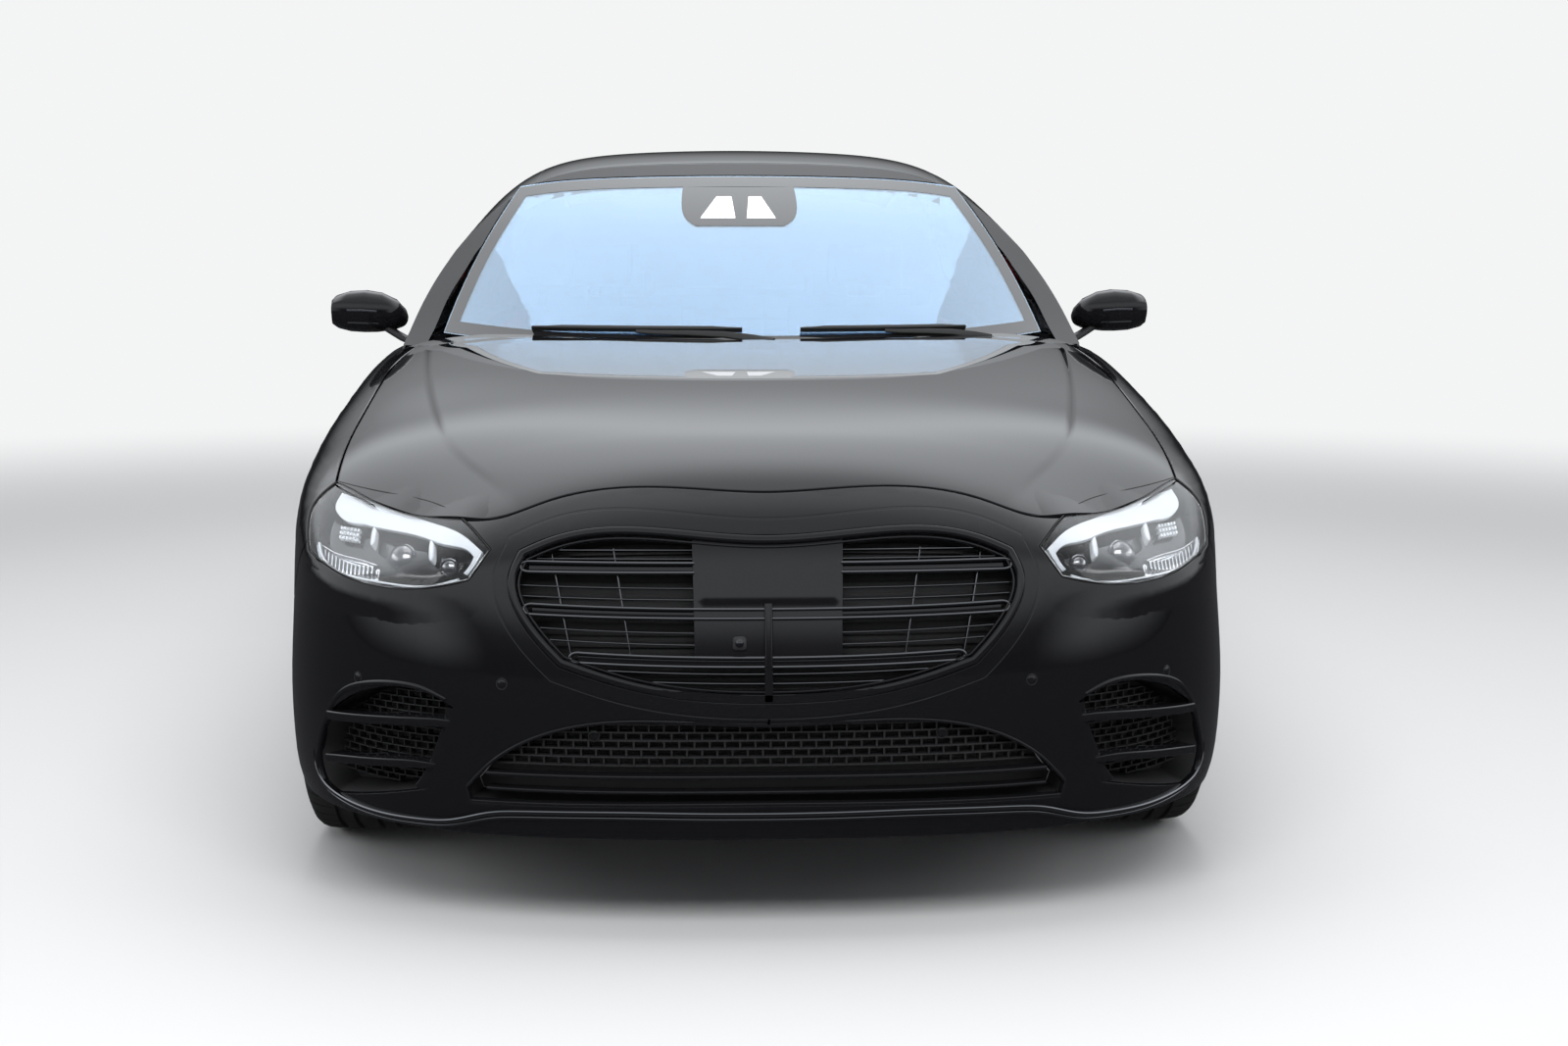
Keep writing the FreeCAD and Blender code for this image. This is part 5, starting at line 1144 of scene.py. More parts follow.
crease_lines = [("top", rows_of(side * (CREASE(t) + shift), t), False)
                for t in (np.arange(190, 1600, 14.0),) for side in (-1, 1) for shift in (-13, 0, 13)]
panel("bonnet_skin", Deck, [("top", bonnet_line, True)] + crease_lines,
      lambda x, s, z: inside(bonnet_line, x, s), PAINT, 22, relief=bonnet_relief, body="bonnet")

# %% [markdown]
# Doors are seen from the side, lamps and grille from the front. Each opening is the same outline moved out
# by the gap, as on a real body, where the gap is even all the way round.

# %% Outlines of doors, lamps and grille
front_door_runs = [
    [(1765, DOOR_FOOT), (FRONT_EDGE, 450), (FRONT_EDGE, 640), (1768, 820), (1800, 962)],
    [(1800, 962), (2010, 1078), (2240, 1200), (2450, 1298), (2640, 1358), (2790, 1385), (SPLIT - 13, 1396)],
    [(SPLIT - 13, 1396), (SPLIT - SHUT_GAP, 980)],
    [(SPLIT - SHUT_GAP, 980), (SPLIT - SHUT_GAP, DOOR_FOOT)],
    [(SPLIT - SHUT_GAP, DOOR_FOOT), (1765, DOOR_FOOT)]]
rear_door_runs = [
    [(SPLIT, DOOR_FOOT), (SPLIT, 1397)],
    [(SPLIT, 1397), (3120, 1404), (3300, 1402), (3600, 1372), (3850, 1292), (3990, 1190), (4040, 1100)],
    [(4040, 1100), (4008, 1010), (3950, 900), (3880, 790), (3790, 680), (3703, 560), (3658, 420),
     (3650, DOOR_FOOT)],
    [(3650, DOOR_FOOT), (SPLIT, DOOR_FOOT)]]
front_door_line, rear_door_line = outline_of(front_door_runs), outline_of(rear_door_runs)
front_door_hole, rear_door_hole = offset(front_door_line, SHUT_GAP), offset(rear_door_line, SHUT_GAP)
front_arch = circle(FRONT_AXLE, WHEEL_RADIUS, ARCH_RADIUS)
rear_arch = circle(REAR_AXLE, WHEEL_RADIUS, ARCH_RADIUS)
headlight_line, headlight_hole = outline_of(HEADLIGHT, 0, 8), outline_of(HEADLIGHT, 3, 8)
grille_line = outline_of(mirror_runs(GRILLE), 0, 8)
GRILLE_BAND = 27.0
grille_band = offset(grille_line, GRILLE_BAND)
lower_line = outline_of(mirror_runs(LOWER_INTAKE), 0, 8)
intake_line = outline_of(SIDE_INTAKE, 0, 8)
fender_line = np.array([(330, 640), (430, 672), (540, 549), (600, 356), (600, 228), (1800, 228), (1815, 955),
                        (1700, 955), (1700, 1100), (330, 1100)], float)
nose_line = np.array([(-300, 185), (-300, 900), (430, 900), (430, 666), (535, 545), (600, 356), (600, 185)],
                     float)


def dense(points, spacing=12.0):
    return np.concatenate([curve([a, b], spacing)[:-1] for a, b in zip(points, np.roll(points, -1, axis=0))])

# %% [markdown]
# The wings run from the lamp over the wheel to the door, and the nose carries lamps, grille and intakes.
# What stays of each sheet is a test on the outlines, so no boolean is needed.

# %% Wings and nose
def fender_keep(x, s, z):
    held = inside(fender_line, s, z) & ~inside(front_door_hole, s, z) & ~inside(bonnet_hole, x, s)
    return held & ~(inside(headlight_hole, x, z) & (s < 560)) & ~inside(front_arch, s, z)


fender_lines = [("side", dense(fender_line), True), ("side", front_door_hole, True), ("top", bonnet_hole, True),
                ("front", headlight_hole, True), ("side", front_arch, True)]
panel("fender_skin", Girth, fender_lines, fender_keep, PAINT, 20, mirror="pair",
      window=((330, 200), (1830, 1000)))


def nose_keep(x, s, z):
    held = inside(nose_line, s, z) & ~inside(bonnet_hole, x, s) & ~inside(front_arch, s, z) & (x > -2)
    held &= ~inside(headlight_hole, x, z) & ~inside(intake_line, x, z)
    return held & ~inside(grille_band, x, z) & ~inside(lower_line, x, z)


nose_middle = FRONT_CORNER - CORNER_TURN * math.pi / 2
nose_lines = [("side", dense(nose_line), True), ("top", bonnet_hole, True), ("front", headlight_hole, True),
              ("side", front_arch, True), ("front", intake_line, True), ("front", grille_band, True),
              ("front", lower_line, True), ("chart", curve([(nose_middle, 150), (nose_middle, 900)]), False)]
panel("nose_skin", Girth, nose_lines, nose_keep, PAINT, 16, mirror="both", window=((-600, 170), (640, 900)))

# %% [markdown]
# Doors, sills, quarters, roof and tail come from the same charts. The window frames are narrow gloss-black
# bands round each opening.

# %% Sides, roof and tail
SASH_WIDTH = 42.0
ROOF_HALF = 550.0
BOOT_HALF, BOOT_FRONT, BOOT_FOOT, REAR_SPLIT = 700.0, 4566.0, 770.0, 768.0
TAIL_LAMP = [[(640, 950), (760, 955), (880, 950)], [(880, 950), (940, 900), (940, 870)],
             [(940, 870), (800, 850), (640, 842)], [(640, 842), (640, 950)]]
BOOT_LAMP = [[(300, 945), (500, 948), (694, 950)], [(694, 950), (694, 843)],
             [(694, 843), (500, 842), (300, 850)], [(300, 850), (300, 945)]]
stations = np.arange(1500.0, 4700.0, 12.0)
belt_line = rows_of(stations, belt(stations))
sash_belt = belt_line + [0, -14]
glass_belt = belt_line + [0, 6]


def door_relief(x, s, z):
    """A soft ridge along the doors' lower third."""
    low = np.exp(-((z - (320 + BELT_RISE * (s - BELT_FROM))) / 30) ** 2) * 3.2
    return low * smooth((s - 1500) / 200) * smooth((3900 - s) / 200)


for side_name, line, hole in (("front_door", front_door_line, None), ("rear_door", rear_door_line, None)):
    bodies = sides_of(side_name)
    lines = [("side", line, True), ("side", belt_line, False)]
    panel(side_name + "_skin", Girth, lines, lambda x, s, z, line=line: inside(line, s, z) & (z < belt(s)),
          PAINT, 24, mirror="pair", body=bodies, relief=door_relief,
          window=((line[:, 0].min(), 220), (line[:, 0].max(), 1010)))
    opening = offset(line, -SASH_WIDTH)
    lines = [("side", line, True), ("side", opening, True), ("side", sash_belt, False),
             ("side", glass_belt, False)]
    panel(side_name + "_sash", Cabin, lines,
          lambda x, s, z, line=line, opening=opening: inside(line, s, z) & (z > belt(s) - 14)
          & ~(inside(opening, s, z) & (z > belt(s) + 6)),
          GLOSS, 24, mirror="pair", body=bodies, slot="black_trim",
          window=((line[:, 0].min(), 940), (line[:, 0].max(), 1420)))

# %% [markdown]
# A car's side behind the doors is one pressing from the sill over the rear wheel to the tail. It is one
# panel here too, because a seam where the real one has none would show in the reflections.

# %% Quarters and sills
screen_runs = mirror_runs([[(0, 1412), (300, 1408), (500, 1397), (596, 1384)],
                           [(596, 1384), (690, 1190), (748, 1012)], [(748, 1012), (500, 992), (0, 984)]])
back_runs = mirror_runs([[(0, 1418), (300, 1412), (480, 1398), (560, 1380)],
                         [(560, 1380), (610, 1290), (640, 1176)], [(640, 1176), (400, 1168), (0, 1160)]])
screen_line, back_line = outline_of(screen_runs), outline_of(back_runs)
screen_hole = offset(screen_line, 3)
tail_lamp_line = outline_of(TAIL_LAMP, 0.5, 8)
tail_split = REAR_AXLE + 300


def quarter_keep(x, s, z):
    held = ~inside(rear_arch, s, z) & ~inside(front_door_hole, s, z) & ~inside(rear_door_hole, s, z)
    held &= (z > SILL_FOOT) & ~((s > tail_split) & (z < REAR_SPLIT)) & ~((x < 706) & (s > 4100))
    held &= ~(inside(tail_lamp_line, x, z) & (s > 4600))
    held &= ~((s < 3700) & (z > DOOR_FOOT - SHUT_GAP)) & (s > 1296) & ~((s < 3990) & (z > belt(s)))
    return held & ((s > 1800) | (z < 222))


tail_cut = np.array([(tail_split, 100), (tail_split, REAR_SPLIT), (5400, REAR_SPLIT)], float)
quarter_lines = [("side", rear_door_hole, True), ("side", rear_arch, True), ("side", belt_line, False),
                 ("side", curve([(1296, SILL_FOOT), (3700, SILL_FOOT)]), False),
                 ("side", curve([(1296, SILL_FOOT), (1296, 228)]), False),
                 ("side", curve([(1296, 222), (1800, 222)]), False),
                 ("side", curve([(1800, DOOR_FOOT - SHUT_GAP), (3700, DOOR_FOOT - SHUT_GAP)]), False),
                 ("side", curve(tail_cut[:2]), False), ("side", curve(tail_cut[1:]), False),
                 ("top", curve([(706, 4100), (706, 5300)]), False), ("rear", tail_lamp_line, True),
                 ("side", curve([(3600, SILL_FOOT), (4500, SILL_FOOT)]), False)]
panel("quarter_skin", Girth, quarter_lines, quarter_keep, PAINT, 22, mirror="pair",
      window=((1296, 160), (5400, 1120)))

# %% [markdown]
# The rail frames the side windows and meets both panes. Where a pane cuts the cabin's side is found by
# search, and that line becomes the sheet's edge, so that glass and paint meet without a gap.

# %% Roof rails and roof
def rail_keep(x, s, z):
    held = ~inside(front_door_hole, s, z) & ~inside(rear_door_hole, s, z) & (z > belt(s) - 10) & (x > ROOF_HALF)
    ahead = s > screen_station(x, z) + 2
    behind = s < back_station(x, z) - 2
    pane = ~(inside(screen_hole, x, z) & (s < screen_station(x, z) + 14))
    return held & ahead & behind & pane & (s > 1790) & ~((z < 1010) & (s < 1830))


def meeting(station, low, high):
    """Where a pane's surface meets the cabin's side, seen from the side."""
    found = []
    for z in np.arange(low, high, 8.0):
        x = np.linspace(500, 900, 400)
        s = station(x, np.full_like(x, z))
        out = cabin(x, s, np.full_like(x, z)) - 1
        turn = np.where(np.diff(np.sign(out)) != 0)[0]
        if len(turn):
            found.append((s[turn[0]], z))
    return np.array(found)


screen_meet, back_meet = meeting(screen_station, 985, 1440), meeting(back_station, 1060, 1440)
rail_lines = [("side", front_door_hole, True), ("side", rear_door_hole, True), ("side", screen_meet, False),
              ("side", back_meet, False), ("side", belt_line + [0, -10], False),
              ("top", curve([(ROOF_HALF, 2100), (ROOF_HALF, 4300)]), False)]
panel("rail_skin", Cabin, rail_lines, rail_keep, PAINT, 20, mirror="pair", window=((1780, 960), (4760, 1700)))


def roof_keep(x, s, z):
    return (np.abs(x) < ROOF_HALF + 1) & (s > screen_station(x, z) + 3) & (s < back_station(x, z) - 3)


def pane_on_roof(station, shift):
    x = np.arange(-ROOF_HALF - 20, ROOF_HALF + 21, 14.0)
    low, high = np.full_like(x, 1330.0), np.full_like(x, 1520.0)
    for _ in range(30):
        mid = (low + high) / 2
        under = cabin(x, station(x, mid) + shift, mid) < 1
        low, high = np.where(under, mid, low), np.where(under, high, mid)
    return rows_of(x, station(x, low) + shift)


edge_lines = [("top", curve([(side * ROOF_HALF, 2150), (side * ROOF_HALF, 4250)]), False) for side in (-1, 1)]
panel("roof_skin", Roof, edge_lines + [("top", pane_on_roof(screen_station, 3), False),
                                       ("top", pane_on_roof(back_station, -3), False)],
      roof_keep, PAINT, 24, radius=0.8, depth=5)

# %% [markdown]
# The boot lid bends from the tail over to the deck. A flat chart would stretch there, so its chart turns
# round the edge. The lamps' outlines are cut from it, as the real lid is split through the lamps.

# %% Boot, deck and tail
boot_side = np.arange(BOOT_FOOT, 1700, 12.0)
boot_lamp_line = outline_of(BOOT_LAMP, 0.3, 8)


def boot_keep(x, s, z):
    held = (np.abs(x) < BOOT_HALF) & (s > BOOT_FRONT) & (z > BOOT_FOOT)
    return held & ~(inside(boot_lamp_line, np.abs(x), z) & (s > 5000))


boot_lines = [("chart", rows_of(side * BOOT_HALF, boot_side), False)
              for side in (-1, 1)]
boot_lines += [("chart", curve([(-BOOT_HALF, BOOT_FOOT), (BOOT_HALF, BOOT_FOOT)]), False),
               ("rear", boot_lamp_line, True), ("rear", boot_lamp_line * [-1, 1], True),
               ("top", curve([(-BOOT_HALF, BOOT_FRONT), (BOOT_HALF, BOOT_FRONT)]), False)]
panel("boot_skin", Tail, boot_lines, boot_keep, PAINT, 22, body="boot_lid", window=((-702, 768), (702, 1700)))


def deck_keep(x, s, z):
    return (np.abs(x) < 705) & (s < 4556) & (s > back_station(x, z) + 2)


deck_lines = [("top", curve([(-705, 4556), (705, 4556)]), False)]
deck_lines += [("top", curve([(side * 705, 4300), (side * 705, 4556)]), False) for side in (-1, 1)]
x = np.arange(-700, 701, 14.0)
glass_foot = rows_of(x, 4400)
for _ in range(20):
    on_deck = Deck.to_skin(glass_foot)
    glass_foot[:, 1] = back_station(x, on_deck[:, 2]) + 2
deck_lines.append(("top", glass_foot, False))
panel("deck_skin", Deck, deck_lines, deck_keep, PAINT, 20, window=((-706, 4250), (706, 4558)))


def rear_bumper_keep(x, s, z):
    held = (s > tail_split) & (z > SILL_FOOT + 35) & (z < REAR_SPLIT - 3) & (x > -2)
    return held & ~inside(rear_arch, s, z)


rear_lines = [("side", curve([(tail_split, 150), (tail_split, 800)]), False), ("side", rear_arch, True),
              ("chart", curve([(4380, SILL_FOOT + 35), (5900, SILL_FOOT + 35)]), False),
              ("side", curve([(4390, REAR_SPLIT - 3), (5290, REAR_SPLIT - 3)]), False),
              ("chart", curve([(REAR_CORNER + CORNER_TURN * math.pi / 2, 150),
                               (REAR_CORNER + CORNER_TURN * math.pi / 2, 800)]), False)]
panel("tail_skin", Girth, rear_lines, rear_bumper_keep, PAINT, 20, mirror="both",
      window=((4390, 170), (5840, 790)))

# %% [markdown]
# The CAD parts that stay in view take the same materials.

# %% Materials of the frame
FINISHES = (
    (GLOSS, "side_frame_* front_fender_* mirror_* rear_deck front_bumper rear_bumper bonnet boot_lid grille"),
    (DASH, "front_door_* rear_door_* dashboard centre_console steering_wheel"), (HEADLINER, "roof_panel"),
    (SIDE_GLASS, "front_door_glass_* rear_door_glass_* rear_window"), (SCREEN_GLASS, "windscreen"),
    (LEATHER, "front_seats rear_seat"), (GRAINED, "cowl engine"), (BLADE, "wipers"), (SATIN, "lower_grilles"),
    (STEEL, "exhaust front_subframe rear_subframe"), (UNDERCOAT, "floor_pan"), (FELT, "wheel_arch_liners"),
    (CAST, "knuckle_*"), (ALLOY, "front_rim_* rear_rim_*"), (RUBBER, "front_tyre_* rear_tyre_*"),
    (LENS, "headlights"), (RED_LENS, "tail_lights boot_lights"))
NODE_MATERIALS = {name.replace("*", side): finish_of_node for finish_of_node, names in FINISHES
                  for name in names.split() for side in ("left", "right")}
for label, finish_of_node in NODE_MATERIALS.items():
    mesh = NODES[label].data
    mesh.materials.clear()
    mesh.materials.append(finish_of_node)
    mesh.polygons.foreach_set("material_index", [0] * len(mesh.polygons))
for label in [node for node in NODE_MATERIALS if "_door_" in node and "glass" not in node]:
    door = NODES[label].data
    door.materials.append(GLOSS)
    door.polygons.foreach_set("material_index", [int(abs(face.center[0]) > 0.8) for face in door.polygons])
roof = NODES["roof_panel"].data
roof.materials.append(GLOSS)
roof.polygons.foreach_set("material_index", [int(face.normal[2] > -0.3) for face in roof.polygons])
print("carried-over nodes", len(NODE_MATERIALS))

# %% [markdown]
# The grille carries most of the face. Each double bar is one loop of bright black section that runs out to
# a rounded end and back, with thin slats between, slanted struts, and a smooth panel in the middle that
# hides the radar.

# %% Grille
BAR_HEIGHTS = (675.0, 596.0, 512.0)
SLAT_HEIGHTS = (708.0, 692.0, 641.0, 621.0, 563.0, 542.0, 491.0, 474.0, 459.0)
BAR_GAP = 16.0
PANEL_HALF, PANEL_FOOT, PANEL_TOP = 134.0, 521.0, 724.0


def bar_rise(height, x):
    """Bars lift towards their outer ends, the low ones most."""
    return (675.0 - height) * 0.075 * (np.abs(x) / 420.0) ** 2 if height < 675 else 0.0 * np.abs(x)


def reach_at(height, margin):
    """How far out a bar at a height runs inside the grille's opening."""
    x = np.arange(0, 480.0, 2.0)
    held = inside(offset(grille_line, -margin), x, height + bar_rise(height, x))
    return float(x[held].max())


nose_plate("grille_surround", offset(grille_line, GRILLE_BAND - 2.5), GLOSS, -0.4, 8, spacing=12,
           hole=grille_line, radius=1.6)

frame_parts = []
for margin, width, height, sink in ((8.0, 15.0, 16.0, 3.0), (19.5, 4.0, 10.0, 7.0)):
    loop_line = offset(grille_line, -margin)
    frame_parts.append(sweep(*on_nose(loop_line, sink), rounded(width, height, min(width, height) * 0.34),
                             closed=True))
build("grille_frame", frame_parts, GLOSS)

# %% [markdown]
# Each bright bar is a loop that runs out, turns round and comes back. A torus or a bent bar would need
# joining; a rounded section swept along one path gives the turned end for free.

# %% Double bars
bar_parts = []
for height, start in zip(BAR_HEIGHTS, (PANEL_HALF - 4, 0.0, 0.0)):
    end = reach_at(height, 26)
    x = np.linspace(start, end, 34)
    rise = bar_rise(height, x)
    spread = BAR_GAP / 2 * (1 + 0.12 * (x / 420) ** 2)
    turn = np.linspace(math.pi / 2, -math.pi / 2, 9)[1:-1]
    top = rows_of(x, height + rise + spread)
    cap = rows_of(end + spread[-1] * 1.6 * np.cos(turn), height + rise[-1] + spread[-1] * np.sin(turn))
    path = np.concatenate([top, cap, (top * [1, 1] - rows_of(0, 2 * spread))[::-1]])
    for side in (1, -1):
        bar_parts.append(sweep(*on_nose(path * [side, 1], 12.0), rounded(6.6, 20.0, 3.0)))
build("grille_bars", bar_parts, BLACK_CHROME)

web_parts = []
for height, start in zip(BAR_HEIGHTS, (PANEL_HALF - 4, 0.0, 0.0)):
    end = reach_at(height, 26)
    x = np.linspace(start, end, 24)
    path = rows_of(x, height + bar_rise(height, x))
    for side in (1, -1):
        web_parts.append(sweep(*on_nose(path * [side, 1], 17.0), rounded(BAR_GAP - 4, 14.0, 3.0)))
build("grille_bar_webs", web_parts, GLOSS)

# %% [markdown]
# Thin slats fill the room between the bars, with two slanted struts a side behind them. They are sweeps
# like the bars, only thinner and deeper, so they follow the same rise towards the corners.

# %% Slats, struts and sensor panel
slat_parts = []
for height in SLAT_HEIGHTS:
    start = 0.0 if height < PANEL_FOOT else PANEL_HALF - 4
    end = reach_at(height, 16)
    x = np.linspace(start, end, 26)
    path = rows_of(x, height + bar_rise(height, x))
    for side in (1, -1):
        slat_parts.append(sweep(*on_nose(path * [side, 1], 20.0), rounded(2.6, 16.0, 1.2, 2)))
build("grille_slats", slat_parts, BLACK_CHROME)

strut_parts = []
for (x0, z0), (x1, z1) in (((385, 703), (350, 524)), ((274, 712), (243, 521))):
    t = np.linspace(0, 1, 14)
    path = rows_of(x0 + (x1 - x0) * t, z0 + (z1 - z0) * t)
    for side in (1, -1):
        strut_parts.append(sweep(*on_nose(path * [side, 1], 21.0), rounded(2.4, 14.0, 1.1, 2)))
build("grille_struts", strut_parts, BLACK_CHROME)

panel_line = outline_of(straight((-PANEL_HALF, PANEL_TOP), (PANEL_HALF, PANEL_TOP),
                                 (PANEL_HALF - 4, PANEL_FOOT), (4 - PANEL_HALF, PANEL_FOOT)), 0, 8)
nose_plate("grille_sensor_panel", panel_line, GLOSS, 5.0, 10, radius=2.0,
           relief=lambda x, s, z: -1.2 * smooth((618 - z) / 6))
centre_bar = sweep(*on_nose(rows_of(0, np.linspace(613, 443, 24)), 5.0), rounded(15.0, 17.0, 5.0))
build("grille_centre_bar", [centre_bar], GLOSS)

# %% [markdown]
# A camera looks out of the grille's middle panel. Behind the bars shutters close the opening, and a duct
# wall joins them to the nose, because an open grille would let the eye into an empty bay.

# %% Camera and shutters
camera_at, camera_way = on_nose([(-51.0, 546.0)], 6.0)
camera_side = unit(np.cross([0.0, 0.0, 1.0], camera_way[0]))
camera_up = np.cross(camera_way[0], camera_side)
square = rounded(24.0, 24.0, 6.0)
ring = [camera_at[0] + camera_side * a + camera_up * b for a, b in square]
camera_parts = []
for scale, low, high in ((1.0, -2.0, 4.0), (0.82, 0.0, 6.0)):
    base = camera_at[0] + (np.array(ring) - camera_at[0]) * scale
    points = np.concatenate([base + camera_way[0] * low, base + camera_way[0] * high])
    camera_parts.append((points, tube_faces(len(ring)) + [tuple(range(len(ring), 2 * len(ring)))]))
build("front_camera_housing", camera_parts, SATIN, soft=0.6)
dome = [(6.0, 7.6), (8.0, 7.4), (8.2, 6.0), (9.4, 5.0), (10.4, 3.0), (10.8, 0.0)]
build("front_camera_lens", [lathe(dome, camera_at[0], camera_way[0], 32)], DISPLAY)

backing = offset(grille_line, -2)
nose_plate("grille_shutters", backing, GRAINED, 58, 4, spacing=16)
vane_parts = []
for height in np.arange(455.0, 720.0, 22.0):
    end = reach_at(height, 12)
    x = np.linspace(-end, end, 26)
    vane_parts.append(sweep(*on_nose(rows_of(x, height), 52.0), rounded(9.0, 3.0, 1.2, 2)))
vane_parts.append(nose_wall(offset(grille_line, -1.0), 6, 60))
vanes = build("grille_duct", vane_parts, GRAINED)
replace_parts(vanes, "grille")

# %% [markdown]
# A headlamp is a clear cover over a dark tub. Inside lie a white light guide along the top edge that turns
# the inner corner, a thin one along the foot, two upright pills, a projector between them and a ribbed
# reflector outside.

# %% Headlamps
LAMP_DEPTH = 62.0


lamp_edge = offset(headlight_line, -1.2)
lenses = nose_plate("headlamp_lens", lamp_edge, LENS, 0.6, 3.0, "pair", 12, 1.2, "lamp_lens", backed=True)
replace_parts(lenses[0], "headlights")
lamp_bed = offset(headlight_line, -2.5)
nose_plate("headlamp_bed", lamp_bed, LAMP_BLACK, LAMP_DEPTH, 2, "pair", 16, 0.6, "lamp_lens")
pair("headlamp_tub", [nose_wall(lamp_bed, 5.0, LAMP_DEPTH + 1)], LAMP_BLACK, slot="lamp_lens")

# %% [markdown]
# Modern lamps glow through moulded guides of clear plastic. Lit with emission they would flatten to white
# shapes. Here they are pale coated plastic with no glow, which keeps their form in daylight.

# %% Light guides
BAND = [[(510, 699), (545, 721), (610, 735), (697, 748), (765, 758), (815, 764)],
        [(815, 764), (824, 740), (800, 722), (760, 719)],
        [(760, 719), (700, 716), (627, 712), (575, 705), (537, 699), (526, 690)],
        [(526, 690), (532, 676), (544, 660)], [(544, 660), (536, 656)], [(536, 656), (522, 676), (510, 699)]]
band_line = outline_of(BAND, 0, 5)
nose_plate("headlamp_day_light", band_line, DAY_GUIDE, 8.0, 7, "pair", 9, 2.0, "lamp_lens")

FOOT_GUIDE = [(846, 678), (832, 655), (806, 642), (750, 634), (677, 630), (605, 633), (552, 648)]
path = curve(FOOT_GUIDE, 8)
pair("headlamp_foot_light", [sweep(*on_nose(path, 9.0), rounded(4.4, 6.0, 1.8, 3))], DAY_GUIDE,
     slot="lamp_lens")
pair("headlamp_foot_trim", [sweep(*on_nose(path + [0, -6], 7.0), rounded(3.2, 7.0, 1.4, 2))], CHROME,
     slot="lamp_lens")

# %% [markdown]
# Inside the lamp a dark bezel swells round two projectors. Rings and domes are turned on a lathe, the
# upright pills are short sweeps, and ribs and cells are small blocks set out in loops.

# %% Projectors, pills and reflectors
bezel_line = outline_of([[(548, 692), (640, 706), (760, 712), (838, 728)], [(838, 728), (846, 700), (838, 678)],
                         [(838, 678), (790, 662), (700, 650), (640, 648), (560, 656)],
                         [(560, 656), (548, 692)]], 0, 7)
nose_plate("headlamp_bezel", bezel_line, GLOSS, 30.0, 20, "pair", 11, 2.5, "lamp_lens",
           relief=lambda x, s, z: 9 * np.exp(-(((x - 672) / 44) ** 2 + ((z - 682) / 26) ** 2))
           + 5 * np.exp(-(((x - 578) / 30) ** 2 + ((z - 674) / 18) ** 2)))


def lamp_module(x, z, sink, radius, height=0.62):
    """A projector lens: a bright ring and a domed glass."""
    at, way = on_nose([(x, z)], sink)
    ring_profile = [(0, radius + 3), (5, radius + 3), (7, radius + 1.4), (5.5, radius), (0, radius)]
    angle = np.linspace(0, math.pi / 2, 8)
    dome_profile = [(3 + radius * height * math.sin(a), radius * math.cos(a)) for a in angle]
    ahead = way[0] * [0.4, 1, 0.3]
    return lathe(ring_profile, at[0], ahead, 40), lathe(dome_profile, at[0], ahead, 40)


modules = [lamp_module(672, 684, 24, 24), lamp_module(578, 675, 26, 15)]
pair("headlamp_rings", [ring for ring, dome in modules], SMOKED, slot="lamp_lens")
pair("headlamp_projectors", [dome for ring, dome in modules], LENS_DARK, slot="lamp_lens")

pill_parts = []
for x, z, tall, tilt in ((732, 703, 27, 0.05), (609, 694, 30, 0.14)):
    t = np.linspace(-0.5, 0.5, 12)
    ends = np.sqrt(np.clip(1 - (2 * t) ** 4, 0.05, 1))
    pill_parts.append(sweep(*on_nose(rows_of(x + tilt * tall * t, z + tall * t), 16.0),
                            rounded(11.0, 16.0, 4.0), rows_of(ends, 1)))
pair("headlamp_pills", pill_parts, PILL, slot="lamp_lens")

rib_parts, cell_parts = [], []
for k in range(13):
    x = 832 - 9.0 * k
    foot = 648 - 8 * math.sin(math.pi * k / 12)
    rib_parts.append(nose_block(x, x + 3.2, foot, foot + 24 - k * 0.8, 13, 26))
brow = curve([(838, 676), (800, 667), (750, 664), (712, 660)], 8)
rib_parts.append(sweep(*on_nose(brow, 13.0), rounded(2.2, 14.0, 1.0, 2)))
for row in range(3):
    for column in range(6):
        cell_parts.append(nose_block(768 + column * 7.5, 773 + column * 7.5, 696 + row * 7.5, 701 + row * 7.5,
                                     17, 26))
pair("headlamp_ribs", rib_parts, CHROME, slot="lamp_lens", soft=0.4)
pair("headlamp_cells", cell_parts, PILL, slot="lamp_lens", soft=0.5)
reflector = outline_of([[(844, 674), (800, 668), (720, 664)], [(720, 664), (724, 640)],
                        [(724, 640), (780, 643), (830, 655), (844, 674)]], 0, 6)
nose_plate("headlamp_reflector", reflector, CHROME, 27.0, 4, "pair", 10, 1.0, "lamp_lens")
seal = sweep(*on_nose(offset(headlight_line, 1.4), 1.5), rounded(2.6, 5.0, 1.0, 2), closed=True)
pair("headlamp_seal", [seal], SEAL, slot="black_trim")

# %% [markdown]
# Under the grille lie a wide intake with a mesh of long cells and two corner intakes with fins, framed by
# blades and a smoked lip.

# %% Lower intakes
lower_inner = offset(lower_line, -6)


def mesh_cells(outline, low, high, pitch, row, top, bottom, wire=3.4):
    """Long staggered cells: slats one row apart and short uprights between them, kept inside an outline."""
    parts = []
    left, right = outline[:, 0].min(), outline[:, 0].max()
    for k, height in enumerate(np.arange(low, high, row)):
        x = np.arange(left, right, 6.0)
        held = inside(outline, x, np.full_like(x, height))
        if held.any():
            run = x[held]
            path = rows_of(np.linspace(run.min(), run.max(), max(3, int((run.max() - run.min()) / 26))),
                             np.zeros(max(3, int((run.max() - run.min()) / 26))) + height)
            parts.append(sweep(*on_nose(path, (top + bottom) / 2), rounded(wire, bottom - top, 1.2, 2)))
        for x in np.arange(left + (pitch / 2 if k % 2 else 0), right, pitch):
            mid = height + row / 2
            if inside(outline, np.array([x - 4, x + 4]), np.array([mid, mid])).all():
                a, b = x - wire / 2, x + wire / 2
                parts.append(nose_block(a, b, height, height + row, top, bottom))
    return parts


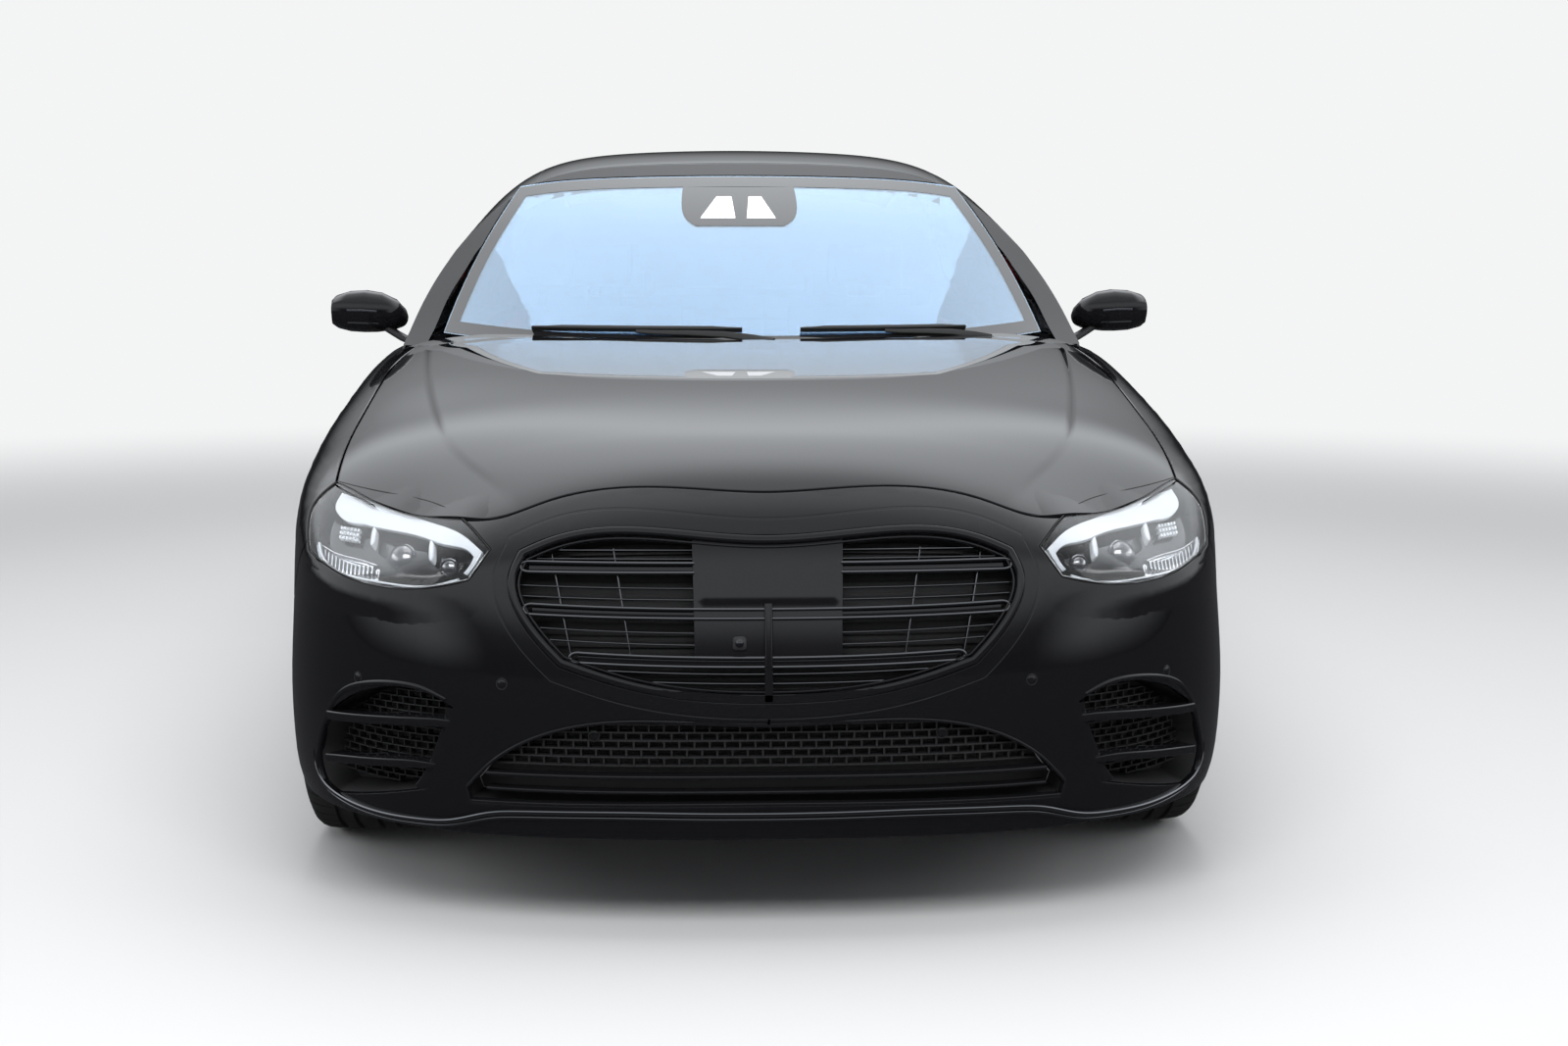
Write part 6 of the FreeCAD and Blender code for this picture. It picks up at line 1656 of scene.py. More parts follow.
lower_mesh = mesh_cells(lower_inner, 322.0, 400.0, 27.0, 15.4, 16.0, 34.0)
build("lower_mesh", lower_mesh, SATIN)
blade_parts = []
for height, width, deep, sink in ((307.0, 7.0, 26.0, 8.0), (279.0, 6.0, 24.0, 9.0)):
    x = np.linspace(-500, 500, 50)
    held = inside(offset(lower_line, -3), x, x * 0 + height)
    run = x[held]
    path = rows_of(np.linspace(run.min(), run.max(), 50), height)
    blade_parts.append(sweep(*on_nose(path, sink), rounded(width, deep, 2.4)))
blade_parts.append(sweep(*on_nose(offset(lower_line, -3.0), 5.0), rounded(6.0, 14.0, 2.0), closed=True))
build("lower_blades", blade_parts, GLOSS)
nose_plate("lower_backing", offset(lower_line, -2), GRAINED, 62, 4, spacing=18)
lower_duct = build("lower_duct", [nose_wall(offset(lower_line, -0.5), 8, 64)], GRAINED)
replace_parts(lower_duct, "lower_grilles")

# %% [markdown]
# The outer intakes feed the brakes and have fins that taper inwards. A tapered sweep makes a fin in one
# step, where a cube would need its end scaled and smoothed by hand.

# %% Corner intakes
nose_plate("corner_backing", offset(intake_line, -1), GRAINED, 64, 4, "pair", 18)
pair("corner_duct", [nose_wall(offset(intake_line, -0.5), 7, 66)], GRAINED)
pair("corner_mesh", mesh_cells(offset(intake_line, -9), 255.0, 440.0, 25.0, 14.0, 40.0, 54.0, 3.0), SATIN)
fin_parts = []
for fin, width in (([(806, 372), (776, 376), (700, 385), (623, 391), (560, 392), (500, 391)], 17.0),
                   ([(812, 288), (794, 292), (730, 302), (665, 309), (610, 310), (562, 308)], 16.0)):
    path = curve(fin, 10)
    points, normals = on_nose(path, 12.0)
    t = np.linspace(0, 1, len(path))
    thin = np.clip((1 - t) / 0.3, 0.12, 1) ** 0.7
    fin_parts.append(sweep(points, normals, rounded(width, 40.0, 3.0) * [1, 1],
                           scale=rows_of(thin, 0.35 + 0.65 * np.clip((1 - t) / 0.5, 0, 1))))
pair("corner_fins", fin_parts, GLOSS)
rim_path = curve([(826, 226), (843, 262), (838, 300), (822, 352), (799, 398), (768, 430), (722, 448),
                  (670, 455), (620, 452), (572, 436)], 8)
t = np.linspace(0, 1, len(rim_path))
pair("corner_rims", [sweep(*on_nose(rim_path, 4.0), rounded(11.0, 15.0, 4.0),
                           scale=rows_of(0.5 + 0.5 * np.clip(np.minimum(t, 1 - t) / 0.12, 0, 1), 1))], GLOSS)
fang_path = curve([(566, 420), (572, 378), (588, 332), (608, 292), (632, 262)], 8)
t = np.linspace(0, 1, len(fang_path))
pair("corner_fangs", [sweep(*on_nose(fang_path, 14.0), rounded(34.0, 18.0, 6.0),
                            scale=rows_of(0.35 + 0.65 * np.sin(math.pi * (0.15 + 0.7 * t)), 1))],
     GLOSS)

# %% [markdown]
# A lip of smoked chrome ends the bumper from corner to corner. It is swept along the mirrored half path, so
# both sides match. The round parking sensors are lathed and turned to face as the skin does.

# %% Lip and sensors
LIP = [(0, 238), (120, 239), (251, 241), (391, 239), (450, 237), (495, 232), (530, 222), (575, 209), (632, 204),
       (690, 203), (745, 207), (790, 216), (826, 232), (846, 256), (851, 290)]
lip_path = curve(LIP, 12)
lip_path = np.concatenate([(lip_path * [-1, 1])[:0:-1], lip_path])
lip_parts = []
for rise, width, deep, sink in ((0.0, 9.0, 14.0, 0.0), (-12.0, 7.0, 12.0, 3.0)):
    ends = np.clip(np.minimum(np.arange(len(lip_path)), np.arange(len(lip_path))[::-1]) / 6.0, 0.25, 1)
    lip_parts.append(sweep(*on_nose(lip_path + [0, rise], sink), rounded(width, deep, 3.0),
                           scale=rows_of(ends, ends)))
build("front_lip", lip_parts, SMOKED)


def sensor(at, way):
    """A parking sensor's face and the seal round it."""
    face = lathe([(-2, 8.2), (0.6, 8.2), (1.4, 6.8), (1.5, 0.0)], at[0], way[0], 28)
    return face, lathe([(-2, 10.6), (0.5, 10.6), (0.9, 9.8), (0.5, 9.0), (-2, 9.0)], at[0], way[0], 28)


sensor_parts = []
for x, z, sink in ((-744, 455, 0.0), (744, 455, 0.0), (-310, 378, 14.0), (310, 378, 14.0), (-470, 470, 0.0),
                   (470, 470, 0.0)):
    sensor_parts.append(sensor(*on_nose([(x, z)], sink)))
build("parking_sensors", [face for face, rim in sensor_parts], GLOSS)
build("parking_sensor_rims", [rim for face, rim in sensor_parts], SEAL)

# %% [markdown]
# Wheels. A tyre is one grid of rings: four grooves run round it and the shoulders are cut into blocks. A
# rim has ten spokes of two ribs each with a dark channel between, and the vented brake disc turns with it.

# %% Tyres
AXLES = {"front": FRONT_AXLE, "rear": REAR_AXLE}
AXLE_Z, WHEEL_X = WHEEL_RADIUS, 802.0
PITCHES = 60
BLOCK_CUTS = (0.0, 0.03, 0.16, 0.19)
TREAD = [(0, 356), (17, 356), (19, 349), (26, 349), (28, 355.8), (50, 355.3), (52, 348.5), (60, 348.5),
         (62, 354.8), (78, 354.1), (94, 352), (104, 348), (112, 341), (118, 328), (121, 312), (122.4, 299),
         (121.6, 288), (121.8, 284), (120.4, 279), (117, 273), (110, 268), (108.5, 256)]
BEAD = [(100, 252.5), (88, 253), (88, 266), (112, 300), (113, 318), (98, 334), (82, 339), (0, 341)]


def round_axle(a, r, turn, station):
    """A point at an offset from the wheel's middle plane, a radius and a turn about the axle."""
    return np.array([WHEEL_X + a, station + r * math.sin(turn), AXLE_Z + r * math.cos(turn)])


def tyre_part(station):
    """The left tyre's rings; the shoulder points drop into a cut for a part of each pitch."""
    half = TREAD + BEAD
    line = half + [(-a, r) for a, r in reversed(half[1:-1])]
    points = []
    for k in range(PITCHES):
        for cut in BLOCK_CUTS:
            for a, r in line:
                shoulder = r > 340 and 63 < abs(a) < 113
                deep = 5.5 if shoulder and cut in BLOCK_CUTS[1:3] else 0.0
                lean = 0.9 * max(0.0, abs(a) - 60) / 50 if r > 340 else 0.9
                turn = 2 * math.pi * (k + cut + lean * (1 if a > 0 else -1) * 0.4) / PITCHES
                points.append(round_axle(a, r - deep, turn, station))
    return np.array(points), ring_faces(PITCHES * len(BLOCK_CUTS), len(line), True)


for axle, station in AXLES.items():
    bodies = sides_of(axle + "_wheel")
    for tyre, label in zip(pair(axle + "_tread", [tyre_part(station)], RUBBER, bodies, slot="tyre_rubber",
                                sharp=28), ("left", "right")):
        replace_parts(tyre, axle + "_tyre_" + label)

# %% [markdown]
# A rim is cast as barrel, hub and spokes and then cut bright. The turned parts come from a lathe profile,
# and one spoke of two ribs is swept and repeated round the axle, as an array modifier would, but with no
# seam to weld.

# %% Rims
SPOKES = 10
BARREL = [(-118, 267.5), (-113, 267.5), (-110, 253.5), (-78, 251.5), (-58, 233.5), (58, 233.5), (78, 251.5),
          (110, 253.5), (113, 267.5), (116.5, 267.5), (118, 265), (117, 252), (104, 243), (60, 224),
          (-58, 223.5), (-80, 241), (-118, 245)]
HUB = [(38, 32), (38, 78), (66, 73), (80, 62), (85, 46), (83, 33), (76, 32)]
CAP = [(70, 31.5), (84, 31), (87.5, 27), (88.6, 14), (88.9, 0.001)]
RIM_LIP = [(115.5, 262), (117.4, 258), (116.4, 251), (110, 246.5), (106, 243)]


def radial(turn, station, line, section, scale=None):
    """A section swept outwards along (radius, offset, sideways) points, facing along the axle."""
    path = [round_axle(a, r, turn, station) + np.array([0, math.cos(turn), -math.sin(turn)]) * t
            for r, a, t in line]
    return sweep(path, np.array([1.0, 0, 0]), section, scale)


for axle, station in AXLES.items():
    start = (WHEEL_X, station, AXLE_Z)
    bodies = sides_of(axle + "_wheel")
    ribs, channels, bolts = [], [], []
    for k in range(SPOKES):
        turn = 2 * math.pi * k / SPOKES
        for side in (-1, 1):
            line = [(52, 76, side * 9.5), (80, 74, side * 9), (120, 71.5, side * 9), (170, 72, side * 10),
                    (210, 76, side * 12.5), (234, 82, side * 16), (246, 88, side * 20)]
            ribs.append(radial(turn, station, line, rounded(8.5, 24, 2.5), [(1.15, 1), (1, 1), (0.9, 0.95),
                        (0.9, 0.95), (1, 1), (1.15, 1.1), (1.4, 1.1)]))
        line = [(56, 64, 0), (100, 62, 0), (170, 61, 0), (225, 66, 0), (238, 70, 0)]
        channels.append(radial(turn, station, line, rounded(16, 12, 1),
                               [(1, 1), (1, 1), (1.1, 1), (1.6, 1), (2, 1)]))
    for k in range(5):
        at = round_axle(74, 54, 2 * math.pi * (k + 0.5) / 5, station)
        bolts.append(lathe([(0, 12), (7, 12), (9, 8.6), (13, 8.6), (14, 7.5), (14, 4.5), (9, 4), (8.5, 0.001)],
                           at, (1, 0, 0), 12))
    barrel = lathe(BARREL, start, (1, 0, 0), 96, True)
    hub = lathe(HUB, start, (1, 0, 0), 60, True)
    for rim, label in zip(pair(axle + "_rim_face", ribs + [barrel, hub, lathe(RIM_LIP, start, (1, 0, 0), 96)],
                               ALLOY, bodies, slot="rim_alloy", sharp=30), ("left", "right")):
        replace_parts(rim, axle + "_rim_" + label)
    pair(axle + "_channels", channels, DARK_ALLOY, bodies, slot="rim_alloy")
    valve = sweep([round_axle(a, r, 0.32, station) for a, r in ((84, 236), (96, 231), (108, 227))],
                  [0, 1.0, 0], rounded(8, 8, 3.5))
    pair(axle + "_bolts", bolts + [valve], SATIN, bodies, slot="dark_plastic")
    pair(axle + "_hub_cap", [lathe(CAP, start, (1, 0, 0), 48)], GLOSS, bodies)
    plates = [lathe([(a, 120), (a, 186), (a + 10, 186), (a + 10, 120)], start, (1, 0, 0), 72, True)
              for a in (-30, -8)]
    bell = lathe([(2, 124), (2, 97), (38, 90), (38, 33), (31, 33), (31, 82), (-8, 90), (-8, 124)], start,
                 (1, 0, 0), 60, True)
    vanes = [radial(2 * math.pi * k / 40, station, [(124, -14, 0), (184, -14, 8)], rounded(5, 14, 1))
             for k in range(40)]
    pair(axle + "_disc", plates + vanes + [bell], DISC, bodies, slot="cast_metal")

# %% [markdown]
# A caliper straddles the disc. Curved blocks built between two radii follow the disc's edge, which a bent
# cube would only come near to. The front ones ride on the knuckles, so they steer and don't spin.

# %% Brake calipers
def arc_block(low, high, inner, outer, start, turn, station, bevel=6.0, steps_of_arc=12):
    """A curved block round the axle between two offsets and two radii, with bevelled ends."""
    points = []
    for k in range(steps_of_arc + 1):
        t = k / steps_of_arc
        taper = 1 - (0.22 if k in (0, steps_of_arc) else 0.0)
        angle = start + turn * t
        mid, half = (low + high) / 2, (high - low) / 2 * taper
        for a, r in ((-half, inner + bevel), (-half + bevel, inner), (half - bevel, inner),
                     (half, inner + bevel), (half, outer - bevel), (half - bevel, outer),
                     (-half + bevel, outer), (-half, outer - bevel)):
            points.append(round_axle(mid + a, r, angle, station))
    return np.array(points), ring_faces(steps_of_arc + 1, 8)


for axle, station in AXLES.items():
    bodies = ("knuckle_left", "knuckle_right") if axle == "front" else ("body", "body")
    outer = arc_block(6, 30, 112, 204, math.radians(66), math.radians(48), station)
    bridge = arc_block(-58, 8, 192, 205, math.radians(66), math.radians(48), station, 3)
    inner = arc_block(-62, -34, 112, 204, math.radians(66), math.radians(48), station)
    pistons = [lathe([(28, 0.001), (33, 14), (33, 20), (29, 24)], round_axle(0, 158, math.radians(t), station),
                     (1, 0, 0), 24) for t in (78, 102)]
    pair(axle + "_caliper", [outer, bridge, inner] + pistons, CAST, bodies, slot="cast_metal", soft=1.0)
print("wheels", len(AXLES) * 2)

# %% [markdown]
# Glass edges. The windscreen has a black printed border and a sensor housing at its head with two windows
# that glow white, a painted reflection. Thin rubber runs line each side window and a bright strip lies on
# the belt.

# %% Windscreen border and sensor housing
def pane_plate(name, outline, finish_of_piece, chart=None, hole=None, lift=0.3, spacing=24.0,
               slot="black_trim"):
    """A thin sheet on a pane, seen from the front or the rear as (x, height)."""
    lines = [("chart", outline, True)] + ([("chart", hole, True)] if hole is not None else [])

    def keep(x, s, z):
        held = inside(outline, x, z)
        return held & ~inside(hole, x, z) if hole is not None else held

    return panel(name, chart or SCREEN_PANE, lines, keep, finish_of_piece, spacing, 0.2, 0.7, lift=lift,
                 slot=slot, window=(tuple(outline.min(0) - spacing), tuple(outline.max(0) + spacing)))


BORDER = 30.0
screen_edge_line, back_edge_line = offset(screen_line, -2), offset(back_line, -2)
pane_plate("screen_border", screen_edge_line, CERAMIC, hole=offset(screen_line, -BORDER))
pane_plate("rear_glass_border", back_edge_line, CERAMIC, BACK_PANE, offset(back_line, -BORDER))
mask = outline_of([[(-152, 1381), (-140, 1290), (-118, 1276)], [(-118, 1276), (112, 1276)],
                   [(112, 1276), (136, 1290), (148, 1381)], [(148, 1381), (-152, 1381)]])
pane_plate("sensor_mask", mask, CERAMIC, lift=0.35)
eyes = [outline_of(straight((-106, 1296), (-62, 1354), (-22, 1354), (-14, 1296))),
        outline_of(straight((16, 1296), (24, 1354), (58, 1354), (92, 1296)))]
# The sensor windows glow white: a painted reflection.
for k, eye in enumerate(eyes):
    pane_plate("sensor_window_" + str(k + 1), eye, SENSOR_WINDOW_GLOW, lift=1.3, spacing=16, slot="windscreen_glass")

# %% [markdown]
# Rubber runs guide each window and a bright strip closes the belt. They follow the door's own opening,
# moved in by the sash, so they stay with the door when it swings.

# %% Window runs and belt strips
def on_cabin(sz, sink=0.0):
    """Points of the cabin's side under (station, height) points, sunk under it, and the way it faces."""
    points = skin_of("side", sz, Cabin)
    normals = skin_normals(cabin, points)
    return points - normals * sink, normals


def thin_out(path, spacing):
    """Keeps points of a path at least a spacing apart."""
    kept = [0]
    for k in range(1, len(path)):
        if np.linalg.norm(path[k] - path[kept[-1]]) >= spacing:
            kept.append(k)
    return path[kept]


for door_name, line, first, last in (("front_door", front_door_line, 1838.0, SPLIT - 12),
                                     ("rear_door", rear_door_line, SPLIT + 6, 4014.0)):
    bodies = sides_of(door_name)
    opening = offset(line, -SASH_WIDTH)
    opening = opening[opening[:, 1] > belt(opening[:, 0]) + 4]
    gaps = np.linalg.norm(np.roll(opening, -1, axis=0) - opening, axis=1)
    opening = thin_out(np.roll(opening, -(int(gaps.argmax()) + 1), axis=0), 22.0)
    run = sweep(*on_cabin(opening, 3.0), rounded(7, 9, 2.5, 2))
    pair(door_name + "_glass_run", [run], SEAL, bodies, slot="dark_plastic")
    along = np.arange(first, last + 1, 24.0)
    strip = sweep(*on_cabin(rows_of(along, belt(along) + 1), -1.6), rounded(11, 5, 2, 2))
    pair(door_name + "_belt_strip", [strip], SMOKED, bodies, slot="cast_metal")
    wiper = sweep(*on_cabin(rows_of(along, belt(along) + 11), 2.5), rounded(9, 8, 2.5, 2))
    pair(door_name + "_belt_wiper", [wiper], SEAL, bodies, slot="dark_plastic")

# %% [markdown]
# Door handles lie close to the skin, with a dark gap round each. The mirrors are rounded housings on short
# arms, with a bright strip, a turn light and a glass. The fuel flap is a round seam in the right rear
# quarter.

# %% Handles and fuel flap
def on_side(sz, sink=0.0):
    """Points of the lower body's side under (station, height) points, and the way it faces."""
    points = skin_of("side", sz, Girth)
    normals = skin_normals(lower_body, points)
    return points - normals * sink, normals


for door_name, first, last in (("front_door", 2676.0, 2872.0), ("rear_door", 3610.0, 3806.0)):
    bodies = sides_of(door_name)
    along = np.linspace(first, last, 17)
    height = 842 + 0.02 * (along - first)
    share = (along - first) / (last - first)
    ends = np.clip(np.minimum(share, 1 - share) / 0.07, 0.25, 1.0)
    bar = sweep(*on_side(rows_of(along, height), -4.5), rounded(25, 9, 4, 4),
                rows_of(0.6 + 0.4 * ends, 0.55 + 0.45 * ends))
    pair(door_name + "_handle", [bar], PAINT, bodies, slot="body_paint")
    path, facing = on_side(rows_of(along, height - 5), -9.6)
    pair(door_name + "_handle_strip", [sweep(path[1:-1], facing[1:-1], rounded(5, 1.6, 0.7, 2))], CHROME,
         bodies, slot="cast_metal")
    turn = np.linspace(0, 2 * math.pi, 49)[:-1]
    oval = rows_of((first + last) / 2 + swelled(np.cos(turn), 0.4) * (last - first + 12) / 2,
                   844 + swelled(np.sin(turn), 0.5) * 17.5)
    pair(door_name + "_handle_gap", [sweep(*on_side(oval, -0.5), rounded(3.2, 1.4, 0.6, 1), closed=True)],
         SEAL, bodies, slot="dark_plastic")

turn = np.linspace(0, 2 * math.pi, 49)[:-1]
ring = rows_of(4395 + swelled(np.cos(turn), 0.7) * 82, 905 + swelled(np.sin(turn), 0.7) * 74)
build("fuel_flap_seam", [flipped(sweep(*on_side(ring, -0.3), rounded(3.0, 1.3, 0.6, 1), closed=True))], SEAL)

# %% [markdown]
# A mirror housing swells and tapers along its width. A subdivided cube could be pulled to that form; a
# D-shaped section with a height and a depth at each station gives it in one sweep and is easy to adjust.

# %% Mirrors
MIRROR_X = (886, 892, 906, 934, 970, 1006, 1032, 1046, 1053)
MIRROR_Z = (1036, 1040, 1048, 1055, 1058, 1058, 1057, 1056, 1056)
MIRROR_TALL = (0.42, 0.58, 0.80, 0.95, 1.0, 0.96, 0.82, 0.6, 0.3)
MIRROR_DEEP = (0.45, 0.62, 0.82, 0.96, 1.0, 0.97, 0.86, 0.68, 0.42)
MIRROR_BACK = 2040.0


def mirror_section(width=118.0, height=108.0):
    """A D: round in front, nearly flat behind, as (forwards, up) points."""
    points = []
    for k in range(32):
        a = 2 * math.pi * k / 32
        c, d = math.cos(a), math.sin(a)
        forward, up = swelled(c, 0.95 if c > 0 else 0.42), swelled(d, 0.85 if c > 0 else 0.6)
        points.append((forward * width / 2, up * height / 2))
    return np.array(points)


section = mirror_section()
path = [(x, MIRROR_BACK - 59.0 * deep, z) for x, z, deep in zip(MIRROR_X, MIRROR_Z, MIRROR_DEEP)]
scale = rows_of(MIRROR_DEEP, MIRROR_TALL)
shell = sweep(path, [0, 0, 1.0], section, scale)
mirror_bodies = sides_of("front_door")
for housing, label in zip(pair("mirror_housing", [shell], GLOSS, mirror_bodies, slot="body_paint", sharp=50),
                          ("left", "right")):
    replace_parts(housing, "mirror_" + label)
face = []
for x, z, tall in zip(MIRROR_X[1:-1], MIRROR_Z[1:-1], MIRROR_TALL[1:-1]):
    face += [(x + (3 if x < 960 else -3), MIRROR_BACK + 1.2, z + sign * tall * 48) for sign in (-1, 1)]
glass_faces = [(2 * k, 2 * k + 2, 2 * k + 3, 2 * k + 1) for k in range(len(face) // 2 - 1)]
rim_path = np.array(face[::2] + face[1::2][::-1])
pair("mirror_glass", [(np.array(face) + [0, -1.0, 0], glass_faces)], MIRROR, mirror_bodies, slot="window_glass")
pair("mirror_glass_rim", [sweep(rim_path, [0, 1.0, 0], rounded(5, 3.4, 1.4, 2), closed=True)], SEAL,
     mirror_bodies, slot="dark_plastic")
lines = []
for drop, deep_share in ((-0.52, 0.88), (0.08, 1.0)):
    lines.append([(x, MIRROR_BACK - 59 * deep - 59 * deep * deep_share - 0.4, z + drop * 54 * tall)
                  for x, z, tall, deep in zip(MIRROR_X[1:-1], MIRROR_Z[1:-1], MIRROR_TALL[1:-1],
                                              MIRROR_DEEP[1:-1])])
pair("mirror_strip", [sweep(lines[0], [0, -1.0, -0.35], rounded(4.5, 2.6, 1, 2))], CHROME, mirror_bodies,
     slot="cast_metal")
pair("mirror_turn_light", [sweep(lines[1][2:], [0, -1.0, 0], rounded(5, 2, 0.9, 2))], LENS_DARK, mirror_bodies,
     slot="lamp_lens")
arm = sweep([(846, 1950, 981), (868, 1958, 989), (892, 1968, 1002), (914, 1976, 1016), (934, 1982, 1030)],
            [-0.35, 0, 1.0], rounded(50, 15, 6, 3), [(1.35, 1), (1.0, 1), (0.85, 1), (0.85, 1.1), (0.9, 1.2)])
foot = sweep([(838, 1940, 972), (842, 1960, 978), (846, 1984, 977), (846, 2004, 975)], [0.5, 0, 1.0],
             rounded(22, 10, 4, 3), [(0.5, 0.7), (1, 1), (1, 1), (0.5, 0.7)])
pair("mirror_arm", [arm, foot], SATIN, mirror_bodies, slot="dark_plastic")

# %% [markdown]
# Two wipers rest at the foot of the windscreen. Each has a capped spindle, a tapering arm and a blade with
# a lip.

# %% Wipers
wiper_parts = []
for pivot, tip in ((60.0, -520.0), (600.0, 130.0)):
    foot_s = float(screen_station(pivot, 984.0)) - 16
    wiper_parts.append(lathe([(-34, 9), (0, 11), (10, 13), (14, 11), (15.5, 5), (16, 0.001)],
                             (pivot, foot_s, 992), (0, -0.35, 1.0), 24))
    arm_x = pivot + (tip - pivot) * np.array([0.0, 0.08, 0.2, 0.34, 0.48, 0.56])
    arm_z = np.array([1004.0, 1010, 1018, 1021, 1022, 1024])
    path = rows_of(arm_x, screen_station(arm_x, arm_z) - [12, 20, 26, 26, 24, 20], arm_z)
    path[0, 1] = foot_s
    wiper_parts.append(sweep(path, [0, -0.75, 0.65], rounded(19, 6, 2.5, 3), [(1.1, 1.3), (1.1, 1.2), (0.95, 1),
                       (0.8, 0.9), (0.62, 0.8), (0.5, 0.7)]))
    blade_x = pivot + (tip - pivot) * np.linspace(0.12, 1.0, 15)
    blade_z = np.full_like(blade_x, 1022.0)
    out = unit(rows_of(0, np.full_like(blade_x, -1), 1.6))
    on_glass = rows_of(blade_x, screen_station(blade_x, blade_z), blade_z)
    ends = np.clip(np.minimum(np.linspace(0, 1, 15), np.linspace(1, 0, 15)) / 0.12, 0.45, 1)
    wiper_parts.append(sweep(on_glass + out * 11, out, rounded(13, 9, 3, 3), rows_of(ends, ends)))
    wiper_parts.append(sweep(on_glass + out * 4.5, out, rounded(4, 8, 1, 1)))
wiper_set = build("wiper_set", wiper_parts, BLADE, slot="dark_plastic")
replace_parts(wiper_set, "wipers")
print("side details", len(wiper_parts))

# %% [markdown]
# The cabin is upholstered. Each cushion starts as a rounded form along the seat's side line and is blown up
# as cloth. Its sewn channels and seams come after that, because the voxel step would wipe them out.

# %% Cushion forms
FORM_RINGS, FORM_TURN = 40, 48


def seat_line(points):
    """Points along a seat's face from the side, with the way the face looks, as (station, height)."""
    line = curve(points, 6.0)
    along = unit(np.gradient(line, axis=0))
    return line, rows_of(-along[:, 1], along[:, 0])


def cushion_form(points, middle, half, thick, bolster=0.0, top=1.0, power=0.42):
    """A closed form under a seat's face line: rounded ends, full sides and raised bolsters."""
    line, facing = seat_line(points)
    pick = np.linspace(0, len(line) - 1, FORM_RINGS)
    line = np.stack([np.interp(pick, np.arange(len(line)), line[:, k]) for k in range(2)], axis=1)
    facing = np.stack([np.interp(pick, np.arange(len(facing)), facing[:, k]) for k in range(2)], axis=1)
    turn = np.linspace(0, 2 * math.pi, FORM_TURN, endpoint=False)
    a, h = swelled(np.cos(turn), power), swelled(np.sin(turn), power)
    rings = []
    for k in range(FORM_RINGS):
        v = 2 * k / (FORM_RINGS - 1) - 1
        end = max(0.06, (1 - abs(v) ** 7)) ** 0.5
        wide = half * (1 + (top - 1) * (v + 1) / 2) * (0.9 + 0.1 * end)
        rise = np.where(h > 0, bolster * np.clip((np.abs(a) - 0.55) / 0.25, 0, 1) * end, 0)
        out = h * thick / 2 * end - thick / 2 + rise
        x = middle + a * wide
        rings.append(rows_of(x, line[k, 0] + facing[k, 0] * out, line[k, 1] + facing[k, 1] * out))
    return np.concatenate(rings), ring_faces(FORM_RINGS, FORM_TURN)

# %% [markdown]
# Foam under leather bulges between its seams. Sculpting could show that; the cloth solver with pressure
# does it by itself, and a cap on how far points move keeps the seat inside the cabin.

# %% Blowing a cushion up
def inflate(item, voxel, cap, pressure=4.0):
    """Blows a closed form up as cloth and holds every point within a cap of where it began."""
    remesh = item.modifiers.new("voxels", "REMESH")
    remesh.mode, remesh.voxel_size = "VOXEL", voxel * MM
    apply_modifiers(item)
    count = len(item.data.vertices)
    begin, end = np.empty(count * 3), np.empty(count * 3)
    item.data.vertices.foreach_get("co", begin)
    cloth = item.modifiers.new("cloth", "CLOTH")
    cloth.settings.quality = 4
    cloth.settings.use_pressure = True
    cloth.settings.uniform_pressure_force = pressure
    cloth.settings.effector_weights.gravity = 0.0
    cloth.point_cache.frame_start, cloth.point_cache.frame_end = 1, 20
    for frame_number in range(1, 21):
        bpy.context.scene.frame_set(frame_number)
    depth = bpy.context.evaluated_depsgraph_get()
    blown = item.evaluated_get(depth)
    blown.data.vertices.foreach_get("co", end)
    item.modifiers.remove(cloth)
    bpy.context.scene.frame_set(1)
    move = (end - begin).reshape(-1, 3)
    far = np.linalg.norm(move, axis=1, keepdims=True)
    move *= np.minimum(1, cap * MM / np.maximum(far, 1e-9))
    item.data.vertices.foreach_set("co", begin + move.ravel())
    item.data.update()

# %% [markdown]
# Sewn channels press lines into the finished surface and thread stands out of it. Both follow the seat's
# face line, so they lie where a sewing machine would have put them.

# %% Channels, blocks and seams
def channelled(item, points, middle, width, pitch, deep, grooves=()):
    """Presses sewn channels across a cushion's face and grooves along it."""
    line, facing = seat_line(points)
    run = np.concatenate([[0], np.cumsum(np.linalg.norm(np.diff(line, axis=0), axis=1))])
    count = len(item.data.vertices)
    at, normal = np.empty(count * 3), np.empty(count * 3)
    item.data.vertices.foreach_get("co", at)
    item.data.vertices.foreach_get("normal", normal)
    at, normal = at.reshape(-1, 3), normal.reshape(-1, 3)
    x, s, z = at[:, 0] / MM, at[:, 1] / MM + LENGTH / 2, at[:, 2] / MM
    near = np.argmin((s[:, None] - line[None, :, 0]) ** 2 + (z[:, None] - line[None, :, 1]) ** 2, axis=1)
    out = normal[:, 1] * facing[near, 0] + normal[:, 2] * facing[near, 1]
    held = np.clip((out - 0.35) / 0.3, 0, 1)
    aside = np.abs(x - middle)
    first, last = run[-1] * 0.14, run[-1] * 0.88
    phase = (run[near] - first) / pitch
    across = np.abs(phase - np.round(phase)) * pitch
    inner = (aside < width) & (run[near] > first - 3) & (run[near] < last)
    press = np.where(inner, deep * np.exp(-(across / 5.0) ** 2), 0)
    for groove in grooves:
        press = np.maximum(press, 1.2 * deep * np.exp(-((aside - groove) / 4.5) ** 2))
    at -= normal * (press * held * MM)[:, None]
    item.data.vertices.foreach_set("co", at.ravel())
    item.data.update()


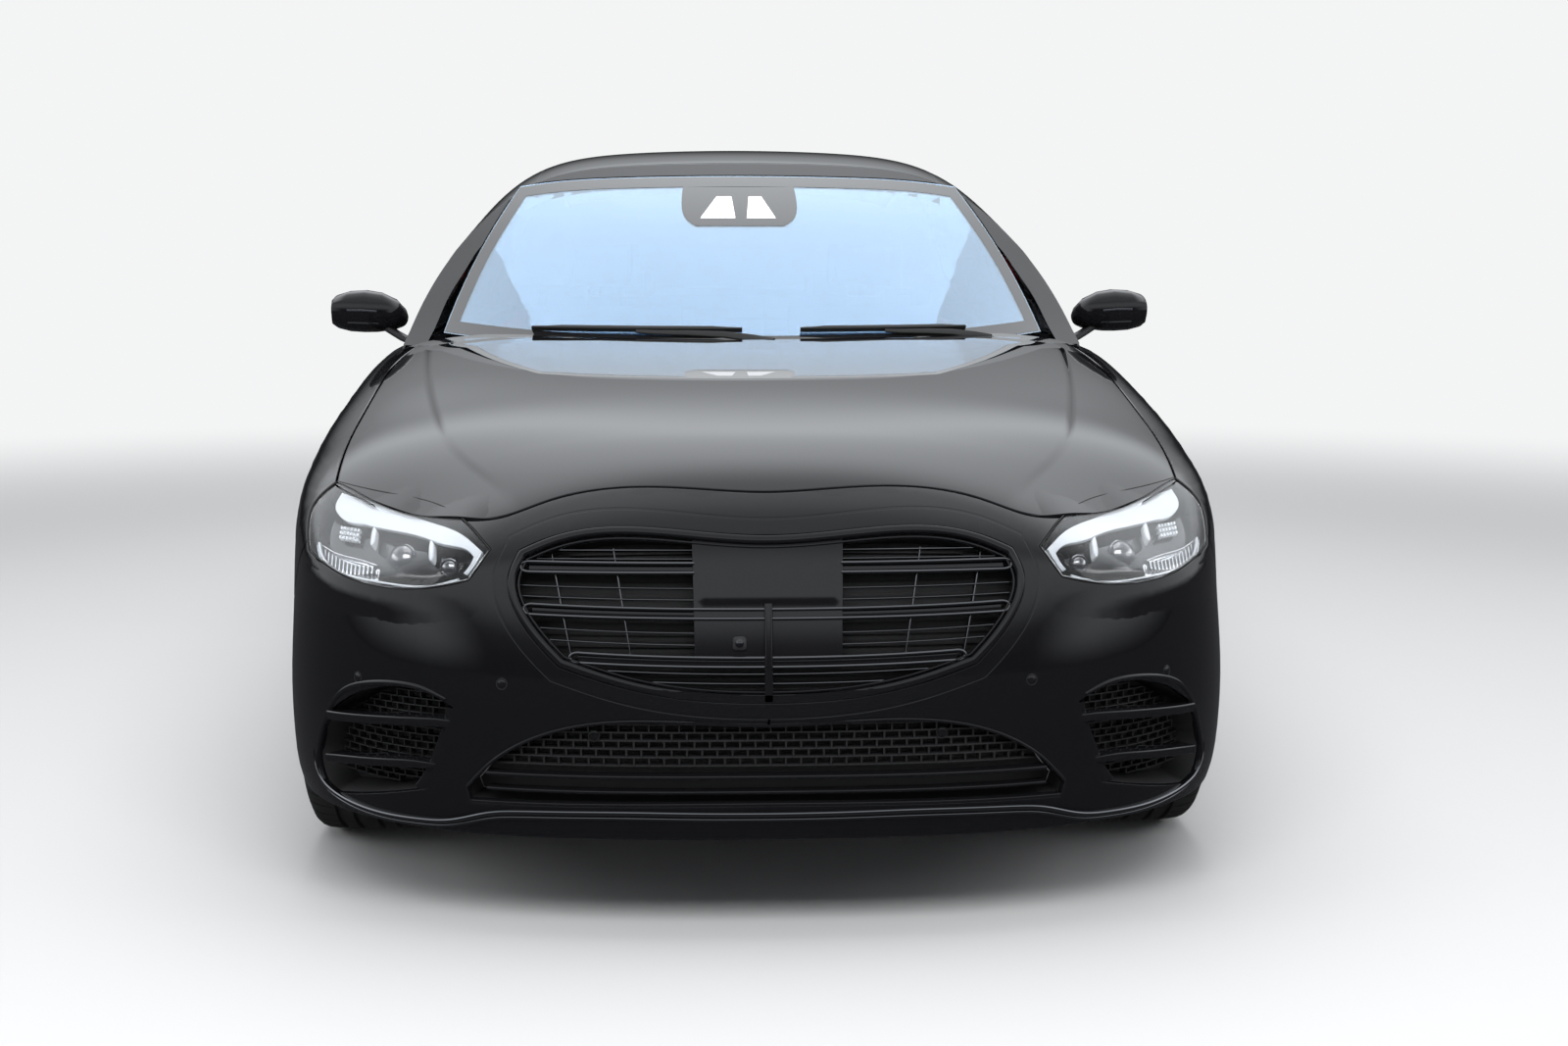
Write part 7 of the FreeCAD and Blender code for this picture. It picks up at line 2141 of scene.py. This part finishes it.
def cushion(name, points, middles, half, thick, voxel=6.0, cap=10.0, bolster=0.0, top=1.0, width=None,
            pitch=38.0, deep=4.0, grooves=()):
    """The same cushion at each middle; it is blown up once, at the first."""
    made = build(name + "_1", [cushion_form(points, middles[0], half, thick, bolster, top)], LEATHER,
                 slot="cabin_leather", sharp=180)
    inflate(made, voxel, cap)
    refine = made.modifiers.new("refine", "SUBSURF")
    refine.levels = refine.render_levels = 1
    apply_modifiers(made)
    channelled(made, points, middles[0], width or half * 0.56, pitch, deep, grooves)
    made.data.polygons.foreach_set("use_smooth", [True] * len(made.data.polygons))
    copies = [made]
    for k, middle in enumerate(middles[1:]):
        copy = bpy.data.objects.new(name + "_" + str(k + 2), made.data.copy())
        bpy.context.scene.collection.objects.link(copy)
        at = np.empty(len(copy.data.vertices) * 3)
        copy.data.vertices.foreach_get("co", at)
        at = at.reshape(-1, 3) + np.array([(middle - middles[0]) * MM, 0, 0])
        copy.data.vertices.foreach_set("co", at.ravel())
        copy.data.update()
        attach(copy, "body")
        copies.append(copy)
    print(name, "points", len(made.data.vertices))
    return copies


def side_block(x0, x1, outline):
    """A solid between two widths whose outline is seen from the side as (station, height)."""
    n = len(outline)
    points = [(x, s, z) for x in (x0, x1) for s, z in outline]
    return np.array(points, float), tube_faces(n) + [tuple(range(n))[::-1], tuple(range(n, 2 * n))]


def seams(name, items, points, middles, aside):
    """Raised seams along a cushion's face, laid on its finished surface."""
    line, facing = seat_line(points)
    keep = slice(int(len(line) * 0.1), int(len(line) * 0.92), 3)
    parts = []
    for item, middle in zip(items, middles):
        for side in (-1, 1):
            path, out = [], []
            for (s, z), (ds, dz) in zip(line[keep], facing[keep]):
                start = to_metres([[middle + side * aside, s + ds * 60, z + dz * 60]])[0]
                found, place, normal, _ = item.ray_cast(Vector(start), Vector((0, -ds, -dz)))
                if found:
                    path.append((place[0] / MM, place[1] / MM + LENGTH / 2, place[2] / MM))
                    out.append(tuple(normal))
            if len(path) > 4:
                parts.append(sweep(path, np.array(out), rounded(2.6, 2.2, 0.9, 2)))
    return build(name, parts, STITCH, slot="cabin_leather", sharp=60)


# %% [markdown]
# Each front seat is cushion, back and headrest on a hard shell with rails. The soft parts are made once and
# copied to the other side, and the shell closes the back, as it does on the real seat.

# %% Front seats
SEAT_MIDDLES = (395.0, -395.0)
FRONT_CUSHION = [(2300, 384), (2345, 414), (2430, 426), (2600, 418), (2745, 430)]
FRONT_BACK = [(2775, 462), (2812, 640), (2860, 850), (2898, 985)]
FRONT_HEAD = [(2928, 1088), (2934, 1160), (2948, 1228)]
pads = cushion("front_seat_cushion", FRONT_CUSHION, SEAT_MIDDLES, 248, 92, bolster=13, width=140,
               grooves=(148,))
seams("front_cushion_seams", pads, FRONT_CUSHION, SEAT_MIDDLES, 148)
backs = cushion("front_seat_back", FRONT_BACK, SEAT_MIDDLES, 240, 66, bolster=16, top=0.84, width=130,
                grooves=(138,))
seams("front_back_seams", backs, FRONT_BACK, SEAT_MIDDLES, 138)
cushion("front_headrest", FRONT_HEAD, SEAT_MIDDLES, 118, 34, cap=7, width=0.1, deep=3, grooves=(84,))
shells, rails, posts = [], [], []
BACK_SHELL = [(2856, 380), (2902, 352), (2962, 700), (3006, 990), (2990, 1030), (2958, 1036), (2934, 980),
              (2904, 800), (2872, 600)]
SEAT_PAN = [(2310, 300), (2880, 320), (2868, 352), (2640, 334), (2330, 336)]
SEAT_SIDE = [(2330, 304), (2890, 330), (2884, 372), (2700, 400), (2420, 372), (2320, 350)]
RAIL, RAIL_POST = ([(2362, 190), (2858, 190), (2858, 216), (2362, 216)],
                   [(2420, 214), (2820, 214), (2780, 312), (2460, 304)])
for middle in SEAT_MIDDLES:
    shells += [side_block(middle - 232, middle + 232, BACK_SHELL),
               side_block(middle - 250, middle + 250, SEAT_PAN)]
    for side in (-1, 1):
        shells.append(side_block(middle + side * 252, middle + side * 264, SEAT_SIDE))
        at_rail = middle + side * 196
        rails += [side_block(at_rail - 17, at_rail + 17, RAIL), side_block(at_rail - 8, at_rail + 8, RAIL_POST)]
        posts.append(lathe([(0, 0.001), (0, 6), (95, 6), (95, 0.001)], (middle + side * 55, 2966, 1010),
                           (0, 0, 1), 16))
shell = build("seat_shells", shells, DASH, slot="cabin_trim", soft=5.0)
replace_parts(shell, "front_seats")
build("seat_rails", rails, SATIN, slot="cabin_trim", soft=2.0)
build("headrest_posts", posts, CHROME, slot="cabin_trim")

# %% [markdown]
# The bench is one wide cushion and back with sewn grooves between the places. It is blown up with coarser
# voxels, because it is large and is seen only through the glass or an open door.

# %% Rear seat
REAR_CUSHION = [(3416, 500), (3452, 540), (3620, 524), (3785, 518)]
REAR_BACK = [(3822, 566), (3864, 790), (3914, 1010)]
REAR_HEAD = [(3924, 1034), (3930, 1080), (3944, 1134)]
bench = cushion("rear_cushion", REAR_CUSHION, (0.0,), 612, 76, voxel=9.0, width=600, grooves=(118,), pitch=36)
seams("rear_cushion_seams", bench, REAR_CUSHION, (0.0,), 118)
rear_back = cushion("rear_back", REAR_BACK, (0.0,), 612, 52, voxel=9.0, width=600, grooves=(118,), pitch=42)
seams("rear_back_seams", rear_back, REAR_BACK, (0.0,), 118)
cushion("rear_headrest", REAR_HEAD, (370.0, -370.0), 110, 26, cap=5, width=0.1, deep=3, grooves=(78,))
bench_base = [side_block(-632, 632, [(3422, 431), (3984, 431), (3984, 1036), (3952, 1036), (3900, 800),
                                     (3872, 560), (3800, 448), (3440, 462)])]
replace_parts(build("rear_seat_base", bench_base, DASH, slot="cabin_trim", soft=6.0), "rear_seat")

# %% [markdown]
# Vents, displays and a wood trim lie on the frame's plain dashboard. Blocks are placed on its slope by
# distance along and height over it, which saves turning each one by hand.

# %% Dashboard
def on_slope(origin, along, x0, x1, low, high, top, depth):
    """A block on a sloping face: widths, distances along the slope, and heights over it."""
    a = unit(np.array(along, float))
    b = np.array([-a[1], a[0]])
    rows = []
    for up in (top - depth, top):
        for x, t in ((x0, low), (x1, low), (x1, high), (x0, high)):
            s, z = np.array(origin, float) + a * t + b * up
            rows.append((x, s, z))
    return block(rows)


DASH_TOP, DASH_DOWN = (1962.0, 949.0), (70.0, -50.0)
vents, slats, bezels = [], [], []
for x in (-600, -165, -56, 56, 165, 600):
    vents.append(on_slope(DASH_TOP, DASH_DOWN, x - 46, x + 46, 14, 66, 1.5, 4))
    slats += [on_slope(DASH_TOP, DASH_DOWN, x - 44, x + 44, t, t + 4, 4.5, 3.5) for t in (22, 32, 42, 52)]
    rim = rounded(96, 56, 14, 4)
    a = unit(np.array(DASH_DOWN))
    path = [(x + u, DASH_TOP[0] + a[0] * (40 + v), DASH_TOP[1] + a[1] * (40 + v)) for u, v in rim]
    out = np.array([0, -a[1], a[0]])
    bezels.append(sweep(np.array(path) + out * 2.0, out, rounded(5, 7, 2), closed=True))
build("vent_backs", vents, LAMP_BLACK, slot="cabin_trim")
build("vent_slats", slats, SATIN, slot="cabin_trim")
build("vent_bezels", bezels, CHROME, slot="cabin_trim")
screens = [side_block(212, 528, [(1972, 930), (1986, 926), (1966, 1002), (1952, 1006)]),
           side_block(-114, 114, [(2036, 896), (2050, 900), (2146, 646), (2140, 606), (2010, 640),
                                  (2040, 800)])]
build("display_housings", screens, SATIN, slot="cabin_trim", soft=3.0)
faces_of_screens = [side_block(220, 520, [(1985, 934), (1988, 934), (1970, 996), (1967, 996)]),
                    side_block(-104, 104, [(2052, 886), (2056, 887), (2148, 652), (2143, 652)])]
build("display_faces", faces_of_screens, DISPLAY, slot="cabin_trim", soft=0.6)
trim = [side_block(-692, 692, [(2052, 838), (2063, 806), (2056, 772), (2050, 768), (2054, 806), (2046, 836)])]
build("dash_trim", trim, WOOD, slot="cabin_trim", soft=1.2)
glints = [side_block(-692, 692, [(2047, 846), (2053, 843), (2051, 838), (2045, 841)]),
          side_block(-692, 692, [(2053, 768), (2058, 766), (2053, 761), (2048, 763)])]
build("dash_strips", glints, CHROME, slot="cabin_trim")

# %% [markdown]
# These are small moulded parts whose side view says nearly all, so each is an outline given a width, with
# softened edges. The inside mirror hangs from the windscreen's own surface.

# %% Console, pedals and inside mirror
lids = [side_block(x0, x1, [(2510, 582), (2880, 594), (2896, 622), (2872, 650), (2540, 642), (2506, 616)])
        for x0, x1 in ((-96, -3), (3, 96))]
build("console_lids", lids, LEATHER, slot="cabin_leather", soft=7.0)
build("console_trim", [side_block(-92, 92, [(2150, 586), (2500, 563), (2500, 569), (2150, 593)])], WOOD,
      slot="cabin_trim", soft=2.0)
cups = [lathe([(-1, 31), (3, 31), (4, 34), (4, 38), (-1, 39)], (x, 2410, 571.5), (0, 0.07, 1), 40, True)
        for x in (-42, 42)]
roller = lathe([(-20, 0.001), (-20, 9), (20, 9), (20, 0.001)], (0, 2290, 584), (1, 0, 0), 24)
build("console_details", cups + [roller], CHROME, slot="cabin_trim")
pedal_parts = [side_block(x0, x1, [(1712, 232), (1724, 228), (1742, 330), (1730, 334)]) for x0, x1 in
               ((262, 312), (352, 424))]
pedal_parts += [side_block(x - 6, x + 6, [(1716, 300), (1730, 300), (1750, 612), (1734, 612)])
                for x in (287, 388)]
build("pedals", pedal_parts, SATIN, slot="cabin_trim", soft=2.0)
hang = float(screen_station(np.array([0.0]), np.array([1300.0]))[0])
case, stem, glass = ([(hang + s, z) for s, z in line] for line in (
    [(92, 1218), (118, 1212), (128, 1264), (118, 1280), (100, 1274)],
    [(20, 1286), (44, 1304), (108, 1262), (96, 1240)],
    [(118, 1219), (120.5, 1219), (129.6, 1264), (127, 1264)]))
build("inside_mirror", [side_block(-118, 118, case), side_block(-14, 14, stem)], GLOSS, slot="cabin_trim",
      soft=6.0)
build("inside_mirror_glass", [side_block(-110, 110, glass)], MIRROR, slot="cabin_trim")

# %% [markdown]
# The rim is a round section swept round the wheel's tilted axis, with a lathed hub and swept spokes. All of
# it rides on the steering body, while the column and its stalks stay with the car.

# %% Steering wheel
STEER_AT, STEER_AXIS = np.array([370.0, 2138.0, 808.0]), unit(np.array([0.0, 0.9615, 0.2747]))
steer_side = np.array([1.0, 0, 0])
steer_up = np.cross(steer_side, STEER_AXIS)
steer_up = steer_up if steer_up[2] > 0 else -steer_up


def on_wheel(a, b, out=0.0):
    """A point on the steering wheel: to its left, up its face and out towards the driver."""
    return STEER_AT + steer_side * a + steer_up * b + STEER_AXIS * out


ring = [on_wheel(169 * math.cos(t), 169 * math.sin(t)) for t in np.linspace(0, 2 * math.pi, 72, endpoint=False)]
rim = sweep(ring, STEER_AXIS, rounded(27, 30, 12, 5), closed=True)
hub = lathe([(-20, 0.001), (-20, 58), (-8, 70), (10, 70), (22, 60), (29, 40), (31, 0.001)], STEER_AT,
            STEER_AXIS, 48)
grip = build("steering_rim", [rim, hub], DASH, "steering_wheel", "cabin_leather")
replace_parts(grip, "steering_wheel")
arms = []
for side in (-1, 1):
    arms.append(sweep([on_wheel(side * 60, -6, 2), on_wheel(side * 110, -2, 4), on_wheel(side * 158, 6, 0)],
                      STEER_AXIS, rounded(34, 12, 4), [(1.2, 1), (1, 1), (1.1, 1)]))
    arms.append(sweep([on_wheel(side * 22, -58, 2), on_wheel(side * 30, -110, 2), on_wheel(side * 36, -158, 0)],
                      STEER_AXIS, rounded(16, 10, 3)))
build("steering_spokes", arms, SATIN, "steering_wheel", "cabin_trim")
marks = [sweep([on_wheel(side * a, -4, 11), on_wheel(side * (a + 22), -2, 11)], STEER_AXIS, rounded(20, 3, 1.4))
         for side in (-1, 1) for a in (80, 108)]
marks.append(lathe([(28, 52), (31.5, 52), (31.5, 55), (26, 56)], STEER_AT, STEER_AXIS, 48, True))
build("steering_buttons", marks, SMOKED, "steering_wheel", "cabin_trim")
column = sweep([STEER_AT - STEER_AXIS * 26, STEER_AT - STEER_AXIS * 120], np.array([0, -0.2747, 0.9615]),
               rounded(110, 96, 30, 5))
stalks = [sweep([on_wheel(side * a, b, out) for a, b, out in ((40, 18, -52), (100, 30, -44), (142, 34, -40))],
                STEER_AXIS, rounded(14, 11, 4), [1, 1, 1.25]) for side in (-1, 1)]
build("steering_column", [column] + stalks, SATIN, slot="cabin_trim")

# %% [markdown]
# Mats are flat blocks. A door card follows the door's inner face, found by casting rays at the frame's own
# door, with the armrest and pocket raised out of it.

# %% Carpets and door cards
mats = []
for side in (-1, 1):
    for s0, s1 in ((1760, 2330), (3010, 3400)):
        x0, x1 = sorted((side * 150, side * 640))
        mats.append(side_block(x0, x1, [(s0, 183), (s1, 183), (s1, 190), (s0, 190)]))
build("carpets", mats, CARPET, slot="cabin_trim", soft=2.0)


def door_card(door, outline, arm, pocket, count=(46, 30)):
    """A trim panel over a door's inner face, with an armrest and a pocket standing out of it."""
    node = NODES[door + "_left"]
    back = node.matrix_world.inverted()
    low, high = outline.min(0), outline.max(0)
    index, points, faces = {}, [], []
    for i, s in enumerate(np.linspace(low[0], high[0], count[0])):
        for j, z in enumerate(np.linspace(low[1], high[1], count[1])):
            if not inside(outline, np.array([s]), np.array([z]))[0]:
                continue
            found, place, _, _ = node.ray_cast(back @ Vector(to_metres([[450.0, s, z]])[0]), Vector((1, 0, 0)))
            if not found:
                continue
            lift = 6.0
            for (s0, s1, z0, z1, out, ramp) in (arm, pocket):
                inner = min(s - s0, s1 - s, z - z0, z1 - z)
                lift = max(lift, 6 + out * float(np.clip(inner / ramp + 0.5, 0, 1)) ** 0.6)
            index[i, j] = len(points)
            points.append(((node.matrix_world @ place)[0] / MM - lift, s, z))
    for (i, j) in index:
        corners = [(i, j), (i + 1, j), (i + 1, j + 1), (i, j + 1)]
        if all(corner in index for corner in corners):
            faces.append(tuple(index[corner] for corner in corners))
    skin = np.array(points)
    total = len(skin)
    sides = {(a, b) for face in faces for a, b in zip(face, face[1:] + face[:1])}
    walls = [(b, a, a + total, b + total) for (a, b) in sides if (b, a) not in sides]
    under = skin + np.array([5.0, 0, 0])
    return np.concatenate([skin, under]), faces + walls + [tuple(k + total for k in face[::-1])
                                                           for face in faces]


CARD_GAP = 46.0
for door, line, arm, pocket in (
        ("front_door", front_door_line, (2060, 2780, 590, 640, 46, 16), (1980, 2640, 330, 430, 26, 18)),
        ("rear_door", rear_door_line, (3060, 3560, 600, 650, 44, 16), (3080, 3420, 340, 430, 22, 18))):
    bodies = sides_of(door)
    card = offset(line, -CARD_GAP)
    card = card[card[:, 1] < 905]
    pair(door + "_card", [door_card(door, card, arm, pocket)], DASH, bodies, slot="cabin_trim", sharp=50)
print("cabin done")

# %% [markdown]
# The rear. The lamps get ribbed lenses with light bars in them. The boot has a bare plate mount under a
# bright strip, and the bumper a dark lower part with two exhaust trims.

# %% Tail lamps
def on_tail(xz, chart=Girth):
    """Points of the tail's skin under (x, height) points seen from behind, and the way the skin faces there."""
    points = skin_of("rear", np.asarray(xz, float), chart)
    return points, skin_normals(chart.skin, points)


def rib_relief(x, s, z):
    return 0.7 * np.cos((z - 842) / 9.0 * math.pi) - 0.7


def lamp_bars(heights, x0, x1, chart, width=6.0):
    """Bright bars that lie on a lamp's lens between two widths."""
    bars = []
    for z in heights:
        xs = np.arange(x0, x1 + 1, 12.0)
        path, facing = on_tail(rows_of(xs, z), chart)
        bars.append(sweep(path + facing * 0.2, facing, rounded(width, 3.0, 1.2, 2)))
    return bars


tail_panel_line, boot_panel_line = outline_of(TAIL_LAMP, -3.0, 8), outline_of(BOOT_LAMP, -3.0, 8)
lens_keep = (lambda line: lambda x, s, z: inside(line, x, z) & (s > 4600))
panel("tail_lens", Girth, [("rear", tail_panel_line, True), ("top", curve([(709, 4500), (709, 5300)]), False)],
      lambda x, s, z: inside(tail_panel_line, x, z) & (s > 4600) & (x > 709), RED_LENS, 14, 2.0, 5, "pair",
      rib_relief, 1.0, ((4950, 820), (5700, 980)), slot="lamp_red")
panel("boot_lens", Tail, [("rear", boot_panel_line, True)], lens_keep(boot_panel_line), RED_LENS, 14, 2.0, 5,
      "pair", rib_relief, 1.0, ((280, 820), (710, 1010)), ("boot_lid", "boot_lid"), "lamp_red")
pair("tail_light_bars", lamp_bars((868, 893, 918), 722, 850, Girth), DARK_RED, slot="lamp_red")
pair("boot_light_bars", lamp_bars((868, 893, 918), 330, 680, Tail), DARK_RED, ("boot_lid", "boot_lid"),
     slot="lamp_red")
glow = outline_of(straight((-150, 1396), (150, 1396), (150, 1384), (-150, 1384)))
pane_plate("high_brake_light", glow, RED_LENS, BACK_PANE, lift=0.6, spacing=16, slot="lamp_red")

# %% [markdown]
# A bright strip crosses the boot over a recess with no plate in it. The mount is a panel on the tail's
# chart, so it bends with the lid instead of floating before it.

# %% Boot trim and bare plate mount
xs = np.arange(-286, 287, 13.0)
path, facing = on_tail(rows_of(xs, 946 - (xs / 286) ** 2 * 2), Tail)
build("boot_strip", [sweep(path + facing * 1.5, facing, rounded(14, 8, 3))], CHROME, "boot_lid", sharp=50)
mount = outline_of(straight((-262, 918), (262, 918), (266, 914), (266, 806), (262, 802), (-262, 802),
                            (-266, 806), (-266, 914)))
panel("plate_mount", Tail, [("rear", mount, True)], lambda x, s, z: inside(mount, x, z) & (s > 5000), GRAINED,
      18, 2.5, 3, lift=2.2, window=((-290, 790), (290, 940)), body="boot_lid", slot="black_trim")
rim_path, facing = on_tail(mount, Tail)
build("plate_mount_edge", [sweep(rim_path + facing * 2.0, facing, rounded(5, 6, 2), closed=True)], SATIN,
      "boot_lid", sharp=50)
lights = []
for x in (-120, 120):
    path, facing = on_tail([(x - 24, 932), (x, 932), (x + 24, 932)], Tail)
    lights.append(sweep(path + facing * 1.0, facing, rounded(12, 6, 2)))
build("plate_lights", lights, LENS, "boot_lid", slot="lamp_lens", sharp=50)

# %% [markdown]
# The lower bumper is satin, with an exhaust trim at each side, small fins, reflectors and sensors. Plates
# on the tail's skin and sweeps along it do all of these with the helpers from the nose.

# %% Bumper details
def tail_plate(name, outline, finish_of_piece, lift, depth=4.0, radius=1.6, slot="black_trim", **rest):
    return panel(name, Girth, [("rear", outline, True)], lambda x, s, z: inside(outline, x, z) & (s > 4800),
                 finish_of_piece, 18, radius, depth, lift=lift, slot=slot, window=((4800, 180), (5950, 760)),
                 **rest)


lower = outline_of([[(-1, 206), (590, 206)], [(590, 206), (640, 240), (655, 300)],
                    [(655, 300), (560, 352), (300, 356), (-1, 356)], [(-1, 356), (-1, 206)]])
tail_plate("rear_lower_trim", lower, SATIN, 1.6, mirror="both")
trims, fins = [], []
outlet = rounded(176, 62, 24, 6) + [455, 262]
path, facing = on_tail(outlet)
trims.append(sweep(path + facing * 3.0, facing, rounded(7, 12, 3), closed=True))
inner = outline_of([list(map(tuple, np.concatenate([outlet, outlet[:1]])))], -2.0, 10)
for x in (70, 180, 290):
    path, facing = on_tail([(x, 212), (x, 240), (x, 272), (x, 300)])
    fins.append(sweep(path + facing * 3.0, facing, rounded(5, 10, 1.5), [1, 1, 1, 0.6]))
pair("exhaust_trim", trims, CHROME, slot="exhaust_steel", sharp=50)
tail_plate("exhaust_throat", inner, LAMP_BLACK, 2.4, mirror="pair")
build("diffuser_fins", fins, GRAINED, both=True, sharp=50)
reflector = outline_of(straight((600, 396), (735, 404), (738, 388), (602, 380)))
tail_plate("rear_reflector", reflector, RED_LENS, 1.4, mirror="pair", slot="lamp_red")
xs = np.arange(0, 651, 13.0)
path, facing = on_tail(rows_of(xs, 364))
build("rear_bumper_strip", [sweep(path + facing * 1.2, facing, rounded(8, 5, 1.8))], CHROME, both=True,
      sharp=50)
sensor_parts = [sensor(*on_tail([(x, 470)])) for x in (250, 620)]
build("rear_sensors", [face for face, rim in sensor_parts], GLOSS, both=True)
build("rear_sensor_rims", [rim for face, rim in sensor_parts], SEAL, both=True)
print("rear done")

# %% [markdown]
# Underneath, ribbed covers close the floor beside the tunnel, and the exhaust has its catalyst, clamps and
# silencer ends.

# %% Underbody
covers, ribs = [], []
for s0, s1 in ((1790, 2620), (2650, 3560)):
    covers.append(side_block(150, 640, [(s0, 166.5), (s0 + 10, 171.5), (s1 - 10, 171.5), (s1, 166.5)]))
    ribs += [side_block(x - 7, x + 7, [(s0 + 40, 163), (s1 - 40, 163), (s1 - 30, 167), (s0 + 30, 167)])
             for x in (230, 330, 430, 530)]
build("underfloor_covers", covers + ribs, GRAINED, slot="underbody", both=True, soft=1.5)
plugs = [lathe([(-5, 0.001), (-5, 7), (-3, 11), (0, 11), (0, 0.001)], (x, s, 166.5), (0, 0, 1), 16)
         for x in (170, 400, 620) for s in (1830, 2200, 2580, 2690, 3100, 3520)]
build("underfloor_fixings", plugs, SATIN, slot="underbody", both=True)
catalyst = lathe([(0, 33.5), (50, 58), (60, 60), (250, 60), (260, 58), (310, 33.5)], (0, 1500, 240),
                 (0, 1, 0), 40)
middle_box = lathe([(0, 33.5), (30, 66), (44, 70), (420, 70), (434, 66), (464, 33.5)], (0, 2500, 240),
                   (0, 1, 0), 40)
clamps = [lathe([(0, 32.5), (0, 38), (26, 38), (26, 32.5)], (0, s, 240), (0, 1, 0), 32)
          for s in (1430, 2200, 3200, 3640)]
build("exhaust_boxes", [catalyst, middle_box] + clamps, STEEL, slot="exhaust_steel", sharp=30)
print("underside done")
